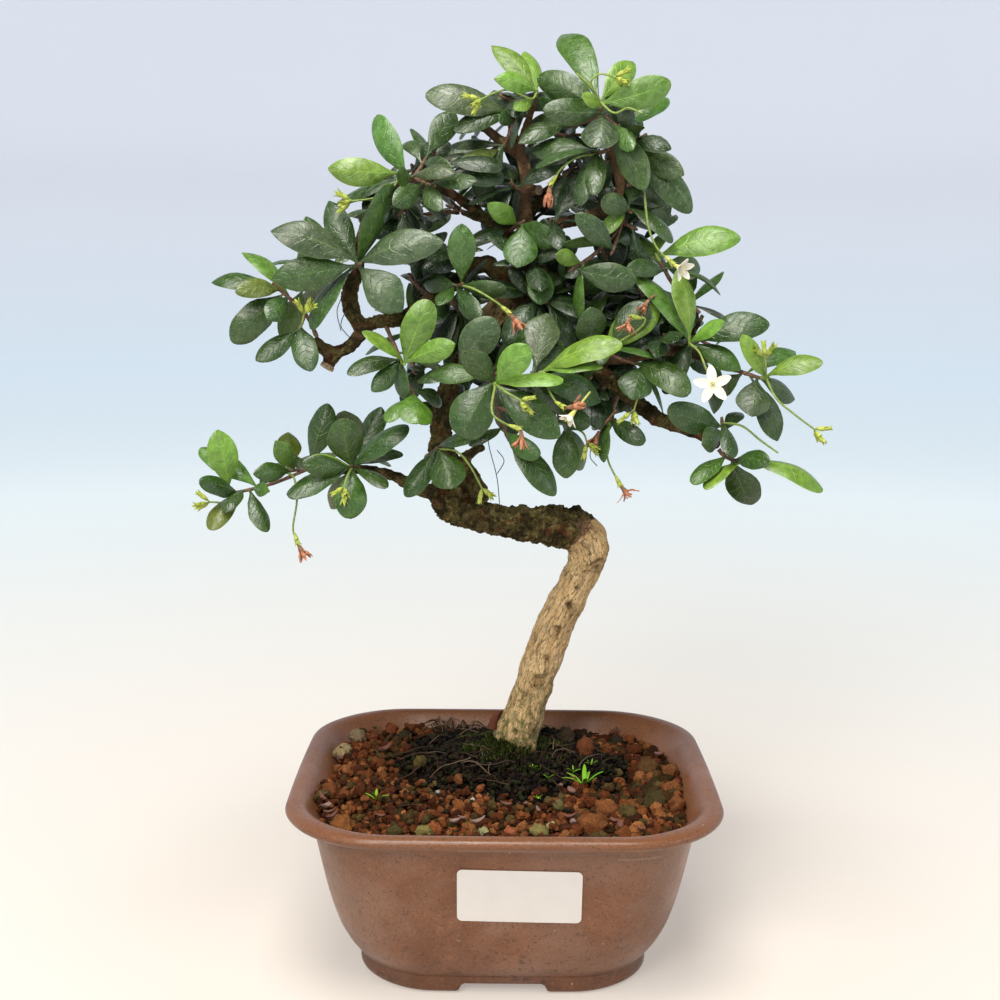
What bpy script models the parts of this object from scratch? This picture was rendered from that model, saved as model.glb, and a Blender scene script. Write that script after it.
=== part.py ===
"""A fukien tea bonsai in its glazed pot: pot, akadama granules, root ball, trunk, leafy sprays,
fresh shoots, flowers and a blank paper label. Metres, +Z up, seen from -Y.
"""

import math
import random
from collections import namedtuple

import bmesh
import bpy
import numpy as np
from mathutils import Matrix, Vector, noise
from mathutils.bvhtree import BVHTree

# Driving dimensions, in metres
RIM_WIDTH = 0.150
RIM_DEPTH = 0.140
POT_HEIGHT = 0.0665
LIP_WIDTH = 0.006
CORNER_RADIUS = 0.034
WALL_INSET = 0.0086
WALL_TOP = 0.058
WALL_THICK = 0.0038
BASE_INSET = 0.0243
BASE_RISE = 0.0065
FOOT_WIDTH = 0.009
FOOT_NOTCH = 0.028
NOTCH_RISE = 0.0031
INNER_TOP = 0.0578
FLOOR_UNDER = 0.006
FLOOR_TOP = 0.012
DRAIN_RADIUS = 0.006
DRAIN_SPACING = 0.038
SOIL_LEVEL = 0.0585
SOIL_EDGE = 0.0573
SOIL_BUMP = 0.0016
BALL_RADIUS = 0.031
BALL_TOP = 0.068
BALL_FOOT = 0.014
BALL_SHOULDER = 0.036
TRUNK_DEPTH = 0.017
PLUG_RADIUS = 0.0085
PLUG_BOTTOM = 0.030
BLADE = 0.0006
GAP = 0.00035
TWIG_RADIUS = 0.0009
STALK_RADIUS = 0.0004
LABEL_WIDTH = 0.042
LABEL_RISE = 0.0222
LABEL_TOP = 0.0525
LABEL_ASIDE = 0.0052
LABEL_THICK = 0.0005
SEED = 11

# The view that the outline was read from: pixels of a 1000 by 1000 frame
FOCAL_PIXELS = 1412.0
FRAME_MIDDLE = 500.0
VIEW_ASIDE = -0.0025
VIEW_DISTANCE = 0.5055
VIEW_HEIGHT = 0.250
VIEW_PITCH = math.radians(9.3)
VIEW_ROLL = math.radians(0.5)

Leaf = namedtuple("Leaf", "tip wide side")
Shoot = namedtuple("Shoot", "heart depth leaves fresh fill")
NEAR = 1
AWAY = -1


def seen_at(column, row, depth):
    """The point that shows at a pixel and lies at this distance behind the pot's middle."""
    x = (column - FRAME_MIDDLE) / FOCAL_PIXELS
    y = (FRAME_MIDDLE - row) / FOCAL_PIXELS
    turned_x = x * math.cos(VIEW_ROLL) - y * math.sin(VIEW_ROLL)
    turned_y = x * math.sin(VIEW_ROLL) + y * math.cos(VIEW_ROLL)
    ahead = math.cos(VIEW_PITCH) + turned_y * math.sin(VIEW_PITCH)
    rise = turned_y * math.cos(VIEW_PITCH) - math.sin(VIEW_PITCH)
    reach = (depth + VIEW_DISTANCE) / ahead
    return Vector((VIEW_ASIDE + turned_x * reach, depth, VIEW_HEIGHT + rise * reach))


def towards_viewer(point):
    return (Vector((VIEW_ASIDE, -VIEW_DISTANCE, VIEW_HEIGHT)) - point).normalized()


# Wood: column, row, depth in millimetres, radius in millimetres
TRUNK_ROUTE = [
    (513, 752, 17, 9.6), (517, 738, 17, 8.8), (528, 700, 17, 7.3), (544, 650, 17, 7.4), (567, 600, 16, 6.7),
    (582, 572, 15, 6.9), (588, 547, 14, 7.4), (576, 530, 13, 7.9), (556, 527, 13, 8.2), (530, 524, 13, 6.7),
    (500, 519, 13, 6.0), (470, 510, 13, 5.6), (449, 491, 13, 6.4), (447, 466, 14, 5.6), (441, 440, 15, 4.6),
    (443, 410, 16, 4.3), (455, 375, 17, 4.4), (477, 342, 17, 5.2), (500, 312, 17, 6.3), (519, 283, 17, 5.2),
    (523, 250, 17, 3.9), (526, 210, 17, 2.5), (526, 180, 17, 2.2), (521, 158, 17, 2.2), (506, 145, 16, 2.1),
    (491, 133, 15, 1.8), (478, 123, 14, 1.9),
]
LIMBS = {
    "low_left": [(442, 494, 12, 4.0), (418, 489, 8, 2.8), (392, 475, 4, 2.1), (364, 470, 0, 2.0),
                 (352, 470, -2, 1.8), (330, 472, -3, 1.3)],
    "mid_left": [(515, 288, 17, 3.6), (484, 264, 16, 3.4), (456, 282, 12, 3.0), (430, 300, 8, 2.7),
                 (398, 319, 5, 2.6), (370, 324, 2, 2.6), (352, 344, 1, 2.4), (334, 356, 0, 2.6),
                 (327, 367, -1, 2.5)],
    "left_rise": [(362, 330, 2, 2.5), (352, 310, 2, 3.4), (350, 290, 2, 3.0), (358, 272, 2, 2.2),
                  (361, 256, 2, 1.6)],
    "far_left": [(338, 354, 0, 2.3), (322, 348, -1, 2.4), (314, 338, -2, 1.6)],
    "right": [(497, 322, 16, 4.0), (540, 346, 12, 3.6), (590, 365, 6, 3.2), (625, 392, 2, 3.1),
              (655, 417, -3, 3.0), (690, 430, -6, 2.4), (720, 445, -6, 2.0)],
    "right_rise": [(578, 360, 8, 2.6), (625, 358, 12, 2.3), (668, 350, 8, 2.1), (706, 358, 3, 1.7),
                   (738, 370, -2, 1.4)],
    "top_right": [(524, 238, 17, 2.8), (552, 226, 14, 2.4), (580, 219, 10, 2.3), (608, 209, 5, 2.2),
                  (620, 186, 1, 1.9), (612, 152, -2, 1.8), (604, 122, -4, 1.3)],
    "top_left": [(523, 243, 17, 2.7), (496, 228, 12, 2.1), (472, 207, 8, 2.0), (444, 190, 3, 1.7),
                 (420, 181, 0, 1.2)],
    "crest": [(518, 154, 16, 1.9), (526, 128, 10, 1.5), (534, 104, 5, 1.1)],
    "back_left": [(498, 315, 17, 3.6), (476, 322, 34, 2.6), (448, 332, 50, 2.0), (420, 338, 62, 1.2)],
    "back_right": [(504, 308, 18, 3.6), (535, 316, 36, 2.6), (575, 322, 52, 2.0), (615, 326, 64, 1.2)],
    "back_top": [(524, 222, 18, 2.4), (540, 200, 34, 1.9), (560, 176, 46, 1.2)],
    "back_upper_left": [(523, 246, 18, 2.4), (498, 226, 34, 1.9), (462, 212, 48, 1.2)],
    "back_low": [(446, 425, 16, 3.0), (468, 416, 32, 2.1), (505, 404, 46, 1.2)],
    "front_mid": [(478, 342, 15, 3.2), (482, 358, -2, 2.2), (492, 374, -18, 1.3)],
}
STUBS = {
    "stub_side": [(527, 190, 17, 2.4), (539, 190, 13, 1.7)],
    "stub_top": [(512, 146, 16, 2.0), (513, 122, 14, 2.0)],
    "stub_low_left": [(441, 470, 12, 3.0), (427, 456, 9, 1.2)],
    "stub_right": [(686, 348, 6, 1.1), (703, 315, 2, 0.9)],
    "knot_top": [(572, 520, 13, 5.2), (584, 512, 12, 4.2)],
    "knot_run": [(520, 516, 13, 4.6), (524, 505, 12, 2.2)],
    "knot_right": [(596, 560, 13, 5.0), (601, 562, 12, 4.4)],
}

# Each spray: its shoots in order, the first grown from the wood and the rest from that stem.
# A leaf gives its tip's pixel, its width in pixels and whether it leans near or away.
SPRAYS = {
    "spray_top_left": [
        Shoot((406, 176), -6, [Leaf((373, 115), 26, AWAY), Leaf((371, 165), 14, NEAR),
                               Leaf((455, 172), 15, NEAR), Leaf((331, 204), 14, AWAY)],
              [Leaf((328, 168), 28, NEAR)], 0),
        Shoot((426, 158), 6, [Leaf((455, 111), 26, AWAY), Leaf((452, 168), 18, NEAR),
                              Leaf((404, 140), 16, AWAY)], [], 0),
        Shoot((433, 186), -2, [Leaf((477, 181), 14, NEAR), Leaf((440, 209), 18, NEAR),
                               Leaf((392, 205), 22, NEAR)], [], 0),
    ],
    "spray_top_arch": [
        Shoot((507, 112), 4, [Leaf((427, 92), 29, NEAR), Leaf((454, 130), 18, NEAR),
                              Leaf((500, 121), 16, NEAR)], [], 0),
        Shoot((500, 152), 8, [Leaf((459, 163), 14, NEAR), Leaf((450, 143), 10, AWAY),
                              Leaf((478, 196), 24, AWAY)], [], 0),
    ],
    "spray_crest": [
        Shoot((536, 97), 0, [Leaf((548, 104), 18, NEAR), Leaf((519, 108), 8, NEAR),
                             Leaf((514, 143), 18, AWAY)],
              [Leaf((497, 78), 20, NEAR), Leaf((492, 44), 22, AWAY), Leaf((526, 50), 16, AWAY)], 0),
    ],
    "spray_top_right": [
        Shoot((601, 108), -8, [Leaf((562, 31), 26, AWAY), Leaf((537, 76), 30, AWAY),
                               Leaf((545, 110), 26, NEAR), Leaf((655, 82), 14, AWAY),
                               Leaf((598, 147), 36, NEAR)],
              [Leaf((635, 62), 24, AWAY), Leaf((671, 83), 30, NEAR), Leaf((582, 97), 14, NEAR)], 0),
        Shoot((620, 128), -6, [Leaf((669, 97), 20, AWAY), Leaf((633, 150), 18, NEAR),
                               Leaf((645, 190), 26, NEAR)], [], 0),
        Shoot((570, 126), 4, [Leaf((515, 145), 18, NEAR), Leaf((530, 120), 16, AWAY)], [], 0),
    ],
    "spray_right_shoulder": [
        Shoot((640, 150), 2, [Leaf((684, 175), 24, NEAR), Leaf((692, 210), 26, NEAR),
                              Leaf((672, 207), 24, AWAY)], [], 0),
    ],
    "spray_under_crest": [
        Shoot((593, 154), -6, [Leaf((578, 204), 20, NEAR), Leaf((593, 199), 20, NEAR),
                               Leaf((530, 150), 22, AWAY), Leaf((604, 190), 16, AWAY),
                               Leaf((532, 168), 16, NEAR)], [], 0),
    ],
    "spray_upper_right": [
        Shoot((630, 212), -4, [Leaf((603, 202), 22, NEAR), Leaf((640, 176), 22, AWAY),
                               Leaf((672, 238), 14, NEAR), Leaf((606, 230), 14, NEAR),
                               Leaf((655, 200), 14, AWAY)], [], 0),
        Shoot((612, 252), -8, [Leaf((575, 212), 18, NEAR), Leaf((563, 243), 8, NEAR),
                               Leaf((632, 236), 16, AWAY)], [], 0),
        Shoot((572, 270), -10, [Leaf((636, 281), 28, NEAR), Leaf((600, 292), 22, AWAY),
                                Leaf((556, 255), 16, NEAR), Leaf((578, 318), 18, NEAR)], [], 0),
    ],
    "spray_trunk_top": [
        Shoot((523, 222), 5, [Leaf((517, 268), 34, NEAR), Leaf((556, 244), 24, NEAR),
                              Leaf((490, 205), 20, NEAR)], [], 0),
        Shoot((545, 268), 6, [Leaf((539, 304), 26, NEAR), Leaf((560, 300), 20, AWAY)], [], 0),
    ],
    "spray_centre_left": [
        Shoot((462, 284), -6, [Leaf((462, 224), 28, NEAR), Leaf((500, 290), 20, NEAR),
                               Leaf((424, 284), 20, AWAY), Leaf((480, 318), 22, NEAR),
                               Leaf((438, 305), 14, NEAR)], [], 0),
    ],
    "spray_left": [
        Shoot((360, 264), -12, [Leaf((272, 228), 32, NEAR), Leaf((328, 199), 28, AWAY),
                                Leaf((272, 279), 34, NEAR), Leaf((402, 312), 38, NEAR),
                                Leaf((443, 241), 32, NEAR), Leaf((309, 328), 16, NEAR),
                                Leaf((392, 184), 36, NEAR), Leaf((316, 279), 16, NEAR)], [], 0),
    ],
    "spray_far_left": [
        Shoot((276, 286), -10, [Leaf((212, 279), 18, NEAR), Leaf((232, 292), 13, NEAR),
                                Leaf((232, 342), 32, NEAR), Leaf((268, 318), 24, NEAR),
                                Leaf((244, 249), 18, AWAY)], [], 0),
        Shoot((298, 332), -8, [Leaf((256, 361), 20, NEAR), Leaf((311, 370), 26, NEAR)], [], 0),
    ],
    "spray_mid_left": [
        Shoot((402, 362), -14, [Leaf((347, 374), 16, NEAR), Leaf((377, 386), 20, NEAR),
                                Leaf((402, 384), 22, NEAR), Leaf((440, 355), 22, NEAR)],
              [Leaf((429, 301), 32, NEAR), Leaf((455, 344), 18, NEAR), Leaf((362, 332), 11, NEAR)], 0),
        Shoot((416, 400), -14, [Leaf((386, 422), 13, NEAR), Leaf((420, 428), 36, NEAR),
                                Leaf((445, 402), 16, AWAY)], [], 0),
    ],
    "spray_centre": [
        Shoot((494, 384), -26, [Leaf((463, 352), 26, NEAR), Leaf((461, 437), 44, NEAR),
                                Leaf((560, 437), 34, NEAR), Leaf((434, 372), 20, AWAY)],
              [Leaf((528, 346), 30, NEAR), Leaf((563, 378), 14, NEAR)], 0),
        Shoot((456, 366), -16, [Leaf((495, 319), 36, NEAR), Leaf((430, 378), 14, NEAR)], [], 0),
    ],
    "spray_centre_right": [
        Shoot((538, 374), -22, [Leaf((548, 309), 36, NEAR), Leaf((563, 342), 26, AWAY),
                                Leaf((606, 400), 28, NEAR), Leaf((570, 410), 20, AWAY),
                                Leaf((525, 330), 20, AWAY)],
              [Leaf((622, 343), 24, NEAR), Leaf((600, 365), 12, NEAR)], 0),
    ],
    "spray_mid_right": [
        Shoot((588, 344), -6, [Leaf((593, 310), 32, NEAR), Leaf((606, 284), 24, AWAY)], [], 0),
        Shoot((612, 346), -10, [Leaf((644, 309), 30, NEAR), Leaf((600, 362), 14, NEAR),
                                Leaf((650, 356), 14, NEAR), Leaf((657, 309), 32, NEAR)], [], 0),
        Shoot((646, 366), -8, [Leaf((632, 398), 34, NEAR), Leaf((661, 409), 14, NEAR),
                               Leaf((697, 396), 30, NEAR)], [], 0),
    ],
    "spray_under_centre": [
        Shoot((508, 438), -8, [Leaf((556, 495), 26, NEAR), Leaf((539, 457), 20, NEAR),
                               Leaf((470, 445), 12, NEAR)], [], 0),
        Shoot((568, 424), -6, [Leaf((566, 478), 28, NEAR), Leaf((586, 470), 18, AWAY),
                               Leaf((590, 422), 20, NEAR)], [], 0),
        Shoot((612, 420), -2, [Leaf((643, 442), 20, NEAR), Leaf((604, 462), 13, NEAR)], [], 0),
    ],
    "spray_right_back": [
        Shoot((660, 262), 2, [Leaf((702, 270), 24, AWAY), Leaf((723, 290), 9, NEAR),
                              Leaf((628, 268), 18, NEAR), Leaf((640, 232), 14, AWAY)],
              [Leaf((740, 236), 28, NEAR), Leaf((664, 232), 14, AWAY)], 0),
    ],
    "spray_right": [
        Shoot((690, 344), -6, [Leaf((641, 276), 32, NEAR), Leaf((769, 322), 28, NEAR),
                               Leaf((741, 370), 22, NEAR), Leaf((668, 318), 18, AWAY),
                               Leaf((664, 392), 22, NEAR)],
              [Leaf((678, 268), 24, AWAY), Leaf((722, 321), 13, NEAR)], 0),
    ],
    "spray_far_right": [
        Shoot((760, 378), -8, [Leaf((751, 415), 34, NEAR), Leaf((804, 386), 18, NEAR),
                               Leaf((806, 405), 18, NEAR), Leaf((778, 441), 26, NEAR),
                               Leaf((796, 350), 20, AWAY), Leaf((716, 394), 20, AWAY)],
              [Leaf((741, 336), 16, NEAR), Leaf((823, 362), 20, NEAR)], 0),
    ],
    "spray_low_right": [
        Shoot((737, 461), -8, [Leaf((783, 463), 20, NEAR), Leaf((757, 517), 35, NEAR),
                               Leaf((692, 483), 20, NEAR)],
              [Leaf((825, 484), 16, NEAR), Leaf((705, 489), 12, NEAR)], 0),
        Shoot((722, 420), -4, [Leaf((733, 458), 17, NEAR), Leaf((668, 408), 30, NEAR),
                               Leaf((705, 444), 26, NEAR), Leaf((742, 410), 16, AWAY)], [], 0),
    ],
    "spray_low_left": [
        Shoot((284, 472), -6, [Leaf((288, 431), 26, AWAY), Leaf((254, 474), 20, NEAR),
                               Leaf((277, 443), 20, NEAR), Leaf((300, 458), 12, NEAR)], [], 0),
        Shoot((234, 493), -10, [Leaf((189, 476), 18, NEAR), Leaf((204, 533), 12, NEAR),
                                Leaf((219, 516), 18, NEAR), Leaf((267, 532), 18, NEAR),
                                Leaf((268, 491), 15, NEAR), Leaf((200, 448), 22, AWAY)],
              [Leaf((217, 430), 31, NEAR)], 0),
    ],
    "spray_low_left_mid": [
        Shoot((352, 466), -8, [Leaf((286, 496), 22, NEAR), Leaf((300, 463), 20, NEAR),
                               Leaf((343, 421), 36, NEAR), Leaf((407, 426), 22, NEAR),
                               Leaf((403, 452), 15, AWAY), Leaf((348, 518), 32, NEAR),
                               Leaf((330, 510), 16, AWAY), Leaf((387, 487), 13, NEAR),
                               Leaf((325, 460), 12, NEAR)], [], 0),
    ],
    "spray_trunk_low": [
        Shoot((437, 448), -4, [Leaf((453, 489), 37, NEAR), Leaf((405, 496), 22, NEAR),
                               Leaf((476, 440), 12, NEAR)], [], 0),
    ],
    "spray_back_left": [Shoot((408, 334), 68, [], [], 5), Shoot((452, 344), 60, [], [], 3)],
    "spray_back_far_left": [Shoot((330, 270), 34, [], [], 5), Shoot((298, 290), 22, [], [], 2)],
    "spray_back_right": [Shoot((622, 322), 70, [], [], 5), Shoot((572, 338), 62, [], [], 3)],
    "spray_back_far_right": [Shoot((690, 300), 40, [], [], 5), Shoot((720, 350), 26, [], [], 2)],
    "spray_back_top": [Shoot((572, 148), 54, [], [], 5), Shoot((610, 172), 38, [], [], 2)],
    "spray_back_upper_left": [Shoot((448, 206), 56, [], [], 5), Shoot((420, 170), 34, [], [], 2)],
    "spray_back_middle": [Shoot((520, 268), 52, [], [], 6)],
    "spray_back_low": [Shoot((520, 400), 54, [], [], 5), Shoot((560, 420), 30, [], [], 2)],
    "spray_back_low_left": [Shoot((352, 452), 30, [], [], 4), Shoot((300, 462), 22, [], [], 3)],
}

# Flower stalks: spray and shoot they grow from, route in pixels and depth, and what ends them
Stalk = namedtuple("Stalk", "spray shoot route ending")
STALKS = [
    Stalk("spray_crest", 0, [(531, 99, -5), (510, 90, -8), (494, 93, -8), (482, 99, -8)], "buds"),
    Stalk("spray_top_right", 0, [(596, 96, -10), (591, 82, -12), (600, 74, -13), (614, 77, -13)], "buds"),
    Stalk("spray_top_right", 0, [(614, 113, -13), (628, 108, -15), (641, 113, -16)], "tip"),
    Stalk("spray_top_right", 0, [(590, 86, -13), (577, 74, -14)], "tip"),
    Stalk("spray_under_crest", 0, [(578, 157, -12), (562, 168, -14), (552, 182, -14)], "flower_dried_top"),
    Stalk("spray_top_left", 0, [(388, 194, -9), (369, 199, -11), (352, 201, -12)], "buds"),
    Stalk("spray_far_left", 1, [(302, 324, -12), (304, 314, -13)], "buds"),
    Stalk("spray_centre_left", 0, [(476, 290, -14), (496, 302, -16), (507, 311, -16)], "flower_dried_middle"),
    Stalk("spray_centre", 0, [(506, 392, -34), (520, 400, -36)], "buds"),
    Stalk("spray_centre", 0, [(492, 412, -34), (506, 424, -34), (517, 428, -34)], "flower_dried_low"),
    Stalk("spray_centre_right", 0, [(548, 388, -31), (556, 402, -34), (562, 406, -35)], "flower_dried_centre"),
    Stalk("spray_mid_right", 1, [(638, 330, -18), (645, 319, -20), (634, 317, -21)], "flower_dried_right"),
    Stalk("spray_right", 0, [(699, 352, -13), (705, 366, -17), (710, 378, -17)], "flower_open"),
    Stalk("spray_far_right", 0, [(766, 368, -14), (765, 358, -15)], "buds"),
    Stalk("spray_far_right", 0, [(776, 398, -16), (794, 414, -17), (814, 429, -17)], "buds"),
    Stalk("spray_low_right", 1, [(742, 426, -10), (760, 440, -12), (777, 452, -13)], "tip"),
    Stalk("spray_low_left", 1, [(226, 502, -14), (210, 502, -15)], "buds"),
    Stalk("spray_low_left", 0, [(294, 478, -11), (297, 500, -12), (293, 528, -12), (297, 541, -12)],
          "flower_dried_low_left"),
    Stalk("spray_low_left_mid", 0, [(347, 477, -14), (344, 487, -16)], "buds"),
    Stalk("spray_trunk_low", 0, [(456, 451, -8), (470, 466, -9), (482, 488, -9)], "buds"),
    Stalk("spray_under_centre", 2, [(608, 440, -8), (608, 460, -9), (619, 483, -9)], "flower_dried_low_right"),
    Stalk("spray_under_centre", 1, [(582, 432, -12), (587, 442, -13)], "buds"),
    Stalk("spray_right_shoulder", 0, [(644, 190, -8), (648, 225, -10), (657, 248, -11), (671, 262, -11)],
          "flower_half_open"),
    Stalk("spray_mid_right", 2, [(640, 388, -16), (634, 410, -16)], "buds"),
]
# Where each flower faces: pixel and depth of its middle, spread of its lobes in degrees, lobe length
Flower = namedtuple("Flower", "middle spread length")
FLOWERS = {
    "flower_open": Flower((711, 383, -34), 82, 0.0066),
    "flower_half_open": Flower((685, 268, -16), 60, 0.0058),
    "flower_dried_top": Flower((551, 205, -15), 22, 0.0050),
    "flower_dried_middle": Flower((518, 326, -17), 22, 0.0050),
    "flower_dried_low": Flower((514, 446, -35), 34, 0.0044),
    "flower_dried_centre": Flower((584, 400, -37), 24, 0.0044),
    "flower_dried_right": Flower((633, 338, -22), 48, 0.0044),
    "flower_dried_low_left": Flower((305, 556, -13), 34, 0.0044),
    "flower_dried_low_right": Flower((631, 496, -10), 58, 0.0046),
}

COLOURS = {
    "pot_glaze": ((0.13, 0.062, 0.034), 0.28),
    "akadama": ((0.22, 0.075, 0.032), 0.95),
    "humus": ((0.028, 0.018, 0.012), 1.0),
    "bark": ((0.20, 0.12, 0.066), 0.9),
    "leaf_dark": ((0.022, 0.070, 0.022), 0.38),
    "leaf_fresh": ((0.20, 0.42, 0.04), 0.42),
    "petal_white": ((0.85, 0.80, 0.70), 0.6),
    "petal_dried": ((0.52, 0.19, 0.08), 0.8),
    "label_paper": ((0.86, 0.86, 0.84), 0.7),
}


def clear_scene():
    for old in list(bpy.data.objects):
        bpy.data.objects.remove(old, do_unlink=True)


def material(name):
    colour, roughness = COLOURS[name]
    made = bpy.data.materials.new(name)
    made.use_nodes = True
    shader = made.node_tree.nodes["Principled BSDF"]
    shader.inputs["Base Color"].default_value = (*colour, 1.0)
    shader.inputs["Roughness"].default_value = roughness
    made.diffuse_color = (*colour, 1.0)
    return made


def mesh_object(name, points, faces, finish=None, smooth=False):
    mesh = bpy.data.meshes.new(name)
    mesh.from_pydata([tuple(p) for p in points], [], faces)
    shape = bmesh.new()
    shape.from_mesh(mesh)
    bmesh.ops.recalc_face_normals(shape, faces=shape.faces)
    shape.to_mesh(mesh)
    shape.free()
    if smooth:
        mesh.shade_smooth()
    made = bpy.data.objects.new(name, mesh)
    bpy.context.scene.collection.objects.link(made)
    if finish is not None:
        made.data.materials.append(finish)
    return made


# How a union is tried: the solver, the weld of near points, and the nudge of each piece, in metres
UNION_TRIES = [
    ("EXACT", 4e-6, 0.0), ("EXACT", 5e-7, 0.0), ("MANIFOLD", 1e-6, 0.0), ("EXACT", 4e-6, 5e-5),
    ("MANIFOLD", 1e-6, 5e-5), ("EXACT", 4e-6, 8e-5), ("EXACT", 5e-7, 8e-5), ("MANIFOLD", 1e-7, 8e-5),
    ("EXACT", 4e-6, 1e-4), ("MANIFOLD", 1e-6, 1e-4),
]


def joined(name, solids, finish):
    """One closed body from the overlapping solids, by a union on a collection.

    Where faces that nearly meet leave a crack, the pieces are nudged a hair and joined again.
    """
    draw = random.Random(SEED)
    for solver, weld, nudge in UNION_TRIES:
        moved = []
        for points, faces in solids:
            shift = Vector((draw.uniform(-1, 1), draw.uniform(-1, 1), draw.uniform(-1, 1))) * nudge
            moved.append(([point + shift for point in points], faces))
        first = mesh_object(name, *moved[0], finish)
        group = bpy.data.collections.new(name + "_pieces")
        bpy.context.scene.collection.children.link(group)
        for index, (points, faces) in enumerate(moved[1:]):
            piece = mesh_object(f"{name}_piece_{index}", points, faces, finish)
            bpy.context.scene.collection.objects.unlink(piece)
            group.objects.link(piece)
        union = first.modifiers.new("union", "BOOLEAN")
        union.operation = "UNION"
        union.operand_type = "COLLECTION"
        union.collection = group
        union.solver = solver
        apply_modifiers(first)
        for piece in list(group.objects):
            bpy.data.objects.remove(piece, do_unlink=True)
        bpy.data.collections.remove(group)
        if tidy_body(first, weld):
            return first
        bpy.data.objects.remove(first, do_unlink=True)
    raise ValueError(name + " didn't join into one closed body")


def apply_modifiers(item):
    graph = bpy.context.evaluated_depsgraph_get()
    settled = bpy.data.meshes.new_from_object(item.evaluated_get(graph))
    item.modifiers.clear()
    item.data = settled


def tidy_body(item, weld=4e-6):
    """Welds points that nearly meet, keeps the largest body, and says whether it is closed."""
    shape = bmesh.new()
    shape.from_mesh(item.data)
    bmesh.ops.remove_doubles(shape, verts=shape.verts, dist=weld)
    bmesh.ops.triangulate(shape, faces=shape.faces)
    bodies = []
    waiting = set(shape.verts)
    while waiting:
        edge_of_body = [waiting.pop()]
        body = set(edge_of_body)
        while edge_of_body:
            point = edge_of_body.pop()
            for edge in point.link_edges:
                other = edge.other_vert(point)
                if other in waiting:
                    waiting.discard(other)
                    body.add(other)
                    edge_of_body.append(other)
        bodies.append(body)
    bodies.sort(key=len, reverse=True)
    for scrap in bodies[1:]:
        bmesh.ops.delete(shape, geom=list(scrap), context="VERTS")
    sound = all(point.is_manifold for point in shape.verts) and all(edge.is_manifold for edge in shape.edges)
    shape.to_mesh(item.data)
    shape.free()
    if len(bodies) > 1:
        print(item.name, "dropped", [len(body) for body in bodies[1:]])
    return sound


# The pot

def wall_inset(height):
    """How far the pot's outer wall stands in from the rim, at a height."""
    below = min(max((WALL_TOP - height) / (WALL_TOP - BASE_RISE), 0.0), 1.0)
    return WALL_INSET + (BASE_INSET - WALL_INSET) * (0.62 * below + 0.38 * below ** 5)


def rounded_ring(inset, height, per_corner=3, straight=1):
    """Points of a rounded rectangle inside the rim, at a height, anticlockwise."""
    half_x = RIM_WIDTH / 2 - inset
    half_y = RIM_DEPTH / 2 - inset
    radius = max(CORNER_RADIUS - inset * 0.35, 0.010)
    points = []
    for corner in range(4):
        sign_x = 1 if corner in (0, 3) else -1
        sign_y = 1 if corner in (0, 1) else -1
        middle = Vector((sign_x * (half_x - radius), sign_y * (half_y - radius), height))
        for step in range(per_corner + 1):
            angle = math.radians(90) * (corner + step / per_corner)
            points.append(middle + Vector((math.cos(angle), math.sin(angle), 0)) * radius)
        last = points[-1]
        next_x = half_x - radius if corner in (2, 3) else -(half_x - radius)
        next_y = half_y - radius if corner in (0, 3) else -(half_y - radius)
        following = Vector((
            next_x if corner in (0, 2) else last.x,
            next_y if corner in (1, 3) else last.y,
            height,
        ))
        for step in range(1, straight):
            points.append(last.lerp(following, step / straight))
    return points


def loft(rings, close_round=False):
    """Faces between rings of equal length; ends capped, or the last ring joined to the first."""
    count = len(rings[0])
    points = [point for ring in rings for point in ring]
    faces = []
    spans = len(rings) if close_round else len(rings) - 1
    for row in range(spans):
        for column in range(count):
            a = row * count + column
            b = row * count + (column + 1) % count
            c = ((row + 1) % len(rings)) * count + (column + 1) % count
            d = ((row + 1) % len(rings)) * count + column
            faces.append((a, b, c, d))
    if not close_round:
        faces.append(tuple(range(count))[::-1])
        faces.append(tuple(range((len(rings) - 1) * count, len(rings) * count)))
    return points, faces


def cut(body, name, points, faces):
    cutter = mesh_object(name, points, faces)
    cutter.hide_render = True
    cutter.display_type = "WIRE"
    difference = body.modifiers.new(name, "BOOLEAN")
    difference.operation = "DIFFERENCE"
    difference.object = cutter
    difference.solver = "EXACT"
    apply_modifiers(body)
    bpy.data.objects.remove(cutter, do_unlink=True)


def box_solid(low, high):
    points = [Vector((x, y, z)) for x in (low[0], high[0]) for y in (low[1], high[1]) for z in (low[2], high[2])]
    faces = [(0, 1, 3, 2), (4, 6, 7, 5), (0, 4, 5, 1), (2, 3, 7, 6), (0, 2, 6, 4), (1, 5, 7, 3)]
    return points, faces


def round_ring(middle, radius, height, columns):
    return [
        Vector((
            middle[0] + radius * math.cos(2 * math.pi * step / columns),
            middle[1] + radius * math.sin(2 * math.pi * step / columns),
            height,
        ))
        for step in range(columns)
    ]


def inner_inset(height):
    return wall_inset(height) + WALL_THICK


# The lip, from the wall's top over the edge to the inside: distance in from the rim, height
LIP_OUTLINE = [(0.0076, 0.0603), (0.0024, 0.0618), (0.0004, 0.0632), (0.0, 0.0646),
               (0.0008, 0.0659), (0.0026, POT_HEIGHT), (0.0048, POT_HEIGHT - 0.0002),
               (LIP_WIDTH, 0.0652), (0.0090, 0.0616)]
INNER_HEIGHTS = (INNER_TOP, 0.042, 0.028, 0.018)
FLOOR_INSET = BASE_INSET + 0.010


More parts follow.
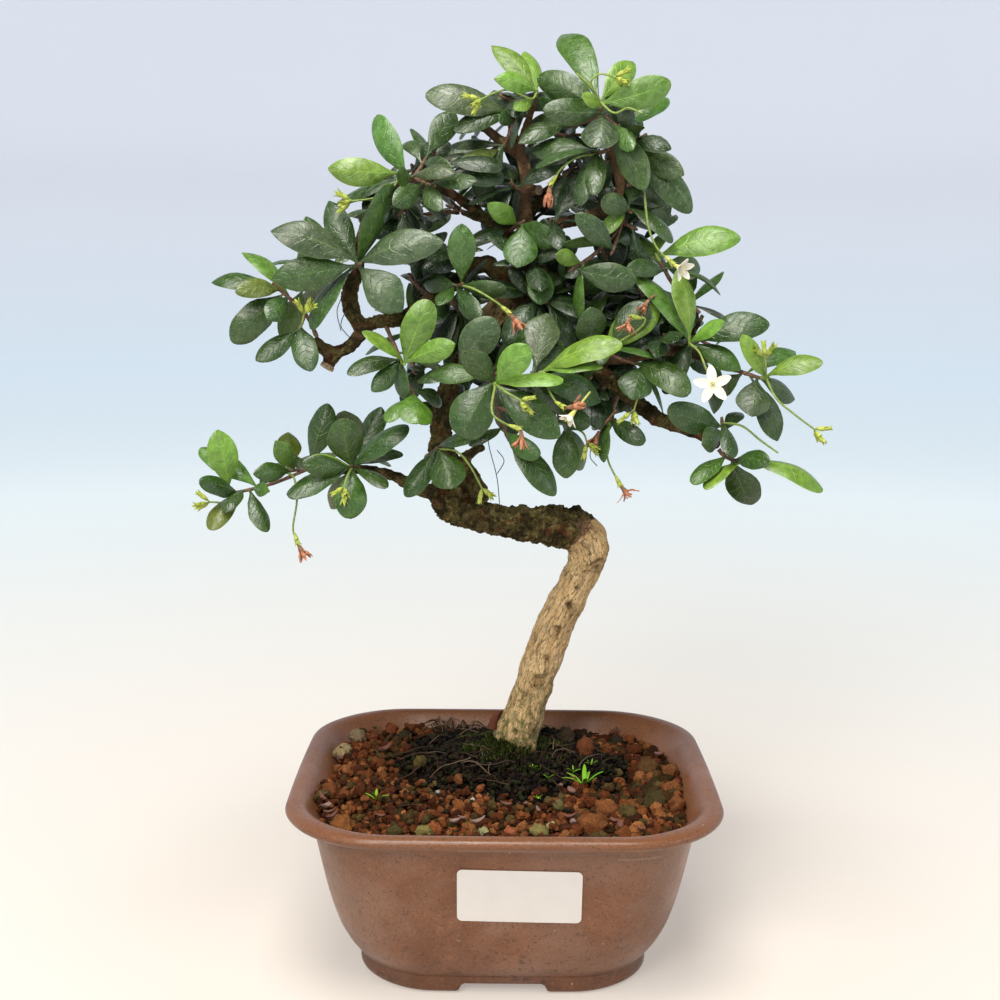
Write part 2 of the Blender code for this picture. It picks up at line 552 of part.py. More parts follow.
def make_pot(finish):
    outer = [(BASE_INSET + 0.0012, 0.0), (BASE_INSET + 0.0002, 0.0012), (BASE_INSET, BASE_RISE - 0.001)]
    for step in range(8):
        height = BASE_RISE + (WALL_TOP - BASE_RISE) * (step / 7) ** 1.5
        outer.append((wall_inset(height), height))
    inner = [(inner_inset(height), height) for height in INNER_HEIGHTS]
    inner.append((FLOOR_INSET, FLOOR_TOP))
    rings = [rounded_ring(inset, height) for inset, height in outer + LIP_OUTLINE + inner]
    pot = mesh_object("pot", *loft(rings), finish)
    under = BASE_INSET + 0.0012 + FOOT_WIDTH
    cut(pot, "under_cutter", *loft([rounded_ring(under, -0.005), rounded_ring(under + 0.001, FLOOR_UNDER)]))
    reach_x = RIM_WIDTH / 2
    reach_y = RIM_DEPTH / 2
    half = FOOT_NOTCH / 2
    cut(pot, "notch_across", *box_solid((-half, -reach_y, -0.005), (half, reach_y, NOTCH_RISE)))
    cut(pot, "notch_along", *box_solid((-reach_x, -half, -0.005), (reach_x, half, NOTCH_RISE)))
    for side in (-1, 1):
        middle = (side * DRAIN_SPACING / 2, 0.0)
        hole = loft([round_ring(middle, DRAIN_RADIUS, z, 16) for z in (0.002, 0.020)])
        cut(pot, "drain", *hole)
    tidy_body(pot)
    pot.data.shade_smooth()
    pot.data.set_sharp_from_angle(angle=math.radians(45))
    return pot


def make_label(finish):
    """A blank paper label, bent to the front wall."""
    rows = 8
    outline_front = []
    outline_back = []
    for row in range(rows + 1):
        height = LABEL_TOP - LABEL_RISE * row / rows
        corner = 0.0022 if row in (0, rows) else 0.0
        wall = -(RIM_DEPTH / 2 - wall_inset(height))
        half = LABEL_WIDTH / 2 - corner
        for side in (-1, 1):
            x = LABEL_ASIDE + side * half
            outline_back.append(Vector((x, wall - GAP, height)))
            outline_front.append(Vector((x, wall - GAP - LABEL_THICK, height)))
    points = outline_back + outline_front
    count = len(outline_back)
    faces = []
    for row in range(rows):
        a, b, c, d = 2 * row, 2 * row + 1, 2 * row + 3, 2 * row + 2
        faces.append((a, b, c, d))
        faces.append((a + count, d + count, c + count, b + count))
        faces.append((a, d, d + count, a + count))
        faces.append((b, b + count, c + count, c))
    faces.append((0, count, count + 1, 1))
    faces.append((count - 2, count - 1, 2 * count - 1, 2 * count - 2))
    return mesh_object("label", points, faces, finish)


# Soil

def ball_middle():
    foot = seen_at(TRUNK_ROUTE[0][0], TRUNK_ROUTE[0][1], TRUNK_DEPTH)
    return foot.x, foot.y


def make_soil(finish):
    """Akadama granules round the root ball: a ring of soil with a granular top."""
    draw = random.Random(SEED)
    rim = [(FLOOR_INSET + GAP, FLOOR_TOP + GAP)]
    for height in (*reversed(INNER_HEIGHTS[1:]), SOIL_EDGE):
        rim.append((inner_inset(height) + GAP, height))
    outer = [rounded_ring(inset, height, straight=5) for inset, height in rim]
    count = len(outer[0])
    middle = ball_middle()
    edge_top = outer[-1]

    def hole_ring(radius, height):
        angles = [math.atan2(point.y - middle[1], point.x - middle[0]) for point in edge_top]
        return [
            Vector((middle[0] + radius * math.cos(angle), middle[1] + radius * math.sin(angle), height))
            for angle in angles
        ]

    hole = hole_ring(BALL_RADIUS + 2 * GAP, SOIL_LEVEL)
    rings = [hole_ring(BALL_FOOT + 2 * GAP, FLOOR_TOP + GAP)] + outer
    steps = 6
    for step in range(1, steps + 1):
        share = step / steps
        ring = []
        for index in range(count):
            spot = edge_top[index].lerp(hole[index], share)
            bump = SOIL_BUMP * draw.uniform(-1, 1) if step < steps else 0.0
            side = SOIL_BUMP * draw.uniform(-0.7, 0.7) if step < steps else 0.0
            level = SOIL_LEVEL + 0.0015 * share + bump
            ring.append(Vector((spot.x + side, spot.y - side, level)))
        rings.append(ring)
    rings.append(hole_ring(BALL_RADIUS + 2 * GAP, BALL_SHOULDER))
    return mesh_object("akadama_granules", *loft(rings, close_round=True), finish)


def make_root_ball(finish):
    """The dark nursery ball: a drum of humus with a mound on top and a hole for the trunk."""
    draw = random.Random(SEED + 1)
    middle = ball_middle()
    columns = 20
    hole = PLUG_RADIUS + GAP
    profile = [(0.6 * hole, FLOOR_TOP + GAP), (BALL_FOOT, FLOOR_TOP + GAP), (BALL_RADIUS, BALL_SHOULDER)]
    profile.append((BALL_RADIUS, SOIL_LEVEL - 0.001))
    mound = [(0.93, 0.14), (0.78, 0.44), (0.62, 0.66), (0.46, 0.58), (0.36, 0.40)]
    rings = [round_ring(middle, radius, height, columns) for radius, height in profile]
    for out, up in mound:
        ring = round_ring(middle, BALL_RADIUS * out, SOIL_LEVEL, columns)
        for point in ring:
            lump = draw.uniform(-1, 1) * 0.0010
            point.z += (BALL_TOP - SOIL_LEVEL) * up * 0.8 + lump
        rings.append(ring)
    rings.append(round_ring(middle, hole, SOIL_LEVEL + 0.0026, columns))
    rings.append(round_ring(middle, hole, PLUG_BOTTOM - GAP, columns))
    rings.append(round_ring(middle, 0.6 * hole, PLUG_BOTTOM - GAP, columns))
    points, faces = loft(rings)
    return mesh_object("root_ball", points, faces, finish)


# Wood

def placed_route(pixels):
    return [(seen_at(column, row, depth / 1000), radius / 1000) for column, row, depth, radius in pixels]


def tube(route, sides, lump=0.0, swell=0.0):
    """A closed tube along (point, radius) pairs, with lumps by smooth noise."""
    rings = []
    normal = None
    for index, (point, radius) in enumerate(route):
        before = route[max(index - 1, 0)][0]
        after = route[min(index + 1, len(route) - 1)][0]
        along = (after - before).normalized()
        if normal is None:
            normal = along.orthogonal().normalized()
        normal = (normal - along * normal.dot(along)).normalized()
        across = along.cross(normal)
        ring = []
        for side in range(sides):
            angle = 2 * math.pi * side / sides
            out = normal * math.cos(angle) + across * math.sin(angle)
            spot = point + out * radius
            grow = 1 + lump * noise.noise(spot * 180) + swell * noise.noise(spot * 70)
            ring.append(point + out * radius * grow)
        rings.append(ring)
    return loft(rings)


def wood_tubes():
    foot = ball_middle()
    plug = [(Vector((foot[0], foot[1], z)), PLUG_RADIUS - 0.0006 * (z < 0.04)) for z in (PLUG_BOTTOM, 0.045, 0.0625)]
    trunk = placed_route(TRUNK_ROUTE)
    tubes = [tube(trunk, 8, 0.16, 0.12), tube(plug + [(foot_point(), PLUG_RADIUS)], 9)]
    for pixels in LIMBS.values():
        tubes.append(tube(placed_route(pixels), 5, 0.10))
    for pixels in STUBS.values():
        tubes.append(tube(placed_route(pixels), 5, 0.10))
    return tubes


def foot_point():
    foot = ball_middle()
    return Vector((foot[0], foot[1], 0.0665))


# Leaves and twigs

Placed = namedtuple("Placed", "node whole outer")


def tree_of(solid):
    return BVHTree.FromPolygons([tuple(point) for point in solid[0]], solid[1])


class Crowd:
    """What stands in the crown so far: other nodes stay clear of it whole, the same node of its outer part."""

    def __init__(self):
        self.items = []
        self.lows = np.zeros((0, 3))
        self.highs = np.zeros((0, 3))

    def add(self, node, whole, outer=None):
        spots = np.array([tuple(point) for point in whole[0]])
        tree = tree_of(whole)
        self.items.append(Placed(node, tree, tree_of(outer) if outer else tree))
        self.lows = np.vstack([self.lows, spots.min(axis=0)])
        self.highs = np.vstack([self.highs, spots.max(axis=0)])

    def meets(self, node, whole, outer=None):
        """Whether the solid crosses another node, or its outer part crosses its own node."""
        spots = np.array([tuple(point) for point in whole[0]])
        inside = (self.lows < spots.max(axis=0)) & (self.highs > spots.min(axis=0))
        near = np.nonzero(np.all(inside, axis=1))[0]
        if not len(near):
            return False
        whole_tree = tree_of(whole)
        outer_tree = tree_of(outer) if outer else None
        for index in near:
            item = self.items[index]
            if item.node != node:
                if whole_tree.overlap(item.whole):
                    return True
            elif outer_tree is not None and outer_tree.overlap(item.outer):
                return True
        return False


ROOT_SHARE = 0.09
ROOT_SINK = -0.03


def blade(base, tip, normal, width, thick=BLADE, arch=0.10, cup=0.10, root=ROOT_SINK):
    """A closed leaf blade: widest past its middle, blunt at the tip, arched and bent down at its edges."""
    along = tip - base
    length = along.length
    along = along.normalized()
    normal = (normal - along * normal.dot(along)).normalized()
    across = along.cross(normal)

    def spot(share, half):
        rise = arch * length * 4 * share * (1 - share) - cup * abs(half) * width
        return base + along * (length * share) + across * (half * width) + normal * rise

    upper = [
        spot(root, 0.0),
        spot(0.40, -0.38), spot(0.40, 0.38),
        spot(0.74, -0.48), spot(0.74, 0.48),
        spot(0.985, -0.16), spot(0.985, 0.16),
    ]
    top = [point + normal * (thick / 2) for point in upper]
    bottom = [point - normal * (thick / 2) for point in upper]
    face = [(0, 2, 1), (1, 2, 4), (1, 4, 3), (3, 4, 6), (3, 6, 5)]
    rim = [0, 2, 4, 6, 5, 3, 1]
    count = len(upper)
    faces = list(face) + [tuple(count + index for index in reversed(corner)) for corner in face]
    for here, there in zip(rim, rim[1:] + rim[:1]):
        faces.append((here, here + count, there + count))
        faces.append((here, there + count, there))
    return top + bottom, faces


LEAF_SHAPE = 0.44
FILL_LENGTH = 0.023
GOLDEN_ANGLE = math.radians(137.5)


def hero_pose(base, leaf):
    """Tip, normal and width of a leaf whose tip and seen width are known."""
    seen = seen_at(leaf.tip[0], leaf.tip[1], base.y)
    in_plane = seen - base
    shown = in_plane.length
    length = max(shown * 1.03, shown * 0.55 + 0.0105)
    out = math.sqrt(max(length ** 2 - shown ** 2, 0.0))
    view = towards_viewer(seen)
    tip = seen + view * out * leaf.side
    shown_width = leaf.wide * (VIEW_DISTANCE + base.y) / FOCAL_PIXELS
    width = max(shown_width, LEAF_SHAPE * length * 0.86)
    roll = math.acos(min(shown_width / width, 1.0))
    along = (tip - base).normalized()
    facing = (view - along * view.dot(along)).normalized()
    side = along.cross(facing)
    if side.z < 0:
        side = -side
    normal = facing * math.cos(roll) + side * math.sin(roll)
    return tip, normal, width


def fill_pose(base, direction, length, outward):
    tip = base + direction * length
    lift = Vector((0, 0, 1)) * 0.8 + outward * 0.5
    normal = (lift - direction * lift.dot(direction)).normalized()
    return tip, normal, length * LEAF_SHAPE


LEANS = (0, 8, -8, 16, -16, 26, -26, 38, -38, 52, -52)
ROLLS = (0, 25, -25, 50)
SHRINKS = (1.0, 0.88, 0.76, 0.64)


def settle(crowd, node, base, pose):
    """The first small turn or shrink of the leaf that keeps it clear of other nodes, or None."""
    tip, normal, width = pose
    along = tip - base
    view = towards_viewer(tip)
    hinge = along.cross(view)
    hinge = hinge.normalized() if hinge.length > 1e-6 else Vector((1, 0, 0))
    for shrink in SHRINKS:
        for lean in LEANS:
            turned = Matrix.Rotation(math.radians(lean), 3, hinge)
            reach = turned @ (along * shrink)
            faced = turned @ normal
            for roll in ROLLS:
                rolled = Matrix.Rotation(math.radians(roll), 3, reach.normalized()) @ faced
                wide = width * shrink
                test = blade(base, base + reach * 1.02, rolled, wide + 2 * GAP, BLADE + 2 * GAP)
                outer = blade(base, base + reach, rolled, wide, root=ROOT_SHARE)
                if not crowd.meets(node, test, outer):
                    return base + reach, rolled, wide
    return None


def wood_starts(trees, heart):
    """Places on the wood for a twig to leave from, nearest first, as (start, direction) pairs."""
    found = []
    for tree in trees:
        place, normal, _, distance = tree.find_nearest(heart)
        found.append((distance, place, normal))
    found.sort(key=lambda item: item[0])
    for _, place, normal in found[:4]:
        towards = (heart - place).normalized()
        for lean in (0.0, 0.35, 0.7):
            leave = normal.lerp(towards, lean).normalized()
            tilt = leave.cross(normal).length
            yield place + normal * (GAP * 1.2 + TWIG_RADIUS * tilt), leave


def stem_starts(stems, heart):
    """Places on a spray's own twigs for the next twig to leave from, nearest first."""
    spots = [spot for stem in stems for spot, _ in stem.route[:-1]]
    for spot in sorted(spots, key=lambda spot: (spot - heart).length):
        start = spot + ASIDE
        yield start, (heart - start).normalized()


def bent_route(start, leave, end, arrive, radii, count):
    """A curve from start to end with given directions at both ends, as (point, radius) pairs."""
    span = (end - start).length * 0.9
    route = []
    for step in range(count + 1):
        t = step / count
        spot = (
            start * (2 * t ** 3 - 3 * t ** 2 + 1) + leave * span * (t ** 3 - 2 * t ** 2 + t)
            + end * (3 * t ** 2 - 2 * t ** 3) + arrive * span * (t ** 3 - t ** 2)
        )
        route.append((spot, radii[0] + (radii[1] - radii[0]) * t))
    return route


Stem = namedtuple("Stem", "route heart along")
NODE_SPACING = 0.0015
ASIDE = Vector((0.00017, 0.00011, 0.00013))


def on_stem(stem, back):
    """The point on a twig this far back from its end."""
    spots = [spot for spot, _ in stem.route][::-1]
    for here, there in zip(spots, spots[1:]):
        step = (there - here).length
        if back <= step:
            return here.lerp(there, back / step)
        back -= step
    return spots[-2]


def leaf_place(stem, index, count):
    """Where the twig carries a leaf, counted from its end."""
    length = sum((there[0] - here[0]).length for here, there in zip(stem.route, stem.route[1:]))
    spacing = min(NODE_SPACING, (length - 0.0030) / max(count, 1))
    return on_stem(stem, 0.0009 + spacing * index)


def grow_stems(crowd, trees):
    """Every spray's twigs: the first rises from the wood, the others from the spray's own stem."""
    stems = {}
    for node, shoots in SPRAYS.items():
        stems[node] = []
        for shoot in shoots:
            heart = seen_at(shoot.heart[0], shoot.heart[1], shoot.depth / 1000)
            starts = stem_starts(stems[node], heart) if stems[node] else wood_starts(trees, heart)
            root = TWIG_RADIUS * (0.83 if stems[node] else 1.0)
            for start, leave in starts:
                arrive = ((heart - start).normalized() + Vector((0, 0, 0.35))).normalized()
                route = bent_route(start, leave, heart, arrive, (root, TWIG_RADIUS * 0.80), 2)
                thicker = tree_of(tube([(spot, radius + GAP) for spot, radius in route], 5))
                if not any(tree.overlap(thicker) for tree in trees):
                    break
            else:
                print(node, "has a twig that meets the wood")
            stems[node].append(Stem(route, heart, arrive))
            crowd.add(node, tube(route, 4))
    return stems


def spindle(middle, along, length, radius):
    """A bud: four-sided and pointed at both ends."""
    normal = along.orthogonal().normalized()
    across = along.cross(normal)
    belly = middle - along * (length * 0.1)
    ring = [belly + normal * radius, belly + across * radius, belly - normal * radius, belly - across * radius]
    points = [middle - along * (length / 2)] + ring + [middle + along * (length / 2)]
    faces = []
    for side in range(4):
        here = 1 + side
        there = 1 + (side + 1) % 4
        faces.append((0, there, here))
        faces.append((5, here, there))
    return points, faces


def grow_buds(route):
    """A small cluster of buds round the end of a stalk."""
    end, _ = route[-1]
    along = (end - route[-2][0]).normalized()
    normal = along.orthogonal().normalized()
    buds = []
    for index in range(2):
        around = Matrix.Rotation(math.pi * index + 0.6, 3, along) @ normal
        aim = (along + around * 0.8).normalized()
        buds.append(spindle(end + aim * 0.0018, aim, 0.0052, 0.0008))
    return buds


def grow_stalks(crowd, stems, fresh_nodes):
    """Flower stalks, fused to the fresh tuft where the shoot has one, else to the spray."""
    solids = []
    corollas = {}
    for stalk in STALKS:
        stem = stems[stalk.spray][stalk.shoot]
        shoot = SPRAYS[stalk.spray][stalk.shoot]
        node = stalk.spray
        start = stem.heart - stem.along * 0.0010
        if shoot.fresh:
            node = fresh_nodes[stalk.spray]
            start = stem.heart + stem.along * 0.0022
        points = [start] + [seen_at(column, row, depth / 1000) for column, row, depth in stalk.route]
        route = [(point, STALK_RADIUS) for point in points]
        solids.append((node, tube(route, 3)))
        crowd.add(node, solids[-1][1])
        if stalk.ending == "buds":
            for bud in grow_buds(route):
                solids.append((node, bud))
                crowd.add(node, bud)
        elif stalk.ending != "tip":
            corollas[stalk.ending] = route[-1][0], (route[-1][0] - route[-2][0]).normalized()
            calyx = tube([(route[-1][0] - corollas[stalk.ending][1] * 0.0016, 0.0005),
                          (route[-1][0], 0.0011)], 4)
            solids.append((node, calyx))
            crowd.add(node, calyx)
    return solids, corollas


def grow_corolla(end, along, flower):
    """A flower seated on its calyx: a short throat that opens into a star of five lobes."""
    aim = (seen_at(flower.middle[0], flower.middle[1], flower.middle[2] / 1000) - end).normalized()
    throat = end + along * (GAP + 0.0001 + 0.0009 * along.cross(aim).length)
    mouth = throat + (along + aim).normalized() * 0.0012 + aim * 0.0018
    normal = aim.orthogonal().normalized()
    tilt = math.radians(flower.spread)

    def star(middle, inner, outer, lift):
        ring = []
        for index in range(10):
            around = Matrix.Rotation(math.pi * index / 5 + 0.3, 3, aim) @ normal
            reach = outer if index % 2 == 0 else inner
            spread = aim * math.cos(tilt) + around * math.sin(tilt)
            ring.append(middle + around * 0.0009 + spread * reach + aim * lift)
        return ring

    rings = [
        star(throat, 0.0, 0.0, 0.0),
        star(mouth, 0.0, 0.0, 0.0),
        star(mouth, 0.0016, flower.length * 0.96, 0.0),
        star(mouth, 0.0016, flower.length, BLADE),
        star(mouth, 0.0004, flower.length * 0.30, BLADE * 1.4),
    ]
    return [loft(rings)]


def grow_leaves(crowd, stems, fresh_nodes):
    """Every leaf's settled pose, as (node, base, tip, normal, width)."""
    draw = random.Random(SEED + 2)
    leaves = []
    lost = []

    def place(node, base, pose, shown):
        base = base + Vector((draw.uniform(-1, 1), draw.uniform(-1, 1), draw.uniform(-1, 1))) * 0.0001
        settled = settle(crowd, node, base, pose)
        if settled is None:
            lost.append((node, shown))
            return
        crowd.add(node, blade(base, *settled), blade(base, *settled, root=ROOT_SHARE))
        leaves.append((node, base, *settled))

    for node, shoots in SPRAYS.items():
        for shoot, stem in zip(shoots, stems[node]):
            for leaf in shoot.fresh:
                base = stem.heart + stem.along * 0.0018
                place(fresh_nodes[node], base, hero_pose(base, leaf), leaf.tip)
    for node, shoots in SPRAYS.items():
        for shoot, stem in zip(shoots, stems[node]):
            for index, leaf in enumerate(shoot.leaves):
                base = leaf_place(stem, index, len(shoot.leaves) + shoot.fill)
                place(node, base, hero_pose(base, leaf), leaf.tip)
    for node, shoots in SPRAYS.items():
        for shoot, stem in zip(shoots, stems[node]):
            turn = draw.uniform(0, 6.28)
            side = stem.along.orthogonal().normalized()
            placed = 0
            step = 0
            while placed < shoot.fill and step < 24:
                turn += GOLDEN_ANGLE
                polar = math.radians(draw.uniform(48, 100))
                length = FILL_LENGTH * draw.uniform(0.82, 1.08)
                step += 1
                out = Matrix.Rotation(turn, 3, stem.along) @ side
                direction = stem.along * math.cos(polar) + out * math.sin(polar)
                if shoot.leaves and direction.y < 0.25:
                    continue
                base = leaf_place(stem, len(shoot.leaves) + placed, len(shoot.leaves) + shoot.fill)
                place(node, base, fill_pose(base, direction, length, out), "fill")
                placed += 1
    print(len(leaves), "leaves placed, lost:", lost)
    return leaves


def make_plant(finishes):
    crowd = Crowd()
    wood = wood_tubes()
    for solid in wood:
        crowd.add("trunk", solid)
    trees = [placed.whole for placed in crowd.items]
    fresh_nodes = {
        node: node.replace("spray", "fresh")
        for node, shoots in SPRAYS.items()
        if any(shoot.fresh for shoot in shoots)
    }
    stems = grow_stems(crowd, trees)
    solids = {node: [tube(stem.route, 4) for stem in routes] for node, routes in stems.items()}
    for node, fresh in fresh_nodes.items():
        for shoot, stem in zip(SPRAYS[node], stems[node]):
            if shoot.fresh:
                bud = tube([(stem.heart + stem.along * GAP, 0.0008), (stem.heart + stem.along * 0.0030, 0.0007)], 5)
                solids.setdefault(fresh, []).append(bud)
                crowd.add(fresh, bud)
    stalks, corollas = grow_stalks(crowd, stems, fresh_nodes)
    for node, solid in stalks:
        solids[node].append(solid)
    flowers = {}
    for name, (end, along) in corollas.items():
        flowers[name] = grow_corolla(end, along, FLOWERS[name])
        for solid in flowers[name]:
            crowd.add(name, solid)
    for node, base, tip, normal, width in grow_leaves(crowd, stems, fresh_nodes):
        solids[node].append(blade(base, tip, normal, width))
    joined("trunk", wood, finishes["bark"])
    for node, pieces in solids.items():
        kind = "leaf_fresh" if node.startswith("fresh") else "leaf_dark"
        joined(node, pieces, finishes[kind])
    for name, pieces in flowers.items():
        kind = "petal_dried" if "dried" in name else "petal_white"
        joined(name, pieces, finishes[kind])


def centre_on_origin():
    """Moves every object so that the whole stands on the ground with its box round the origin."""
    corners = [item.matrix_world @ Vector(corner) for item in bpy.data.objects for corner in item.bound_box]
    middle_x = (min(c.x for c in corners) + max(c.x for c in corners)) / 2
    middle_y = (min(c.y for c in corners) + max(c.y for c in corners)) / 2
    for item in bpy.data.objects:
        item.data.transform(Matrix.Translation((-middle_x, -middle_y, 0)))


def main():
    clear_scene()
    finishes = {name: material(name) for name in COLOURS}
    make_pot(finishes["pot_glaze"])
    make_label(finishes["label_paper"])
    make_soil(finishes["akadama"])
    make_root_ball(finishes["humus"])
    make_plant(finishes)
    centre_on_origin()


main()
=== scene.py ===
# %% [markdown]
# # A fukien tea bonsai, dressed piece by piece
#
# This small indoor tree has a bent trunk, oval glossy leaves and white star flowers, and stands in a
# brown glazed pot. A plain construction model of it already exists. This lesson loads that model,
# measures it, and then puts a finer piece in the place of each plain one: a turned rim, loose clay
# granules, cracked bark, veined leaves. Every step is a short cell that prints what it made.

import math
import random
from collections import namedtuple

import bmesh
import bpy
import numpy as np
from mathutils import Matrix, Vector, noise
from mathutils.bvhtree import BVHTree


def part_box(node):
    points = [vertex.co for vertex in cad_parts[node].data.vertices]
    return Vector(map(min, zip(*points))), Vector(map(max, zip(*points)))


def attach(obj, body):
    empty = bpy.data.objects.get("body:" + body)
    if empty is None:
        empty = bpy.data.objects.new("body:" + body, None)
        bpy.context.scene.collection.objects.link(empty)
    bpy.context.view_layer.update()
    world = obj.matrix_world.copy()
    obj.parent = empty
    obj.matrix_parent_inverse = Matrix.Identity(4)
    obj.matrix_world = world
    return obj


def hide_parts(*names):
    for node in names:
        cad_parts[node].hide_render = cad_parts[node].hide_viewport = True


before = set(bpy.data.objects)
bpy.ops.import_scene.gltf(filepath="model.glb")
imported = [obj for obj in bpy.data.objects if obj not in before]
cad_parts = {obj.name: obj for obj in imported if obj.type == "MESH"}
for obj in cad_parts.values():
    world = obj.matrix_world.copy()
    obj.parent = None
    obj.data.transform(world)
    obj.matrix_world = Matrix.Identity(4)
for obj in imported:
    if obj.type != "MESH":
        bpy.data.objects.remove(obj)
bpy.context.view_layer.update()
pot_low, pot_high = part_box("pot")
POT_MIDDLE = Vector(((pot_low.x + pot_high.x) / 2, (pot_low.y + pot_high.y) / 2, 0.0))
print("middle of the pot", [round(value, 4) for value in POT_MIDDLE])

# %% [markdown]
# ## The camera
#
# The picture was taken from a little above the rim, looking down by about nine degrees, with the
# camera turned by half a degree. The lens follows from its focal length in pixels. The function
# `seen_at` turns a pixel of the thousand-pixel picture and a depth into a point in space, counted
# from the middle of the pot. Twigs, leaves and flowers below are placed with it.

# %% Camera
FOCAL_PIXELS = 1412.0
FRAME_PIXELS = 1000.0
FRAME_MIDDLE = 500.0
SENSOR = 36.0
VIEW_ASIDE = -0.0025
VIEW_DISTANCE = 0.5055
VIEW_HEIGHT = 0.250
VIEW_PITCH = math.radians(9.3)
VIEW_ROLL = math.radians(0.5)


def sight_line(column, row):
    """How far a line of sight goes aside, ahead and up, for one step of its length."""
    x = (column - FRAME_MIDDLE) / FOCAL_PIXELS
    y = (FRAME_MIDDLE - row) / FOCAL_PIXELS
    turned_x = x * math.cos(VIEW_ROLL) - y * math.sin(VIEW_ROLL)
    turned_y = x * math.sin(VIEW_ROLL) + y * math.cos(VIEW_ROLL)
    ahead = math.cos(VIEW_PITCH) + turned_y * math.sin(VIEW_PITCH)
    rise = turned_y * math.cos(VIEW_PITCH) - math.sin(VIEW_PITCH)
    return turned_x, ahead, rise


def seen_at(column, row, depth):
    """The point that shows at a pixel and lies at this distance behind the pot's middle."""
    aside, ahead, rise = sight_line(column, row)
    reach = (depth + VIEW_DISTANCE) / ahead
    return Vector((VIEW_ASIDE + aside * reach, depth, VIEW_HEIGHT + rise * reach))


def seen_on_level(column, row, level):
    """The point that shows at a pixel and lies at a height, for what rests on the soil."""
    aside, ahead, rise = sight_line(column, row)
    reach = (level - VIEW_HEIGHT) / rise
    return Vector((VIEW_ASIDE + aside * reach, ahead * reach - VIEW_DISTANCE, level))


def towards_viewer(point):
    return (Vector((VIEW_ASIDE, -VIEW_DISTANCE, VIEW_HEIGHT)) - point).normalized()


lens = bpy.data.cameras.new("photo_camera")
lens.sensor_width = SENSOR
lens.lens = FOCAL_PIXELS / FRAME_PIXELS * SENSOR
camera = bpy.data.objects.new("photo_camera", lens)
bpy.context.scene.collection.objects.link(camera)
place = Matrix.Translation(POT_MIDDLE + Vector((VIEW_ASIDE, -VIEW_DISTANCE, VIEW_HEIGHT)))
tip_down = Matrix.Rotation(math.radians(90) - VIEW_PITCH, 4, "X")
camera.matrix_world = place @ tip_down @ Matrix.Rotation(VIEW_ROLL, 4, "Z")
bpy.context.scene.camera = camera
print("lens", round(lens.lens, 2), "mm")

# %% [markdown]
# ## Small helpers for materials
#
# A material in Blender is a graph of nodes. Short functions keep the graphs readable: `add` makes a
# node and fills its sockets, `mixed` and `laid` mix colours, `ramp` and `counted` shape values, and
# `finish` makes the shader that every finish starts from. A value that is the same all over a
# surface goes straight on the shader.

# %% Material helpers


def add(tree, kind, sockets=(), **settings):
    """A node with its settings, and with its sockets set to values or linked to other sockets."""
    made = tree.nodes.new("ShaderNode" + kind)
    for key, value in settings.items():
        setattr(made, key, value)
    for key, value in dict(sockets).items():
        if isinstance(value, bpy.types.NodeSocket):
            tree.links.new(value, made.inputs[key])
        else:
            made.inputs[key].default_value = value
    return made


def colour(red, green, blue):
    return (red, green, blue, 1.0)


def mixed(tree, share, first, second, way="MIX"):
    """Two colours mixed by a share from 0 to 1."""
    sockets = {0: share, 6: first, 7: second}
    return add(tree, "Mix", sockets, data_type="RGBA", blend_type=way).outputs[2]


def ramp(tree, value, low, high):
    """A value stretched so that low becomes 0 and high becomes 1, and held there."""
    return add(tree, "MapRange", {"Value": value, "From Min": low, "From Max": high}).outputs["Result"]


def spread_out(tree, share, low, high):
    """A share from 0 to 1 turned into a value from low to high."""
    return add(tree, "MapRange", {"Value": share, "To Min": low, "To Max": high}).outputs["Result"]


def counted(tree, way, first, second):
    """Two values put together by one step of arithmetic."""
    return add(tree, "Math", {0: first, 1: second}, operation=way).outputs[0]


def times(tree, first, second):
    return counted(tree, "MULTIPLY", first, second)


def laid(tree, ground, share, strength, tint, way="MIX"):
    """A tint laid over a ground colour where the share says, at so much strength."""
    return mixed(tree, times(tree, share, strength), ground, tint, way)


def spots(tree, where, scale, detail=3.0, roughness=0.55):
    """Cloudy noise from about 0.3 to 0.7, at so many features per metre."""
    sockets = {"Vector": where, "Scale": scale, "Detail": detail, "Roughness": roughness}
    return add(tree, "TexNoise", sockets).outputs["Fac"]


def cells(tree, where, scale):
    """Distance to the nearest of many scattered points."""
    return add(tree, "TexVoronoi", {"Vector": where, "Scale": scale}).outputs["Distance"]


def finish(name, roughness, **values):
    """A new material: its tree, its shader and the coordinates of the object's own space."""
    made = bpy.data.materials.new(name)
    made.use_nodes = True
    tree = made.node_tree
    shader = tree.nodes["Principled BSDF"]
    shader.inputs["Roughness"].default_value = roughness
    for key, value in values.items():
        shader.inputs[key.replace("_", " ")].default_value = value
    where = add(tree, "TexCoord").outputs["Object"]
    return made, tree, shader, where


def paint(tree, shader, tint):
    tree.links.new(tint, shader.inputs["Base Color"])


def bump(tree, shader, height, strength, distance):
    made = add(tree, "Bump", {"Height": height, "Strength": strength, "Distance": distance})
    tree.links.new(made.outputs["Normal"], shader.inputs["Normal"])


def stored(tree, name):
    """A value that the mesh carries at its points."""
    return add(tree, "Attribute", attribute_name=name)

# %% [markdown]
# ## Small helpers for meshes
#
# Most pieces here are grids rolled into tubes, walls or blades. `loft` joins rings of points,
# `smooth_route` draws a soft curve through a few chosen points, `build` turns points and faces into
# an object at the pot's place, and `seat` lets it ride on the tree's one body.

# %% Mesh helpers


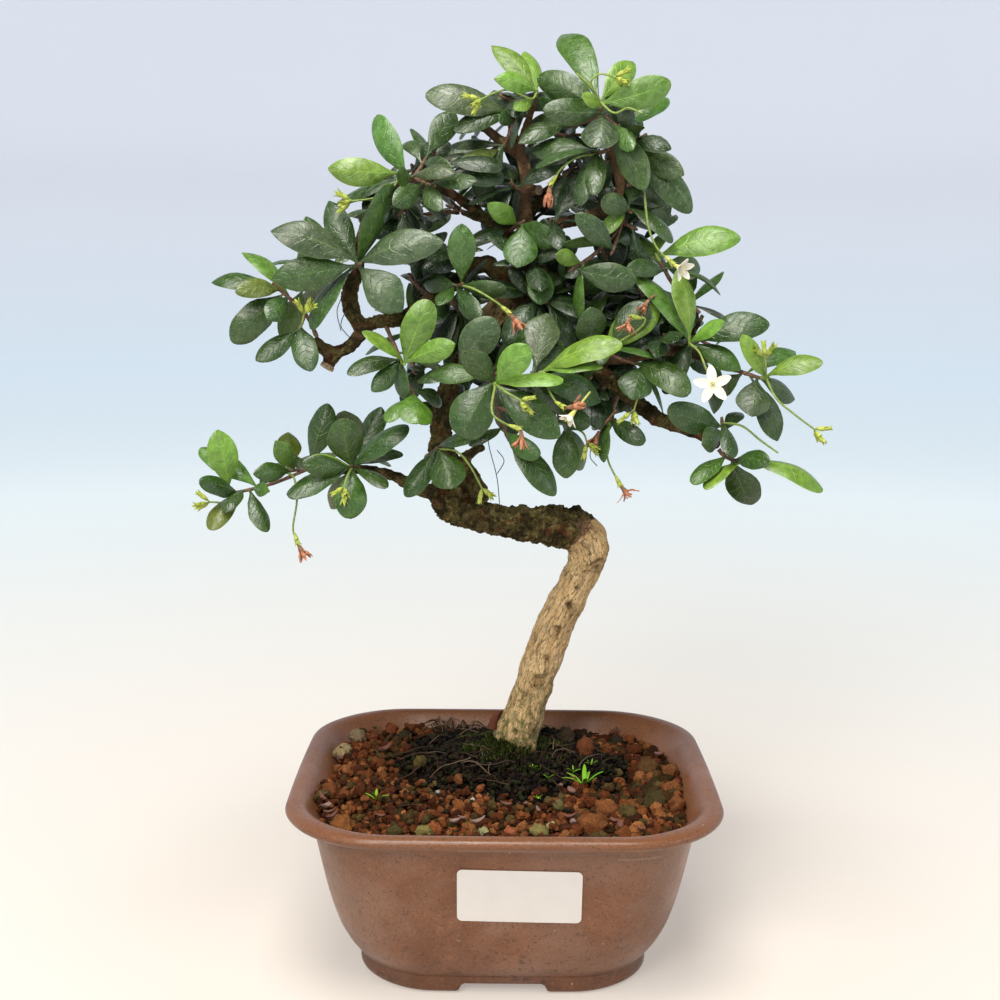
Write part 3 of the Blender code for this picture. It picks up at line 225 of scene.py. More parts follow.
def loft(rings):
    """Points and faces of a closed solid: rings of equal length joined in order, with both ends capped."""
    count = len(rings[0])
    points = [point for ring in rings for point in ring]
    faces = []
    for row in range(len(rings) - 1):
        for column in range(count):
            a = row * count + column
            b = row * count + (column + 1) % count
            c = (row + 1) * count + (column + 1) % count
            d = (row + 1) * count + column
            faces.append((a, b, c, d))
    faces.append(tuple(range(count))[::-1])
    faces.append(tuple(range((len(rings) - 1) * count, len(rings) * count)))
    return points, faces


def squared(normal, along):
    """The part of one direction that is square to another, at length one."""
    return (normal - along * normal.dot(along)).normalized()


def smooth_route(route, spans):
    """Points and radii on a smooth curve through (point, radius) pairs."""
    rows = np.array([(*point, radius) for point, radius in route], float)
    ends = np.vstack([2 * rows[0] - rows[1], rows, 2 * rows[-1] - rows[-2]])
    made = []
    for index in range(1, len(ends) - 2):
        before, first, second, after = ends[index - 1:index + 3]
        for step in range(spans):
            t = step / spans
            value = 0.5 * (
                2 * first + (second - before) * t
                + (2 * before - 5 * first + 4 * second - after) * t ** 2
                + (3 * first - before - 3 * second + after) * t ** 3
            )
            made.append((Vector(value[:3]), float(max(value[3], 0.00005))))
    made.append((Vector(rows[-1][:3]), float(rows[-1][3])))
    return made


def tube(route, sides, lump=0.0, swell=0.0):
    """A closed tube along (point, radius) pairs, with lumps by smooth noise."""
    rings = []
    normal = None
    for index, (point, radius) in enumerate(route):
        before = route[max(index - 1, 0)][0]
        after = route[min(index + 1, len(route) - 1)][0]
        along = (after - before).normalized()
        if normal is None:
            normal = along.orthogonal().normalized()
        normal = squared(normal, along)
        across = along.cross(normal)
        ring = []
        for side in range(sides):
            angle = 2 * math.pi * side / sides
            out = normal * math.cos(angle) + across * math.sin(angle)
            spot = point + out * radius
            grow = 1 + lump * noise.noise(spot * 180) + swell * noise.noise(spot * 70)
            ring.append(point + out * radius * grow)
        rings.append(ring)
    return loft(rings)


class Batch:
    """Many small solids gathered for one piece, each with a finish and values at its points."""

    def __init__(self):
        self.points = []
        self.faces = []
        self.kinds = []
        self.tones = []
        self.places = []

    def add(self, points, faces, kind=0, tone=(0.5, 0.5, 0.5), places=None):
        start = len(self.points)
        self.points.extend(tuple(point) for point in points)
        self.faces.extend(tuple(start + index for index in face) for face in faces)
        self.kinds.extend([kind] * len(faces))
        self.tones.extend([(*tone, 1.0)] * len(points))
        self.places.extend(places if places is not None else [(0.0, 0.0, 0.0)] * len(points))


# Edges that turn more than this stay crisp, like the rim of a leaf between its two sides
SHARP_EDGE = math.radians(80)


def build(name, points, faces, finishes, kinds=None, smooth=True):
    """An object from points counted from the pot's middle."""
    mesh = bpy.data.meshes.new(name)
    mesh.from_pydata([tuple(point) for point in points], [], faces)
    mesh.transform(Matrix.Translation(POT_MIDDLE))
    for item in finishes:
        mesh.materials.append(item)
    if kinds is not None:
        mesh.polygons.foreach_set("material_index", kinds)
    mesh.update()
    if smooth:
        mesh.shade_smooth()
        mesh.set_sharp_from_angle(angle=SHARP_EDGE)
    made = bpy.data.objects.new(name, mesh)
    bpy.context.scene.collection.objects.link(made)
    return made


def carry(made, name, kind, values):
    """Stores values at the points of a mesh, for its material to read."""
    field = {"FLOAT_VECTOR": "vector", "FLOAT_COLOR": "color"}[kind]
    attribute = made.data.attributes.new(name, kind, "POINT")
    attribute.data.foreach_set(field, np.asarray(values, np.float32).ravel())


def build_batch(name, batch, finishes):
    made = build(name, batch.points, batch.faces, finishes, batch.kinds)
    carry(made, "tone", "FLOAT_COLOR", batch.tones)
    carry(made, "leaf_place", "FLOAT_VECTOR", batch.places)
    return made


def seat(made, slot, *nodes):
    """The piece rides on the tree's body and stands for the plain nodes, if it is given any."""
    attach(made, "root")
    if nodes:
        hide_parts(*nodes)
    triangles = sum(len(polygon.vertices) - 2 for polygon in made.data.polygons)
    print(made.name, "has", triangles, "triangles")

# %% [markdown]
# ## Floor, backdrop and light
#
# A wide bowl gives a floor that turns up into a wall with no edge, so every side view has the same
# calm ground. Its colour goes from warm white near the pot to a pale grey blue far away. The bowl
# glows a little, as a lit studio paper does, so the far wall needs no lamps of its own. The light on
# the tree is a large soft lamp in front and above, a weaker one on the other side, and a wide one
# overhead that draws the pale sheen on the leaves.

# %% Studio
BOWL = [(0.0, 0.0), (0.7, 0.0), (1.5, 0.0), (2.0, 0.02), (2.4, 0.12), (2.7, 0.36), (2.85, 0.8), (2.9, 2.6)]
BOWL_SIDES = 64
# Colours of the paper at distances from the pot, in metres along the floor and up the wall
PAPER_TONES = [(0.12, (0.45, 0.41, 0.37)), (0.45, (0.48, 0.475, 0.455)), (1.1, (0.55, 0.61, 0.63)),
               (2.3, (0.50, 0.58, 0.64)), (3.2, (0.50, 0.52, 0.57))]
PAPER_REACH = 3.2
PAPER_GLOW = 0.80
PAPER_GRAIN = colour(0.8, 0.8, 0.8)
# Each lamp: where it hangs, the height that it aims at, its size, its power and its tint
LAMPS = {"front_lamp": ((-0.45, -1.15, 0.95), 0.16, 0.55, 14.0, (1.0, 0.95, 0.87)),
         "side_lamp": ((1.15, -0.75, 0.65), 0.16, 0.5, 3.0, (1.0, 0.98, 0.94)),
         "top_lamp": ((-0.10, -0.40, 1.20), 0.15, 0.6, 16.0, (1.0, 0.98, 0.93))}
SKY_TINT = colour(1.0, 0.98, 0.94)
SKY_STRENGTH = 0.05


def studio_finish():
    made, tree, shader, where = finish("studio_paint", 0.95, Specular_IOR_Level=0.1)
    parts = add(tree, "SeparateXYZ", {"Vector": where})
    flat = add(tree, "CombineXYZ", {"X": parts.outputs["X"], "Y": parts.outputs["Y"]})
    away = add(tree, "VectorMath", {0: flat.outputs["Vector"]}, operation="LENGTH").outputs["Value"]
    reach = counted(tree, "ADD", away, parts.outputs["Z"])
    scale = add(tree, "ValToRGB", {"Fac": ramp(tree, reach, 0.0, PAPER_REACH)})
    stops = scale.color_ramp.elements
    while len(stops) < len(PAPER_TONES):
        stops.new(0.5)
    for stop, (distance, tone) in zip(stops, PAPER_TONES):
        stop.position = distance / PAPER_REACH
        stop.color = (*tone, 1.0)
    grain = spots(tree, where, 6.0, 3.0)
    tint = laid(tree, scale.outputs["Color"], grain, 0.03, PAPER_GRAIN)
    paint(tree, shader, tint)
    tree.links.new(tint, shader.inputs["Emission Color"])
    front = ramp(tree, parts.outputs["Y"], -0.5, -1.8)
    tree.links.new(spread_out(tree, front, PAPER_GLOW, PAPER_GLOW * 0.25), shader.inputs["Emission Strength"])
    made.cycles.emission_sampling = "NONE"
    return made


def make_bowl():
    route = smooth_route([(Vector((radius, 0, height)), 1.0) for radius, height in BOWL], 6)
    rings = []
    for point, _ in route:
        turns = [2 * math.pi * side / BOWL_SIDES for side in range(BOWL_SIDES)]
        radius = max(point.x, 0.001)
        height = max(point.z, 0.0) - 0.0003
        rings.append([Vector((radius * math.cos(t), radius * math.sin(t), height)) for t in turns])
    points, faces = loft(rings)
    return build("studio_bowl", points, faces[:-1], [studio_finish()])


def lamp(name, place_of, aim, size, power, tint):
    light = bpy.data.lights.new(name, "AREA")
    light.size = size
    light.energy = power
    light.color = tint
    made = bpy.data.objects.new(name, light)
    made.location = Vector(place_of)
    made.rotation_euler = (Vector(aim) - Vector(place_of)).to_track_quat("-Z", "Y").to_euler()
    bpy.context.scene.collection.objects.link(made)


make_bowl()
for name, (place, height, size, power, tint) in LAMPS.items():
    lamp(name, place, (0, 0, height), size, power, tint)
sky = bpy.data.worlds.new("studio_sky")
sky.use_nodes = True
sky.node_tree.nodes["Background"].inputs["Color"].default_value = SKY_TINT
sky.node_tree.nodes["Background"].inputs["Strength"].default_value = SKY_STRENGTH
bpy.context.scene.world = sky
bpy.context.scene.view_settings.view_transform = "Standard"

# %% [markdown]
# ## The pot
#
# The pot is cast stoneware: a flared rolled rim, bellied walls, and a base skirt that stands on four
# corners because each side is cut away a little in the middle. A rounded rectangle is drawn at many
# heights and the rings are lofted, which keeps the corners soft. The cut in the skirt is made by
# lifting the lowest rings, so its edge comes out rounded as a glazed edge is.

# %% Pot
RIM_WIDTH = 0.150
RIM_DEPTH = 0.140
POT_HEIGHT = 0.0665
CORNER_RADIUS = 0.034
SIDE_BOW = 0.0019
FRONT_BOW = 0.0010
WALL_INSET = 0.0086
WALL_TOP = 0.058
WALL_THICK = 0.0030
BASE_INSET = 0.0243
BASE_RISE = 0.0065
FOOT_WIDTH = 0.009
FOOT_NOTCH = 0.0300
NOTCH_EDGE = 0.0010
NOTCH_RISE = 0.0031
FLOOR_UNDER = 0.006
FLOOR_TOP = 0.012
LIP_INSIDE = 0.0642
# The rolled lip from outside to inside: distance in from the rim, and height
LIP = [(0.0076, 0.0600), (0.0042, 0.0611), (0.0018, 0.0620), (0.0005, 0.0632), (0.0, 0.0646),
       (0.0007, 0.0658), (0.0022, 0.0664), (0.0040, POT_HEIGHT), (0.0056, 0.0658)]
# Heights of the rings down the inner wall
INNER_LEVELS = (LIP_INSIDE, 0.0620, 0.0598, 0.0575, 0.052, 0.046, 0.040, 0.033, 0.027, 0.022, 0.018)
DRAIN_RADIUS = 0.006
DRAIN_SPACING = 0.038


def wall_inset(height):
    """How far the pot's outer wall stands in from the rim, at a height."""
    below = min(max((WALL_TOP - height) / (WALL_TOP - BASE_RISE), 0.0), 1.0)
    return WALL_INSET + (BASE_INSET - WALL_INSET) * (0.62 * below + 0.38 * below ** 5)


def inner_inset(height):
    """The same for the inner wall, which flares out above to meet the lip."""
    flare = max((height - WALL_TOP) / (LIP_INSIDE - WALL_TOP), 0.0)
    return wall_inset(height) + WALL_THICK - 0.0044 * min(flare, 1.0)


def rounded_ring(inset, height, per_corner, straight):
    """Points of a rounded rectangle inside the rim, at a height, anticlockwise, with bowed sides."""
    half_x = RIM_WIDTH / 2 - inset
    half_y = RIM_DEPTH / 2 - inset
    radius = max(CORNER_RADIUS - inset * 0.35, 0.010)
    points = []
    for corner in range(4):
        sign_x = 1 if corner in (0, 3) else -1
        sign_y = 1 if corner in (0, 1) else -1
        middle = Vector((sign_x * (half_x - radius), sign_y * (half_y - radius), height))
        for step in range(per_corner + 1):
            angle = math.radians(90) * (corner + step / per_corner)
            points.append(middle + Vector((math.cos(angle), math.sin(angle), 0)) * radius)
        last = points[-1]
        next_x = half_x - radius if corner in (2, 3) else -(half_x - radius)
        next_y = half_y - radius if corner in (0, 3) else -(half_y - radius)
        following = Vector((
            next_x if corner in (0, 2) else last.x,
            next_y if corner in (1, 3) else last.y,
            height,
        ))
        for step in range(1, straight):
            points.append(last.lerp(following, step / straight))
    for point in points:
        along_x = min(abs(point.x) / half_x, 1.0)
        along_y = min(abs(point.y) / half_y, 1.0)
        point.x += math.copysign(SIDE_BOW * (1 - along_y ** 2) * along_x ** 2, point.x)
        point.y += math.copysign(FRONT_BOW * (1 - along_x ** 2) * along_y ** 2, point.y)
    return points


def notch_lift(point):
    """How far the skirt is cut away above the table, near the middle of each side."""
    reach = min(abs(point.x), abs(point.y))
    share = min(max((FOOT_NOTCH / 2 + NOTCH_EDGE - reach) / (2 * NOTCH_EDGE), 0.0), 1.0)
    return NOTCH_RISE * share * share * (3 - 2 * share)


def pot_profile():
    """Distance in from the rim and height, from the foot up the wall, over the lip and down inside."""
    under = BASE_INSET + 0.0012 + FOOT_WIDTH
    base = [(under + 0.001, FLOOR_UNDER), (under + 0.0004, 0.0014), (under - 0.0012, 0.0)]
    base += [(BASE_INSET + 0.0034, 0.0), (BASE_INSET + 0.0011, 0.0004), (BASE_INSET + 0.0003, 0.0016)]
    base += [(BASE_INSET + 0.0003, 0.0036), (BASE_INSET + 0.0006, 0.0052), (BASE_INSET + 0.0004, 0.0062)]
    wall = []
    for step in range(16):
        height = BASE_RISE + (WALL_TOP - 0.0005 - BASE_RISE) * (step / 15) ** 1.5
        wall.append((wall_inset(height), height))
    inner = [(inner_inset(height), height) for height in INNER_LEVELS]
    floor = BASE_INSET + 0.010
    inner += [(floor - 0.0030, FLOOR_TOP + 0.0010), (floor, FLOOR_TOP), (floor + 0.006, FLOOR_TOP)]
    return base + wall + LIP + inner


def pot_rings():
    route = smooth_route([(Vector((inset, 0, height)), 1.0) for inset, height in pot_profile()], 2)
    skirt_back = BASE_INSET + 0.0018 + FOOT_WIDTH
    rings = []
    for point, _ in route:
        height = min(max(point.z, 0.0), POT_HEIGHT)
        ring = rounded_ring(max(point.x, 0.0), height, per_corner=16, straight=44)
        for spot in ring:
            if spot.z < BASE_RISE and point.x < skirt_back:
                spot.z += notch_lift(spot) * (1 - spot.z / BASE_RISE)
        rings.append(ring)
    return rings


def cut_drains(pot):
    """Two drain holes through the floor, cut with a Boolean."""
    for side in (-1, 1):
        turns = [2 * math.pi * step / 24 for step in range(24)]
        rings = [
            [Vector((side * DRAIN_SPACING / 2 + DRAIN_RADIUS * math.cos(t), DRAIN_RADIUS * math.sin(t), z))
             for t in turns]
            for z in (0.002, 0.022)
        ]
        cutter = build("drain_cutter", *loft(rings), [], smooth=False)
        difference = pot.modifiers.new("drain", "BOOLEAN")
        difference.operation = "DIFFERENCE"
        difference.object = cutter
        graph = bpy.context.evaluated_depsgraph_get()
        settled = bpy.data.meshes.new_from_object(pot.evaluated_get(graph))
        pot.modifiers.clear()
        pot.data = settled
        bpy.data.objects.remove(cutter, do_unlink=True)

# %% [markdown]
# The glaze is a satin brown. It breaks to a warmer, shinier brown where it runs thin on the rim, and
# it carries fine dark specks and a few lighter clouds, which are partly haze in the glaze and partly
# painted sheen. All of that is noise in the object's own space, and the rim's tone follows the
# height, as does a painted shade that darkens the skirt under the belly.

# %% Glaze
GLAZE_BODY = colour(0.212, 0.086, 0.040)
GLAZE_DEEP = colour(0.142, 0.052, 0.020)
GLAZE_RIM = colour(0.162, 0.062, 0.025)
GLAZE_THIN = colour(0.360, 0.175, 0.085)
GLAZE_SPECK = colour(0.040, 0.022, 0.016)
GLAZE_HAZE_AND_SHEEN = colour(0.215, 0.125, 0.085)
GLAZE_DUST = colour(0.62, 0.52, 0.42)
GLAZE_SCRATCH = colour(0.5, 0.42, 0.36)
# Heights between which a tone comes in: the painted shade on the skirt under the belly, the foot's edge, the
# rim, the blots
SKIRT_PAINTED_SHADE = (0.0115, 0.0045)
FOOT_SHADE = (0.0020, 0.0)
RIM_SHADE = (0.0585, 0.0655)
BLOT_HEIGHTS = (0.040, 0.010)
SCRATCH_LEFT = seen_at(617, 859, -0.061)
SCRATCH_RIGHT = seen_at(662, 863, -0.061)
SCRATCH_HALF = 0.00014


def scratch_share(tree, where):
    """1 on a hairline across the right of the front wall, 0 elsewhere."""
    parts = add(tree, "SeparateXYZ", {"Vector": where}).outputs
    left = POT_MIDDLE + SCRATCH_LEFT
    right = POT_MIDDLE + SCRATCH_RIGHT
    slope = (right.z - left.z) / (right.x - left.x)
    line = counted(tree, "ADD", times(tree, parts["X"], slope), left.z - left.x * slope)
    off = counted(tree, "ABSOLUTE", counted(tree, "SUBTRACT", parts["Z"], line), 0.0)
    near = ramp(tree, off, SCRATCH_HALF, 0.0)
    inside = counted(tree, "LESS_THAN", parts["Y"], POT_MIDDLE.y - 0.04)
    for edge, way in ((left.x, "GREATER_THAN"), (right.x, "LESS_THAN")):
        inside = times(tree, inside, counted(tree, way, parts["X"], edge))
    return times(tree, near, inside)


def glaze_finish():
    made, tree, shader, where = finish("pot_glaze", 0.34, Specular_IOR_Level=0.42)
    height = add(tree, "SeparateXYZ", {"Vector": where}).outputs["Z"]
    clouds = ramp(tree, spots(tree, where, 55.0, 5.0, 0.62), 0.34, 0.66)
    body = mixed(tree, clouds, GLAZE_DEEP, GLAZE_BODY)
    # Lighter clouds at random places: partly haze in the glaze, partly painted sheen
    body = laid(tree, body, ramp(tree, spots(tree, where, 34.0, 2.0), 0.45, 0.62), 0.45, GLAZE_HAZE_AND_SHEEN)
    # Painted shade: the skirt under the belly is darkened towards the table
    body = laid(tree, body, ramp(tree, height, *SKIRT_PAINTED_SHADE), 0.40, GLAZE_DEEP, "MULTIPLY")
    body = laid(tree, body, ramp(tree, height, *FOOT_SHADE), 0.8, GLAZE_RIM)
    body = laid(tree, body, ramp(tree, height, *RIM_SHADE), 0.85, GLAZE_RIM)
    blots = ramp(tree, spots(tree, where, 420.0, 3.0, 0.6), 0.56, 0.66)
    low = counted(tree, "ADD", ramp(tree, height, *BLOT_HEIGHTS), 0.25)
    body = laid(tree, body, times(tree, blots, low), 0.55, GLAZE_SPECK)
    body = laid(tree, body, ramp(tree, spots(tree, where, 1300.0, 2.0, 0.6), 0.59, 0.66), 0.7, GLAZE_SPECK)
    body = laid(tree, body, ramp(tree, spots(tree, where, 900.0, 3.0, 0.6), 0.57, 0.72), 0.34, GLAZE_THIN)
    body = laid(tree, body, ramp(tree, cells(tree, where, 130.0), 0.045, 0.020), 0.55, GLAZE_DUST)
    body = laid(tree, body, scratch_share(tree, where), 0.6, GLAZE_SCRATCH)
    paint(tree, shader, body)
    tree.links.new(spread_out(tree, clouds, 0.46, 0.30), shader.inputs["Roughness"])
    grain = counted(tree, "ADD", spots(tree, where, 900.0, 3.0), times(tree, clouds, 0.6))
    bump(tree, shader, grain, 0.22, 0.0003)
    return made


POT_CRISP = math.radians(50)
GLAZE = glaze_finish()
pot = build("stoneware_pot", *loft(pot_rings()), [GLAZE])
cut_drains(pot)
pot.data.shade_smooth()
pot.data.set_sharp_from_angle(angle=POT_CRISP)
seat(pot, "pot_glaze", "pot")

# %% [markdown]
# ## The label
#
# A paper sticker sits on the front wall. It is left blank. It is a thin sheet with rounded corners
# that follows the belly of the wall, so it is drawn row by row at the wall's own slope.

# %% Label
LABEL_WIDTH = 0.042
LABEL_RISE = 0.0200
LABEL_TOP = 0.0522
LABEL_ASIDE = 0.0052
LABEL_TILT = math.radians(1.0)
LABEL_CORNER = 0.0018
LABEL_CRISP = math.radians(40)
PAPER = 0.00022
PAPER_OFF = 0.00022


def label_sheet():
    rows = 26
    columns = 12
    rings = []
    for row in range(rows + 1):
        share = 0.5 - 0.5 * math.cos(math.pi * row / rows)
        down = LABEL_RISE * share
        near_edge = LABEL_CORNER - min(down, LABEL_RISE - down, LABEL_CORNER)
        half = LABEL_WIDTH / 2 - LABEL_CORNER + math.sqrt(max(LABEL_CORNER ** 2 - near_edge ** 2, 0.0))
        back = []
        for column in range(columns + 1):
            aside = -half + 2 * half * column / columns
            x = LABEL_ASIDE + aside
            height = LABEL_TOP - down - aside * math.tan(LABEL_TILT)
            bow = FRONT_BOW * (1 - (x / (RIM_WIDTH / 2 - wall_inset(height))) ** 2)
            back.append(Vector((x, -(RIM_DEPTH / 2 - wall_inset(height)) - bow - PAPER_OFF, height)))
        front = [point - Vector((0, PAPER, 0)) for point in reversed(back)]
        rings.append(back + front)
    return loft(rings)


LABEL_SHADE = colour(0.64, 0.60, 0.57)
LABEL_LIGHT = colour(0.70, 0.66, 0.63)


def paper_finish():
    made, tree, shader, where = finish("label_paper", 0.55)
    paint(tree, shader, mixed(tree, spots(tree, where, 160.0), LABEL_SHADE, LABEL_LIGHT))
    bump(tree, shader, spots(tree, where, 3500.0, 4.0), 0.12, 0.0001)
    return made


label = build("blank_label", *label_sheet(), [paper_finish()])
label.data.set_sharp_from_angle(angle=LABEL_CRISP)
seat(label, "label_paper", "label")

# %% [markdown]
# ## The clay granules
#
# Round the roots lies loose red-brown clay, in baked lumps of two to five millimetres. A handful of
# lumpy shapes is made once from a ball whose points are pushed about by noise. Each granule is one
# of them, turned and scaled at random, and set on a jittered grid in three layers.

# %% Granule shapes
SOIL_LEVEL = 0.0585
MOUND_TOP = 0.068
# Where the soil is heaped against the wall: place, reach and height of each heap
HEAPS = [((-0.070, -0.018), 0.018, 0.0046), ((-0.048, 0.044), 0.034, 0.0036), ((0.020, 0.060), 0.030, 0.0016),
         ((0.068, -0.004), 0.016, 0.0020)]
TRUNK_DEPTH = 0.017
MOUND_RADIUS = 0.041
MOUND_STRETCH = 1.20
MOUND_RISE = 1.06
SOIL_SWELL = 0.0011
CLEAR_OF_WALL = 0.0025
TRUNK_FOOT = seen_at(513, 752, TRUNK_DEPTH)


def ball_shape(steps):
    shape = bmesh.new()
    bmesh.ops.create_icosphere(shape, subdivisions=steps, radius=1.0)
    points = np.array([vert.co[:] for vert in shape.verts])
    faces = [tuple(vert.index for vert in face.verts) for face in shape.faces]
    shape.free()
    return points, faces


def lumpy_shapes(steps, count, draw):
    """Several uneven lumps made from one ball."""
    points, faces = ball_shape(steps)
    shapes = []
    for _ in range(count):
        offset = Vector((draw.uniform(0, 50), draw.uniform(0, 50), draw.uniform(0, 50)))
        made = []
        for point in points:
            spot = Vector(point)
            grow = 1 + 0.34 * noise.noise(spot * 1.3 + offset) + 0.30 * noise.noise(spot * 3.1 + offset)
            grow += 0.16 * noise.noise(spot * 6.3 + offset)
            made.append(point * grow)
        shapes.append((np.array(made), faces))
    return shapes


def turned(draw):
    """A random rotation, as a numpy matrix."""
    axis = Vector((draw.gauss(0, 1), draw.gauss(0, 1), draw.gauss(0, 1))).normalized()
    return np.array(Matrix.Rotation(draw.uniform(0, math.tau), 3, axis))


def set_lump(batch, shapes, draw, middle, size, tone):
    """One granule of a random shape, turned and stretched, at a place."""
    points, faces = shapes[draw.randrange(len(shapes))]
    stretch = np.array([draw.uniform(0.8, 1.2), draw.uniform(0.8, 1.2), draw.uniform(0.7, 1.0)])
    placed = (points * stretch * (size / 2)) @ turned(draw).T + np.array(middle)
    batch.add(placed, faces, tone=tone)


def soil_margin(x, y):
    """How far a place lies inside the pot's inner wall at the soil's level there."""
    inset = inner_inset(soil_height(x, y)) + 0.0002
    radius = CORNER_RADIUS - inset * 0.35
    half_x = RIM_WIDTH / 2 - inset
    half_y = RIM_DEPTH / 2 - inset
    bowed_x = abs(x) - SIDE_BOW * (1 - min(abs(y) / half_y, 1.0) ** 2)
    bowed_y = abs(y) - FRONT_BOW * (1 - min(abs(x) / half_x, 1.0) ** 2)
    over_x = bowed_x - (half_x - radius)
    over_y = bowed_y - (half_y - radius)
    if over_x > 0 and over_y > 0:
        return radius - math.hypot(over_x, over_y)
    return radius - max(over_x, over_y)


def mound_share(x, y):
    """From 0 at the edge of the dark mound to 1 at the trunk, with an uneven edge."""
    away = math.hypot((x - TRUNK_FOOT.x) / MOUND_STRETCH, y - TRUNK_FOOT.y)
    ragged = 1 + 0.30 * noise.noise(Vector((x, y, 0.0)) * 55)
    return min(max(1 - away / (MOUND_RADIUS * ragged), 0.0), 1.0)


def soil_height(x, y):
    share = mound_share(x, y)
    height = SOIL_LEVEL + SOIL_SWELL * noise.noise(Vector((x, y, 0.3)) * 60)
    for (middle_x, middle_y), reach, rise in HEAPS:
        height += rise * math.exp(-((x - middle_x) ** 2 + (y - middle_y) ** 2) / reach ** 2)
    return height + (MOUND_TOP - SOIL_LEVEL) * MOUND_RISE * share * (2 - share)


def on_soil(column, row, lift=0.0):
    """The place on the soil that shows at a pixel, kept clear of the pot's wall."""
    spot = seen_on_level(column, row, SOIL_LEVEL + lift)
    for _ in range(4):
        spot = seen_on_level(column, row, soil_height(spot.x, spot.y) + lift)
    while soil_margin(spot.x, spot.y) < CLEAR_OF_WALL:
        spot = Vector((spot.x * 0.985, spot.y * 0.985, 0.0))
    return Vector((spot.x, spot.y, soil_height(spot.x, spot.y)))

# %% Granules
FIRED_TONES = [(0.250, 0.078, 0.024), (0.190, 0.054, 0.016), (0.125, 0.034, 0.011), (0.330, 0.125, 0.042),
               (0.070, 0.021, 0.008)]
DULL_TONES = [(0.090, 0.050, 0.016), (0.070, 0.046, 0.014), (0.045, 0.024, 0.010), (0.130, 0.090, 0.030)]
GRANULE_SEED = 21
GRANULE_PITCH = 0.0025
GRANULE_JITTER = 0.0010
# Right of this the granules are coarser, by this much, and more of them are dull
RIGHT_SIDE = 0.02
COARSER = 1.28
# Each layer: its height over the soil's level, the share of places filled, and the usual size
SURFACE_LAYERS = [(-0.0021, 0.94, 0.0029), (0.0000, 0.66, 0.0025), (0.0009, 0.10, 0.0031)]
GRANULE_SIZES = (0.62, 0.75, 0.85, 0.95, 1.0, 1.1, 1.25, 1.45)


def granule_tone(draw, x, y):
    """Fired red-brown mostly; olive and duller in patches where algae grows, more so on the right."""
    patch = noise.noise(Vector((x, y, 1.7)) * 48)
    dull = draw.random() < 0.20 + 0.10 * (x > RIGHT_SIDE) + 0.45 * patch
    shade = draw.uniform(0.62, 1.25)
    return tuple(value * shade for value in draw.choice(DULL_TONES if dull else FIRED_TONES))


def make_granules(level, chance, size, seed):
    """One layer of granules over the whole soil, thinned out on the dark mound."""
    draw = random.Random(seed)
    shapes = lumpy_shapes(2, 14, draw)
    batch = Batch()
    rows = int(RIM_DEPTH / GRANULE_PITCH)
    columns = int(RIM_WIDTH / GRANULE_PITCH)
    for row in range(-rows // 2, rows // 2 + 1):
        for column in range(-columns // 2, columns // 2 + 1):
            x = (column + 0.5 * (row % 2)) * GRANULE_PITCH + draw.uniform(-GRANULE_JITTER, GRANULE_JITTER)
            y = row * GRANULE_PITCH * 0.9 + draw.uniform(-GRANULE_JITTER, GRANULE_JITTER)
            wide = size * draw.choice(GRANULE_SIZES) * (COARSER if x > RIGHT_SIDE else 1.0)
            share = mound_share(x, y)
            if draw.random() > chance or soil_margin(x, y) < wide * 0.40:
                continue
            if draw.random() < share * 5.0 - 0.20:
                continue
            height = soil_height(x, y) + level + draw.uniform(-0.0006, 0.0009)
            set_lump(batch, shapes, draw, (x, y, height), wide, granule_tone(draw, x, y))
    return batch


CLAY_SHADOW = colour(0.014, 0.006, 0.003)


def granule_finish():
    made, tree, shader, where = finish("baked_clay", 0.95, Specular_IOR_Level=0.08)
    tone = stored(tree, "tone").outputs["Color"]
    fine = ramp(tree, spots(tree, where, 1400.0, 5.0, 0.7), 0.34, 0.68)
    damp = ramp(tree, spots(tree, where, 60.0, 2.0), 0.42, 0.60)
    dark = mixed(tree, 0.72, tone, CLAY_SHADOW)
    body = mixed(tree, fine, dark, tone)
    paint(tree, shader, laid(tree, body, damp, 0.30, dark))
    bump(tree, shader, spots(tree, where, 1500.0, 6.0, 0.75), 0.9, 0.0006)
    return made


CLAY = granule_finish()
LAYER_NAMES = ("clay_granules_under", "clay_granules_top", "clay_granules_loose")
for index, layer in enumerate(SURFACE_LAYERS):
    granules = build_batch(LAYER_NAMES[index], make_granules(*layer, GRANULE_SEED + index), [CLAY])
    granules.data.shade_flat()
    seat(granules, "akadama", *(["akadama_granules"] if index == 0 else []))

# %% [markdown]
# Below the lumps the eye meets dark soil, not a hole. A plain sheet just under the granules, with
# the same swells, closes the gaps between them. Its near-black is the real humus on the mound, and
# painted shade in the gaps between the granules elsewhere.

# %% Soil bed
BED_DEPTH = 0.0026


def bed_sheet():
    """The soil's surface as rings that shrink towards the trunk, closed underneath."""
    edge = rounded_ring(inner_inset(SOIL_LEVEL) + 0.0003, SOIL_LEVEL, per_corner=10, straight=16)
    middle = Vector((TRUNK_FOOT.x, TRUNK_FOOT.y, SOIL_LEVEL))
    rings = [[Vector((*(point * 0.995).xy, SOIL_LEVEL - 0.012)) for point in edge]]
    for step in range(22):
        ring = []
        for point in edge:
            spot = point.lerp(middle, step / 22)
            ring.append(Vector((spot.x, spot.y, soil_height(spot.x, spot.y) - BED_DEPTH)))
        rings.append(ring)
    return loft(rings)


HUMUS_DARK = colour(0.004, 0.003, 0.002)
HUMUS_LIGHT = colour(0.026, 0.016, 0.010)
HUMUS_GREEN = colour(0.022, 0.034, 0.008)


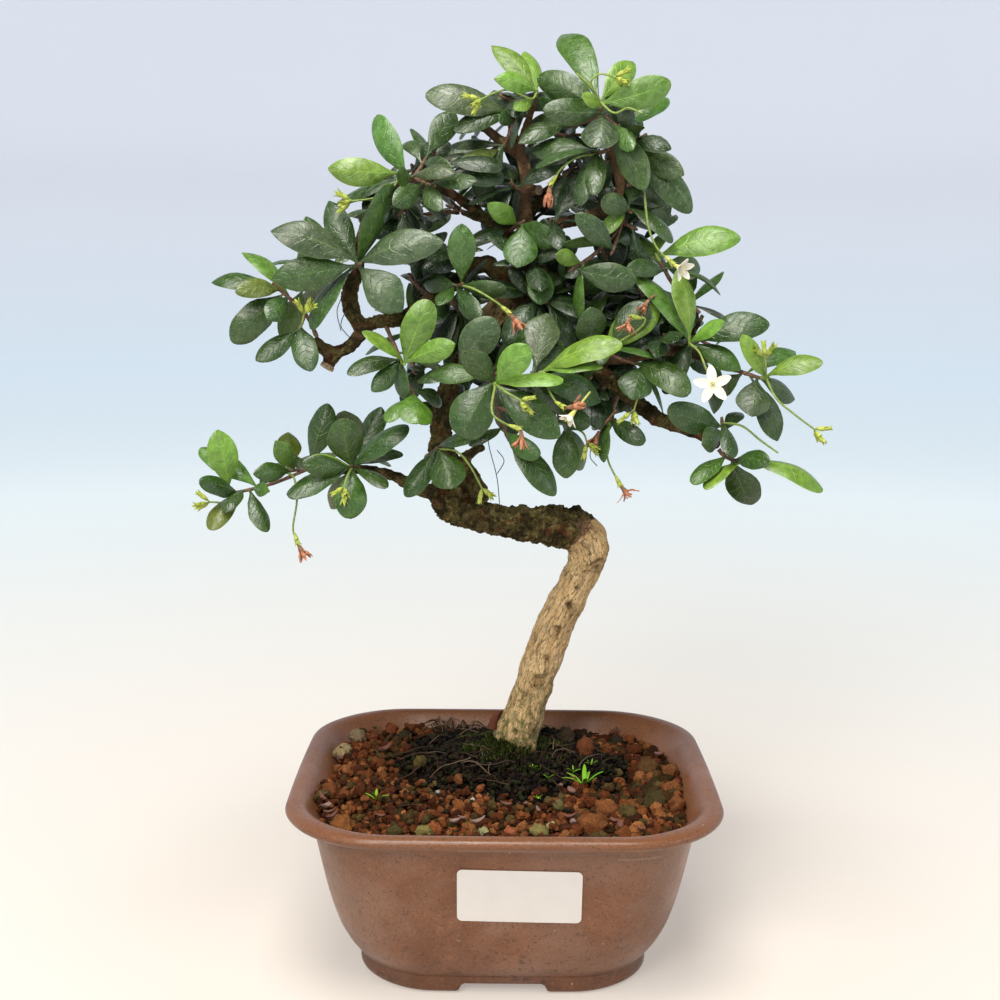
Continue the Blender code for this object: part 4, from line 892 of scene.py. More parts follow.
def humus_finish():
    made, tree, shader, where = finish("black_humus_and_gap_shade", 0.9, Specular_IOR_Level=0.05)
    fibres = add(tree, "Mapping", {"Vector": where, "Scale": (1.0, 2.6, 1.0)}).outputs["Vector"]
    fine = ramp(tree, spots(tree, fibres, 900.0, 7.0, 0.75), 0.38, 0.70)
    body = mixed(tree, fine, HUMUS_DARK, HUMUS_LIGHT)
    green = ramp(tree, spots(tree, where, 130.0, 3.0), 0.56, 0.70)
    paint(tree, shader, laid(tree, body, green, 0.35, HUMUS_GREEN))
    bump(tree, shader, fine, 0.9, 0.0005)
    return made


# Near-black humus: real on the mound, painted shade where it shows between the granules
HUMUS_AND_GAP_SHADE = humus_finish()
seat(build("soil_bed", *bed_sheet(), [HUMUS_AND_GAP_SHADE]), "humus", "root_ball")

# %% [markdown]
# ## Crumbs, roots and moss on the mound
#
# Close to the trunk the old nursery soil shows: black crumbs, dead root threads and a cushion of
# moss that climbs onto the bark. Crumbs are tiny lumps, roots are thin bent tubes, and the moss is a
# few thousand short pointed leaves that lean away from the trunk.

# %% Crumbs
CRUMB_TONES = [(0.007, 0.005, 0.004), (0.013, 0.009, 0.006), (0.028, 0.015, 0.009), (0.020, 0.022, 0.008)]
CRUMB_COUNT = 5200
CRUMB_SIZES = (0.0007, 0.0009, 0.0012, 0.0017, 0.0024)
CRUMB_SEED = 31


def make_crumbs():
    draw = random.Random(CRUMB_SEED)
    shapes = lumpy_shapes(1, 8, draw)
    batch = Batch()
    while len(batch.points) < len(shapes[0][0]) * CRUMB_COUNT:
        angle = draw.uniform(0, math.tau)
        away = MOUND_RADIUS * 1.25 * math.sqrt(draw.random())
        x = TRUNK_FOOT.x + away * math.cos(angle) * MOUND_STRETCH
        y = TRUNK_FOOT.y + away * math.sin(angle)
        share = mound_share(x, y)
        if soil_margin(x, y) < 0.002 or draw.random() > share * 2.2 + 0.10:
            continue
        wide = draw.choice(CRUMB_SIZES)
        height = soil_height(x, y) - BED_DEPTH + 0.0012 + wide * draw.uniform(0.0, 0.9)
        tone = draw.choice(CRUMB_TONES)
        set_lump(batch, shapes, draw, (x, y, height), wide, tone)
    return batch


def crumb_finish():
    made, tree, shader, where = finish("humus_crumb", 0.85, Specular_IOR_Level=0.10)
    tone = stored(tree, "tone").outputs["Color"]
    fine = spots(tree, where, 1800.0, 5.0, 0.7)
    paint(tree, shader, mixed(tree, fine, mixed(tree, 0.5, tone, colour(0, 0, 0)), tone))
    bump(tree, shader, fine, 0.7, 0.0003)
    return made


CRUMB = crumb_finish()
seat(build_batch("humus_crumbs", make_crumbs(), [CRUMB]), "humus")

# %% Root threads and twig bits
THREAD_TONES = [(0.045, 0.026, 0.015), (0.070, 0.042, 0.024), (0.014, 0.008, 0.005), (0.020, 0.012, 0.008),
                (0.150, 0.105, 0.070)]
THREAD_COUNT = 130
THREADS_ON_MOUND = 104
THREAD_BOUNDS = (0.055, 0.051)
THREADS_FROM_TRUNK = (0.008, 0.036)
THREADS_FARTHER_OUT = (0.03, 0.060)
THREAD_RADII = (0.00012, 0.00034)
THREAD_LENGTHS = (0.007, 0.019)
THREAD_LIFTS = (0.0, 0.0022)
THREAD_SEED = 41
# The tuft of dead rootlets behind the mound on the left, in pixels, and the sheath beside the trunk
TUFT = (452, 732)
TUFT_COUNT = 34
TUFT_SPREAD = (0.0052, 0.0036)
TUFT_REACH = (0.001, 0.008)
TUFT_RISE = (0.0008, 0.0052)
TUFT_RADII = (0.00016, 0.00038)
TUFT_SEED = 43
SHEATH = [(493, 729), (495, 720), (500, 711)]
SHEATH_TONE = (0.13, 0.045, 0.026)
TUFT_TONES = [(0.18, 0.11, 0.065), (0.09, 0.05, 0.03), (0.27, 0.19, 0.12), (0.05, 0.026, 0.016)]


def lying_route(draw, x, y, length, radius, lift):
    """A thin wandering route that lies on the soil."""
    heading = draw.uniform(0, math.tau)
    route = []
    steps = 6
    for step in range(steps + 1):
        hump = lift * math.sin(math.pi * step / steps)
        ground = soil_height(x, y) + 0.0010
        route.append((Vector((x, y, ground + hump)), radius * (1 - 0.6 * step / steps)))
        heading += draw.uniform(-0.55, 0.55)
        x += length / steps * math.cos(heading)
        y += length / steps * math.sin(heading)
        if soil_margin(x, y) < 0.003:
            heading += math.pi * 0.8
            x = min(max(x, -THREAD_BOUNDS[0]), THREAD_BOUNDS[0])
            y = min(max(y, -THREAD_BOUNDS[1]), THREAD_BOUNDS[1])
    return smooth_route(route, 3)


def make_threads():
    draw = random.Random(THREAD_SEED)
    batch = Batch()
    for index in range(THREAD_COUNT):
        near = index < THREADS_ON_MOUND
        angle = draw.uniform(0, math.tau)
        away = draw.uniform(*(THREADS_FROM_TRUNK if near else THREADS_FARTHER_OUT))
        x = TRUNK_FOOT.x + away * math.cos(angle)
        y = TRUNK_FOOT.y + away * math.sin(angle)
        if soil_margin(x, y) < 0.004:
            continue
        thick = draw.uniform(*THREAD_RADII)
        route = lying_route(draw, x, y, draw.uniform(*THREAD_LENGTHS), thick, draw.uniform(*THREAD_LIFTS))
        batch.add(*tube(route, 5), tone=draw.choice(THREAD_TONES))
    return batch


def make_tuft():
    """Pale rootlets that stand up and arch over at the back of the mound."""
    draw = random.Random(TUFT_SEED)
    batch = Batch()
    heart = on_soil(*TUFT)
    for _ in range(TUFT_COUNT):
        foot = heart + Vector((draw.gauss(0, TUFT_SPREAD[0]), draw.gauss(0, TUFT_SPREAD[1]), 0.0))
        foot.z = soil_height(foot.x, foot.y)
        lean = Vector((draw.gauss(0, 1), draw.gauss(0, 0.6), 0)).normalized() * draw.uniform(*TUFT_REACH)
        rise = draw.uniform(*TUFT_RISE)
        thick = draw.uniform(*TUFT_RADII)
        route = [(foot, thick), (foot + lean * 0.3 + Vector((0, 0, rise)), thick * 0.9),
                 (foot + lean * 0.8 + Vector((0, 0, rise * 0.85)), thick * 0.7),
                 (foot + lean * 1.2 + Vector((0, 0, rise * 0.35)), thick * 0.4)]
        tone = draw.choice(TUFT_TONES)
        batch.add(*tube(smooth_route(route, 4), 5), tone=tone)
    return batch


def make_sheath():
    """A thin curled bit of dead bark that leans on the trunk's left side."""
    rows = []
    for share, (column, row) in zip((0.0, 0.5, 1.0), SHEATH):
        spot = seen_at(column, row, TRUNK_DEPTH - 0.002)
        half = 0.0024 * (1 - 0.55 * share)
        rows.append([spot + Vector((-half, 0.0012, 0)), spot + Vector((-half * 0.4, -0.0006, 0)),
                     spot + Vector((half * 0.5, -0.0004, 0)), spot + Vector((half, 0.0016, 0))])
    thick = Vector((0, 0.0004, 0))
    batch = Batch()
    rings = [row + [point + thick for point in reversed(row)] for row in rows]
    batch.add(*loft(rings), tone=SHEATH_TONE)
    return batch


seat(build_batch("root_threads", make_threads(), [CRUMB]), "humus")
seat(build_batch("root_tuft", make_tuft(), [CRUMB]), "humus")
seat(build_batch("bark_sheath", make_sheath(), [CRUMB]), "bark")

# %% Moss
MOSS_TONES = [(0.016, 0.028, 0.005), (0.040, 0.056, 0.008), (0.008, 0.016, 0.004), (0.100, 0.110, 0.018)]
MOSS_COUNT = 9600
MOSS_INNER = 0.0076
MOSS_OUTER = 0.0230
MOSS_HEAP = 0.0054
MOSS_CLIMB = 0.0075
MOSS_LENGTHS = (0.0012, 0.0026)
MOSS_WIDTH = 0.00028
MOSS_SEED = 51


def moss_leaf(base, aim, side, length, wide):
    """A pointed leaf of two triangles on each side."""
    belly = base + aim * (length * 0.4)
    tip = base + aim * length
    normal = aim.cross(side).normalized() * (wide * 0.22)
    points = [base, belly + side * wide, belly - side * wide, tip, belly + normal, belly - normal]
    faces = [(0, 1, 4), (0, 4, 2), (1, 3, 4), (2, 4, 3), (0, 5, 1), (0, 2, 5), (1, 5, 3), (2, 3, 5)]
    return points, faces


def make_moss():
    draw = random.Random(MOSS_SEED)
    batch = Batch()
    for _ in range(MOSS_COUNT):
        angle = draw.uniform(0, math.tau)
        away = MOSS_INNER + (MOSS_OUTER - MOSS_INNER) * draw.random() ** 2.0
        x = TRUNK_FOOT.x + away * math.cos(angle)
        y = TRUNK_FOOT.y + away * math.sin(angle)
        patch = noise.noise(Vector((x, y, 0.7)) * 120)
        if patch < -0.24 + 32 * (away - MOSS_INNER):
            continue
        heap = MOSS_HEAP * max(1 - (away - MOSS_INNER) / MOSS_CLIMB, 0.0) * (0.6 + 0.8 * abs(patch))
        base = Vector((x, y, soil_height(x, y) - 0.0004 + heap * draw.random()))
        out = Vector((math.cos(angle), math.sin(angle), 0))
        outwards = out * draw.uniform(0.0, 0.9)
        aim = (outwards + Vector((draw.gauss(0, 0.3), draw.gauss(0, 0.3), 1))).normalized()
        side = aim.orthogonal().normalized()
        side = Matrix.Rotation(draw.uniform(0, math.tau), 3, aim) @ side
        length = draw.uniform(*MOSS_LENGTHS)
        tone = draw.choice(MOSS_TONES)
        batch.add(*moss_leaf(base, aim, side, length, MOSS_WIDTH), tone=tone)
    return batch


MOSS_SHADOW = colour(0.01, 0.015, 0.004)


def moss_finish():
    made, tree, shader, where = finish("moss_leaf", 0.65, Specular_IOR_Level=0.15)
    tone = stored(tree, "tone").outputs["Color"]
    fine = spots(tree, where, 400.0)
    paint(tree, shader, mixed(tree, fine, mixed(tree, 0.45, tone, MOSS_SHADOW), tone))
    return made


MOSS = moss_finish()
seat(build_batch("moss_cushion", make_moss(), [MOSS]), "humus")

# %% [markdown]
# ## Stones, seedlings and fallen bits
#
# Some things lie on the soil where the picture shows them: cream stones at the left edge, the
# largest clay lumps, small seedlings and withered petals. `on_soil` finds the place under a pixel.

# %% Stones
STONE_SEED = 61
# Pixel of each stone's middle, its width and its tone
STONES = [((317, 748), 0.0066, (0.46, 0.34, 0.17)), ((326, 752), 0.0050, (0.40, 0.30, 0.15)),
          ((357, 736), 0.0074, (0.30, 0.22, 0.13)), ((424, 831), 0.0066, (0.26, 0.22, 0.07)),
          ((420, 766), 0.0052, (0.13, 0.10, 0.028)), ((342, 826), 0.0078, (0.32, 0.12, 0.035)),
          ((434, 829), 0.0046, (0.33, 0.10, 0.035)), ((395, 832), 0.0060, (0.085, 0.072, 0.026)),
          ((472, 801), 0.0022, (0.62, 0.58, 0.50)), ((438, 794), 0.0018, (0.55, 0.52, 0.45)),
          ((592, 823), 0.0090, (0.26, 0.095, 0.032)), ((606, 810), 0.0070, (0.28, 0.10, 0.034)),
          ((683, 770), 0.0078, (0.22, 0.085, 0.030)), ((648, 767), 0.0080, (0.16, 0.080, 0.030)),
          ((655, 799), 0.0075, (0.085, 0.066, 0.024)), ((628, 812), 0.0070, (0.11, 0.080, 0.028)),
          ((680, 787), 0.0050, (0.30, 0.105, 0.036)), ((667, 789), 0.0052, (0.29, 0.10, 0.034)),
          ((677, 804), 0.0068, (0.30, 0.11, 0.038)), ((640, 777), 0.0044, (0.36, 0.14, 0.050)),
          ((586, 747), 0.0085, (0.20, 0.066, 0.026)), ((617, 740), 0.0060, (0.040, 0.034, 0.020)),
          ((566, 735), 0.0066, (0.060, 0.045, 0.026)), ((540, 831), 0.0060, (0.30, 0.25, 0.085)),
          ((551, 826), 0.0040, (0.44, 0.42, 0.22)), ((558, 807), 0.0048, (0.20, 0.17, 0.065)),
          ((510, 833), 0.0046, (0.42, 0.13, 0.060)), ((484, 832), 0.0042, (0.44, 0.42, 0.20)),
          ((319, 795), 0.0052, (0.10, 0.085, 0.026)), ((330, 790), 0.0060, (0.26, 0.085, 0.030)),
          ((460, 806), 0.0058, (0.32, 0.11, 0.036)), ((392, 729), 0.0050, (0.26, 0.075, 0.028)),
          ((404, 735), 0.0052, (0.055, 0.048, 0.024)), ((373, 737), 0.0048, (0.20, 0.062, 0.026))]


def make_stones():
    draw = random.Random(STONE_SEED)
    shapes = lumpy_shapes(3, 5, draw)
    batch = Batch()
    for (column, row), wide, tone in STONES:
        spot = on_soil(column, row, wide * 0.3)
        set_lump(batch, shapes, draw, (spot.x, spot.y, spot.z + wide * 0.24), wide, tone)
    return batch


seat(build_batch("larger_stones", make_stones(), [CLAY]), "akadama")

# %% Seedlings
SEEDLING_SEED = 71
# Pixel of the foot, number of leaves, and their length
SEEDLINGS = [((584, 790), 7, 0.0095), ((376, 800), 4, 0.0062), ((573, 775), 4, 0.0034),
             ((591, 775), 5, 0.0030), ((548, 788), 4, 0.0030), ((538, 801), 5, 0.0028),
             ((664, 805), 4, 0.0026), ((533, 777), 4, 0.0026), ((572, 803), 3, 0.0022)]


def narrow_leaf(base, aim, up, length, wide):
    """A strap-shaped leaf, bent over, with a top and an under side."""
    rows = []
    across = aim.cross(up).normalized()
    for step in range(7):
        share = step / 6
        half = wide / 2 * math.sin(math.pi * (0.14 + 0.83 * share)) ** 0.7
        spot = base + aim * (length * share) + up * (length * 0.5 * share * (1.1 - share))
        thick = up * 0.00012
        rows.append([spot - across * half, spot + thick, spot + across * half, spot - thick])
    return loft(rows)


def make_seedlings():
    draw = random.Random(SEEDLING_SEED)
    batch = Batch()
    for (column, row), count, length in SEEDLINGS:
        base = on_soil(column, row)
        for index in range(count):
            turn = math.tau * index / count + draw.uniform(-0.3, 0.3)
            aim = Vector((math.cos(turn), math.sin(turn), draw.uniform(0.3, 1.1))).normalized()
            tone = (0.20 * draw.uniform(0.8, 1.1), 0.42 * draw.uniform(0.8, 1.1), 0.02)
            long = length * draw.uniform(0.7, 1.0)
            batch.add(*narrow_leaf(base, aim, Vector((0, 0, 1)), long, length * 0.17), tone=tone)
    return batch


seat(build_batch("seedlings", make_seedlings(), [MOSS]), "leaf_fresh")

# %% Fallen petals and leaf bits
FALLEN_SEED = 81
FALLEN = [(506, 807), (462, 820), (455, 824), (538, 812), (573, 826), (570, 819), (616, 824), (620, 828),
          (571, 794), (314, 806), (320, 812), (311, 802), (326, 820), (318, 817), (330, 760), (340, 750),
          (385, 752), (600, 822), (560, 790), (641, 832), (380, 818), (678, 752), (618, 733), (400, 770),
          (478, 824), (525, 806)]
FALLEN_TONES = [(0.16, 0.075, 0.060), (0.30, 0.20, 0.17), (0.075, 0.030, 0.024), (0.19, 0.085, 0.06),
                (0.24, 0.13, 0.11)]


def curled_bit(base, aim, length, wide, curl):
    """A withered petal: a short strip rolled up at its sides."""
    up = Vector((0, 0, 1))
    across = aim.cross(up).normalized()
    rows = []
    for step in range(7):
        share = step / 6
        half = wide / 2 * math.sin(math.pi * (0.1 + 0.85 * share)) ** 0.8
        spot = base + aim * (length * (share - 0.5)) + up * (0.0012 + curl * (share - 0.4) ** 2 * length)
        upper = []
        for side in range(-3, 4):
            across_share = side / 3
            upper.append(spot + across * (half * across_share) + up * (abs(across_share) ** 2 * half * 0.9))
        rows.append(upper + [point - up * 0.00018 for point in reversed(upper)])
    return loft(rows)


def make_fallen():
    draw = random.Random(FALLEN_SEED)
    batch = Batch()
    for column, row in FALLEN:
        base = on_soil(column, row, 0.002) + Vector((0, 0, 0.0012))
        turn = draw.uniform(0, math.tau)
        aim = Vector((math.cos(turn), math.sin(turn), 0))
        batch.add(*curled_bit(base, aim, draw.uniform(0.0028, 0.0060), draw.uniform(0.0014, 0.0030), 1.2),
                  tone=draw.choice(FALLEN_TONES))
    return batch


seat(build_batch("fallen_bits", make_fallen(), [CRUMB]), "petal_dried")

# %% [markdown]
# ## Where the wood and the leaves are
#
# The tree is one particular plant, so its limbs and leaves are placed one by one: each number below is a
# pixel of the picture, a depth in millimetres behind the pot's middle, and a radius or a width. The
# plain model was made from the same numbers, so finer pieces made from them stand in the same place.

# %% Routes of the trunk and its limbs
TRUNK_ROUTE = [
    (513, 752, 17, 9.6), (517, 738, 17, 8.8), (528, 700, 17, 7.3), (544, 650, 17, 7.4), (567, 600, 16, 6.7),
    (582, 572, 15, 6.9), (588, 547, 14, 7.4), (576, 530, 13, 7.9), (556, 527, 13, 8.2), (530, 524, 13, 6.7),
    (500, 519, 13, 6.0), (470, 510, 13, 5.6), (449, 491, 13, 6.4), (447, 466, 14, 5.6), (441, 440, 15, 4.6),
    (443, 410, 16, 4.3), (455, 375, 17, 4.4), (477, 342, 17, 5.2), (500, 312, 17, 6.3), (519, 283, 17, 5.2),
    (523, 250, 17, 3.9), (526, 210, 17, 2.5), (526, 180, 17, 2.2), (521, 158, 17, 2.2), (506, 145, 16, 2.1),
    (491, 133, 15, 1.8), (478, 123, 14, 1.9),
]
LIMBS = {
    "low_left": [(442, 494, 12, 4.0), (418, 489, 8, 2.8), (392, 475, 4, 2.1), (364, 470, 0, 2.0),
                 (352, 470, -2, 1.8), (330, 472, -3, 1.3)],
    "mid_left": [(515, 288, 17, 3.6), (484, 264, 16, 3.4), (456, 282, 12, 3.0), (430, 300, 8, 2.7),
                 (398, 319, 5, 2.6), (370, 324, 2, 2.6), (352, 344, 1, 2.4), (334, 356, 0, 2.6),
                 (327, 367, -1, 2.5)],
    "left_rise": [(362, 330, 2, 2.5), (352, 310, 2, 3.4), (350, 290, 2, 3.0), (358, 272, 2, 2.2),
                  (361, 256, 2, 1.6)],
    "far_left": [(338, 354, 0, 2.3), (322, 348, -1, 2.4), (314, 338, -2, 1.6)],
    "right": [(497, 322, 16, 4.0), (540, 346, 12, 3.6), (590, 365, 6, 3.2), (625, 392, 2, 3.1),
              (655, 417, -3, 3.0), (690, 430, -6, 2.4), (720, 445, -6, 2.0)],
    "right_rise": [(578, 360, 8, 2.6), (625, 358, 12, 2.3), (668, 350, 8, 2.1), (706, 358, 3, 1.7),
                   (738, 370, -2, 1.4)],
    "top_right": [(524, 238, 17, 2.8), (552, 226, 14, 2.4), (580, 219, 10, 2.3), (608, 209, 5, 2.2),
                  (620, 186, 1, 1.9), (612, 152, -2, 1.8), (604, 122, -4, 1.3)],
    "top_left": [(523, 243, 17, 2.7), (496, 228, 12, 2.1), (472, 207, 8, 2.0), (444, 190, 3, 1.7),
                 (420, 181, 0, 1.2)],
    "crest": [(518, 154, 16, 1.9), (526, 128, 10, 1.5), (534, 104, 5, 1.1)],
    "back_left": [(498, 315, 17, 3.6), (476, 322, 34, 2.6), (448, 332, 50, 2.0), (420, 338, 62, 1.2)],
    "back_right": [(504, 308, 18, 3.6), (535, 316, 36, 2.6), (575, 322, 52, 2.0), (615, 326, 64, 1.2)],
    "back_top": [(524, 222, 18, 2.4), (540, 200, 34, 1.9), (560, 176, 46, 1.2)],
    "back_upper_left": [(523, 246, 18, 2.4), (498, 226, 34, 1.9), (462, 212, 48, 1.2)],
    "back_low": [(446, 425, 16, 3.0), (468, 416, 32, 2.1), (505, 404, 46, 1.2)],
    "front_mid": [(478, 342, 15, 3.2), (482, 358, -2, 2.2), (492, 374, -18, 1.3)],
}
STUBS = {
    "stub_side": [(527, 190, 17, 2.4), (539, 190, 13, 1.7)],
    "stub_top": [(512, 146, 16, 2.0), (513, 122, 14, 2.0)],
    "stub_low_left": [(441, 470, 12, 3.0), (427, 456, 9, 1.2)],
    "stub_right": [(686, 348, 6, 1.1), (703, 315, 2, 0.9)],
    "knot_top": [(572, 520, 13, 5.2), (584, 512, 12, 4.2)],
    "knot_run": [(520, 516, 13, 4.6), (524, 505, 12, 2.2)],
    "knot_right": [(596, 560, 13, 5.0), (601, 562, 12, 4.4)],
}

# %% [markdown]
# A leaf is noted by where its tip shows, how wide it looks and whether it leans near or away. A
# spray is a short twig with its leaves; some twigs end in a tuft of fresh leaves.

# %% Sprays
NEAR = 1
AWAY = -1
Leaf = namedtuple("Leaf", "tip wide side", defaults=(NEAR,))
Shoot = namedtuple("Shoot", "heart depth leaves fresh fill", defaults=((), (), 0))

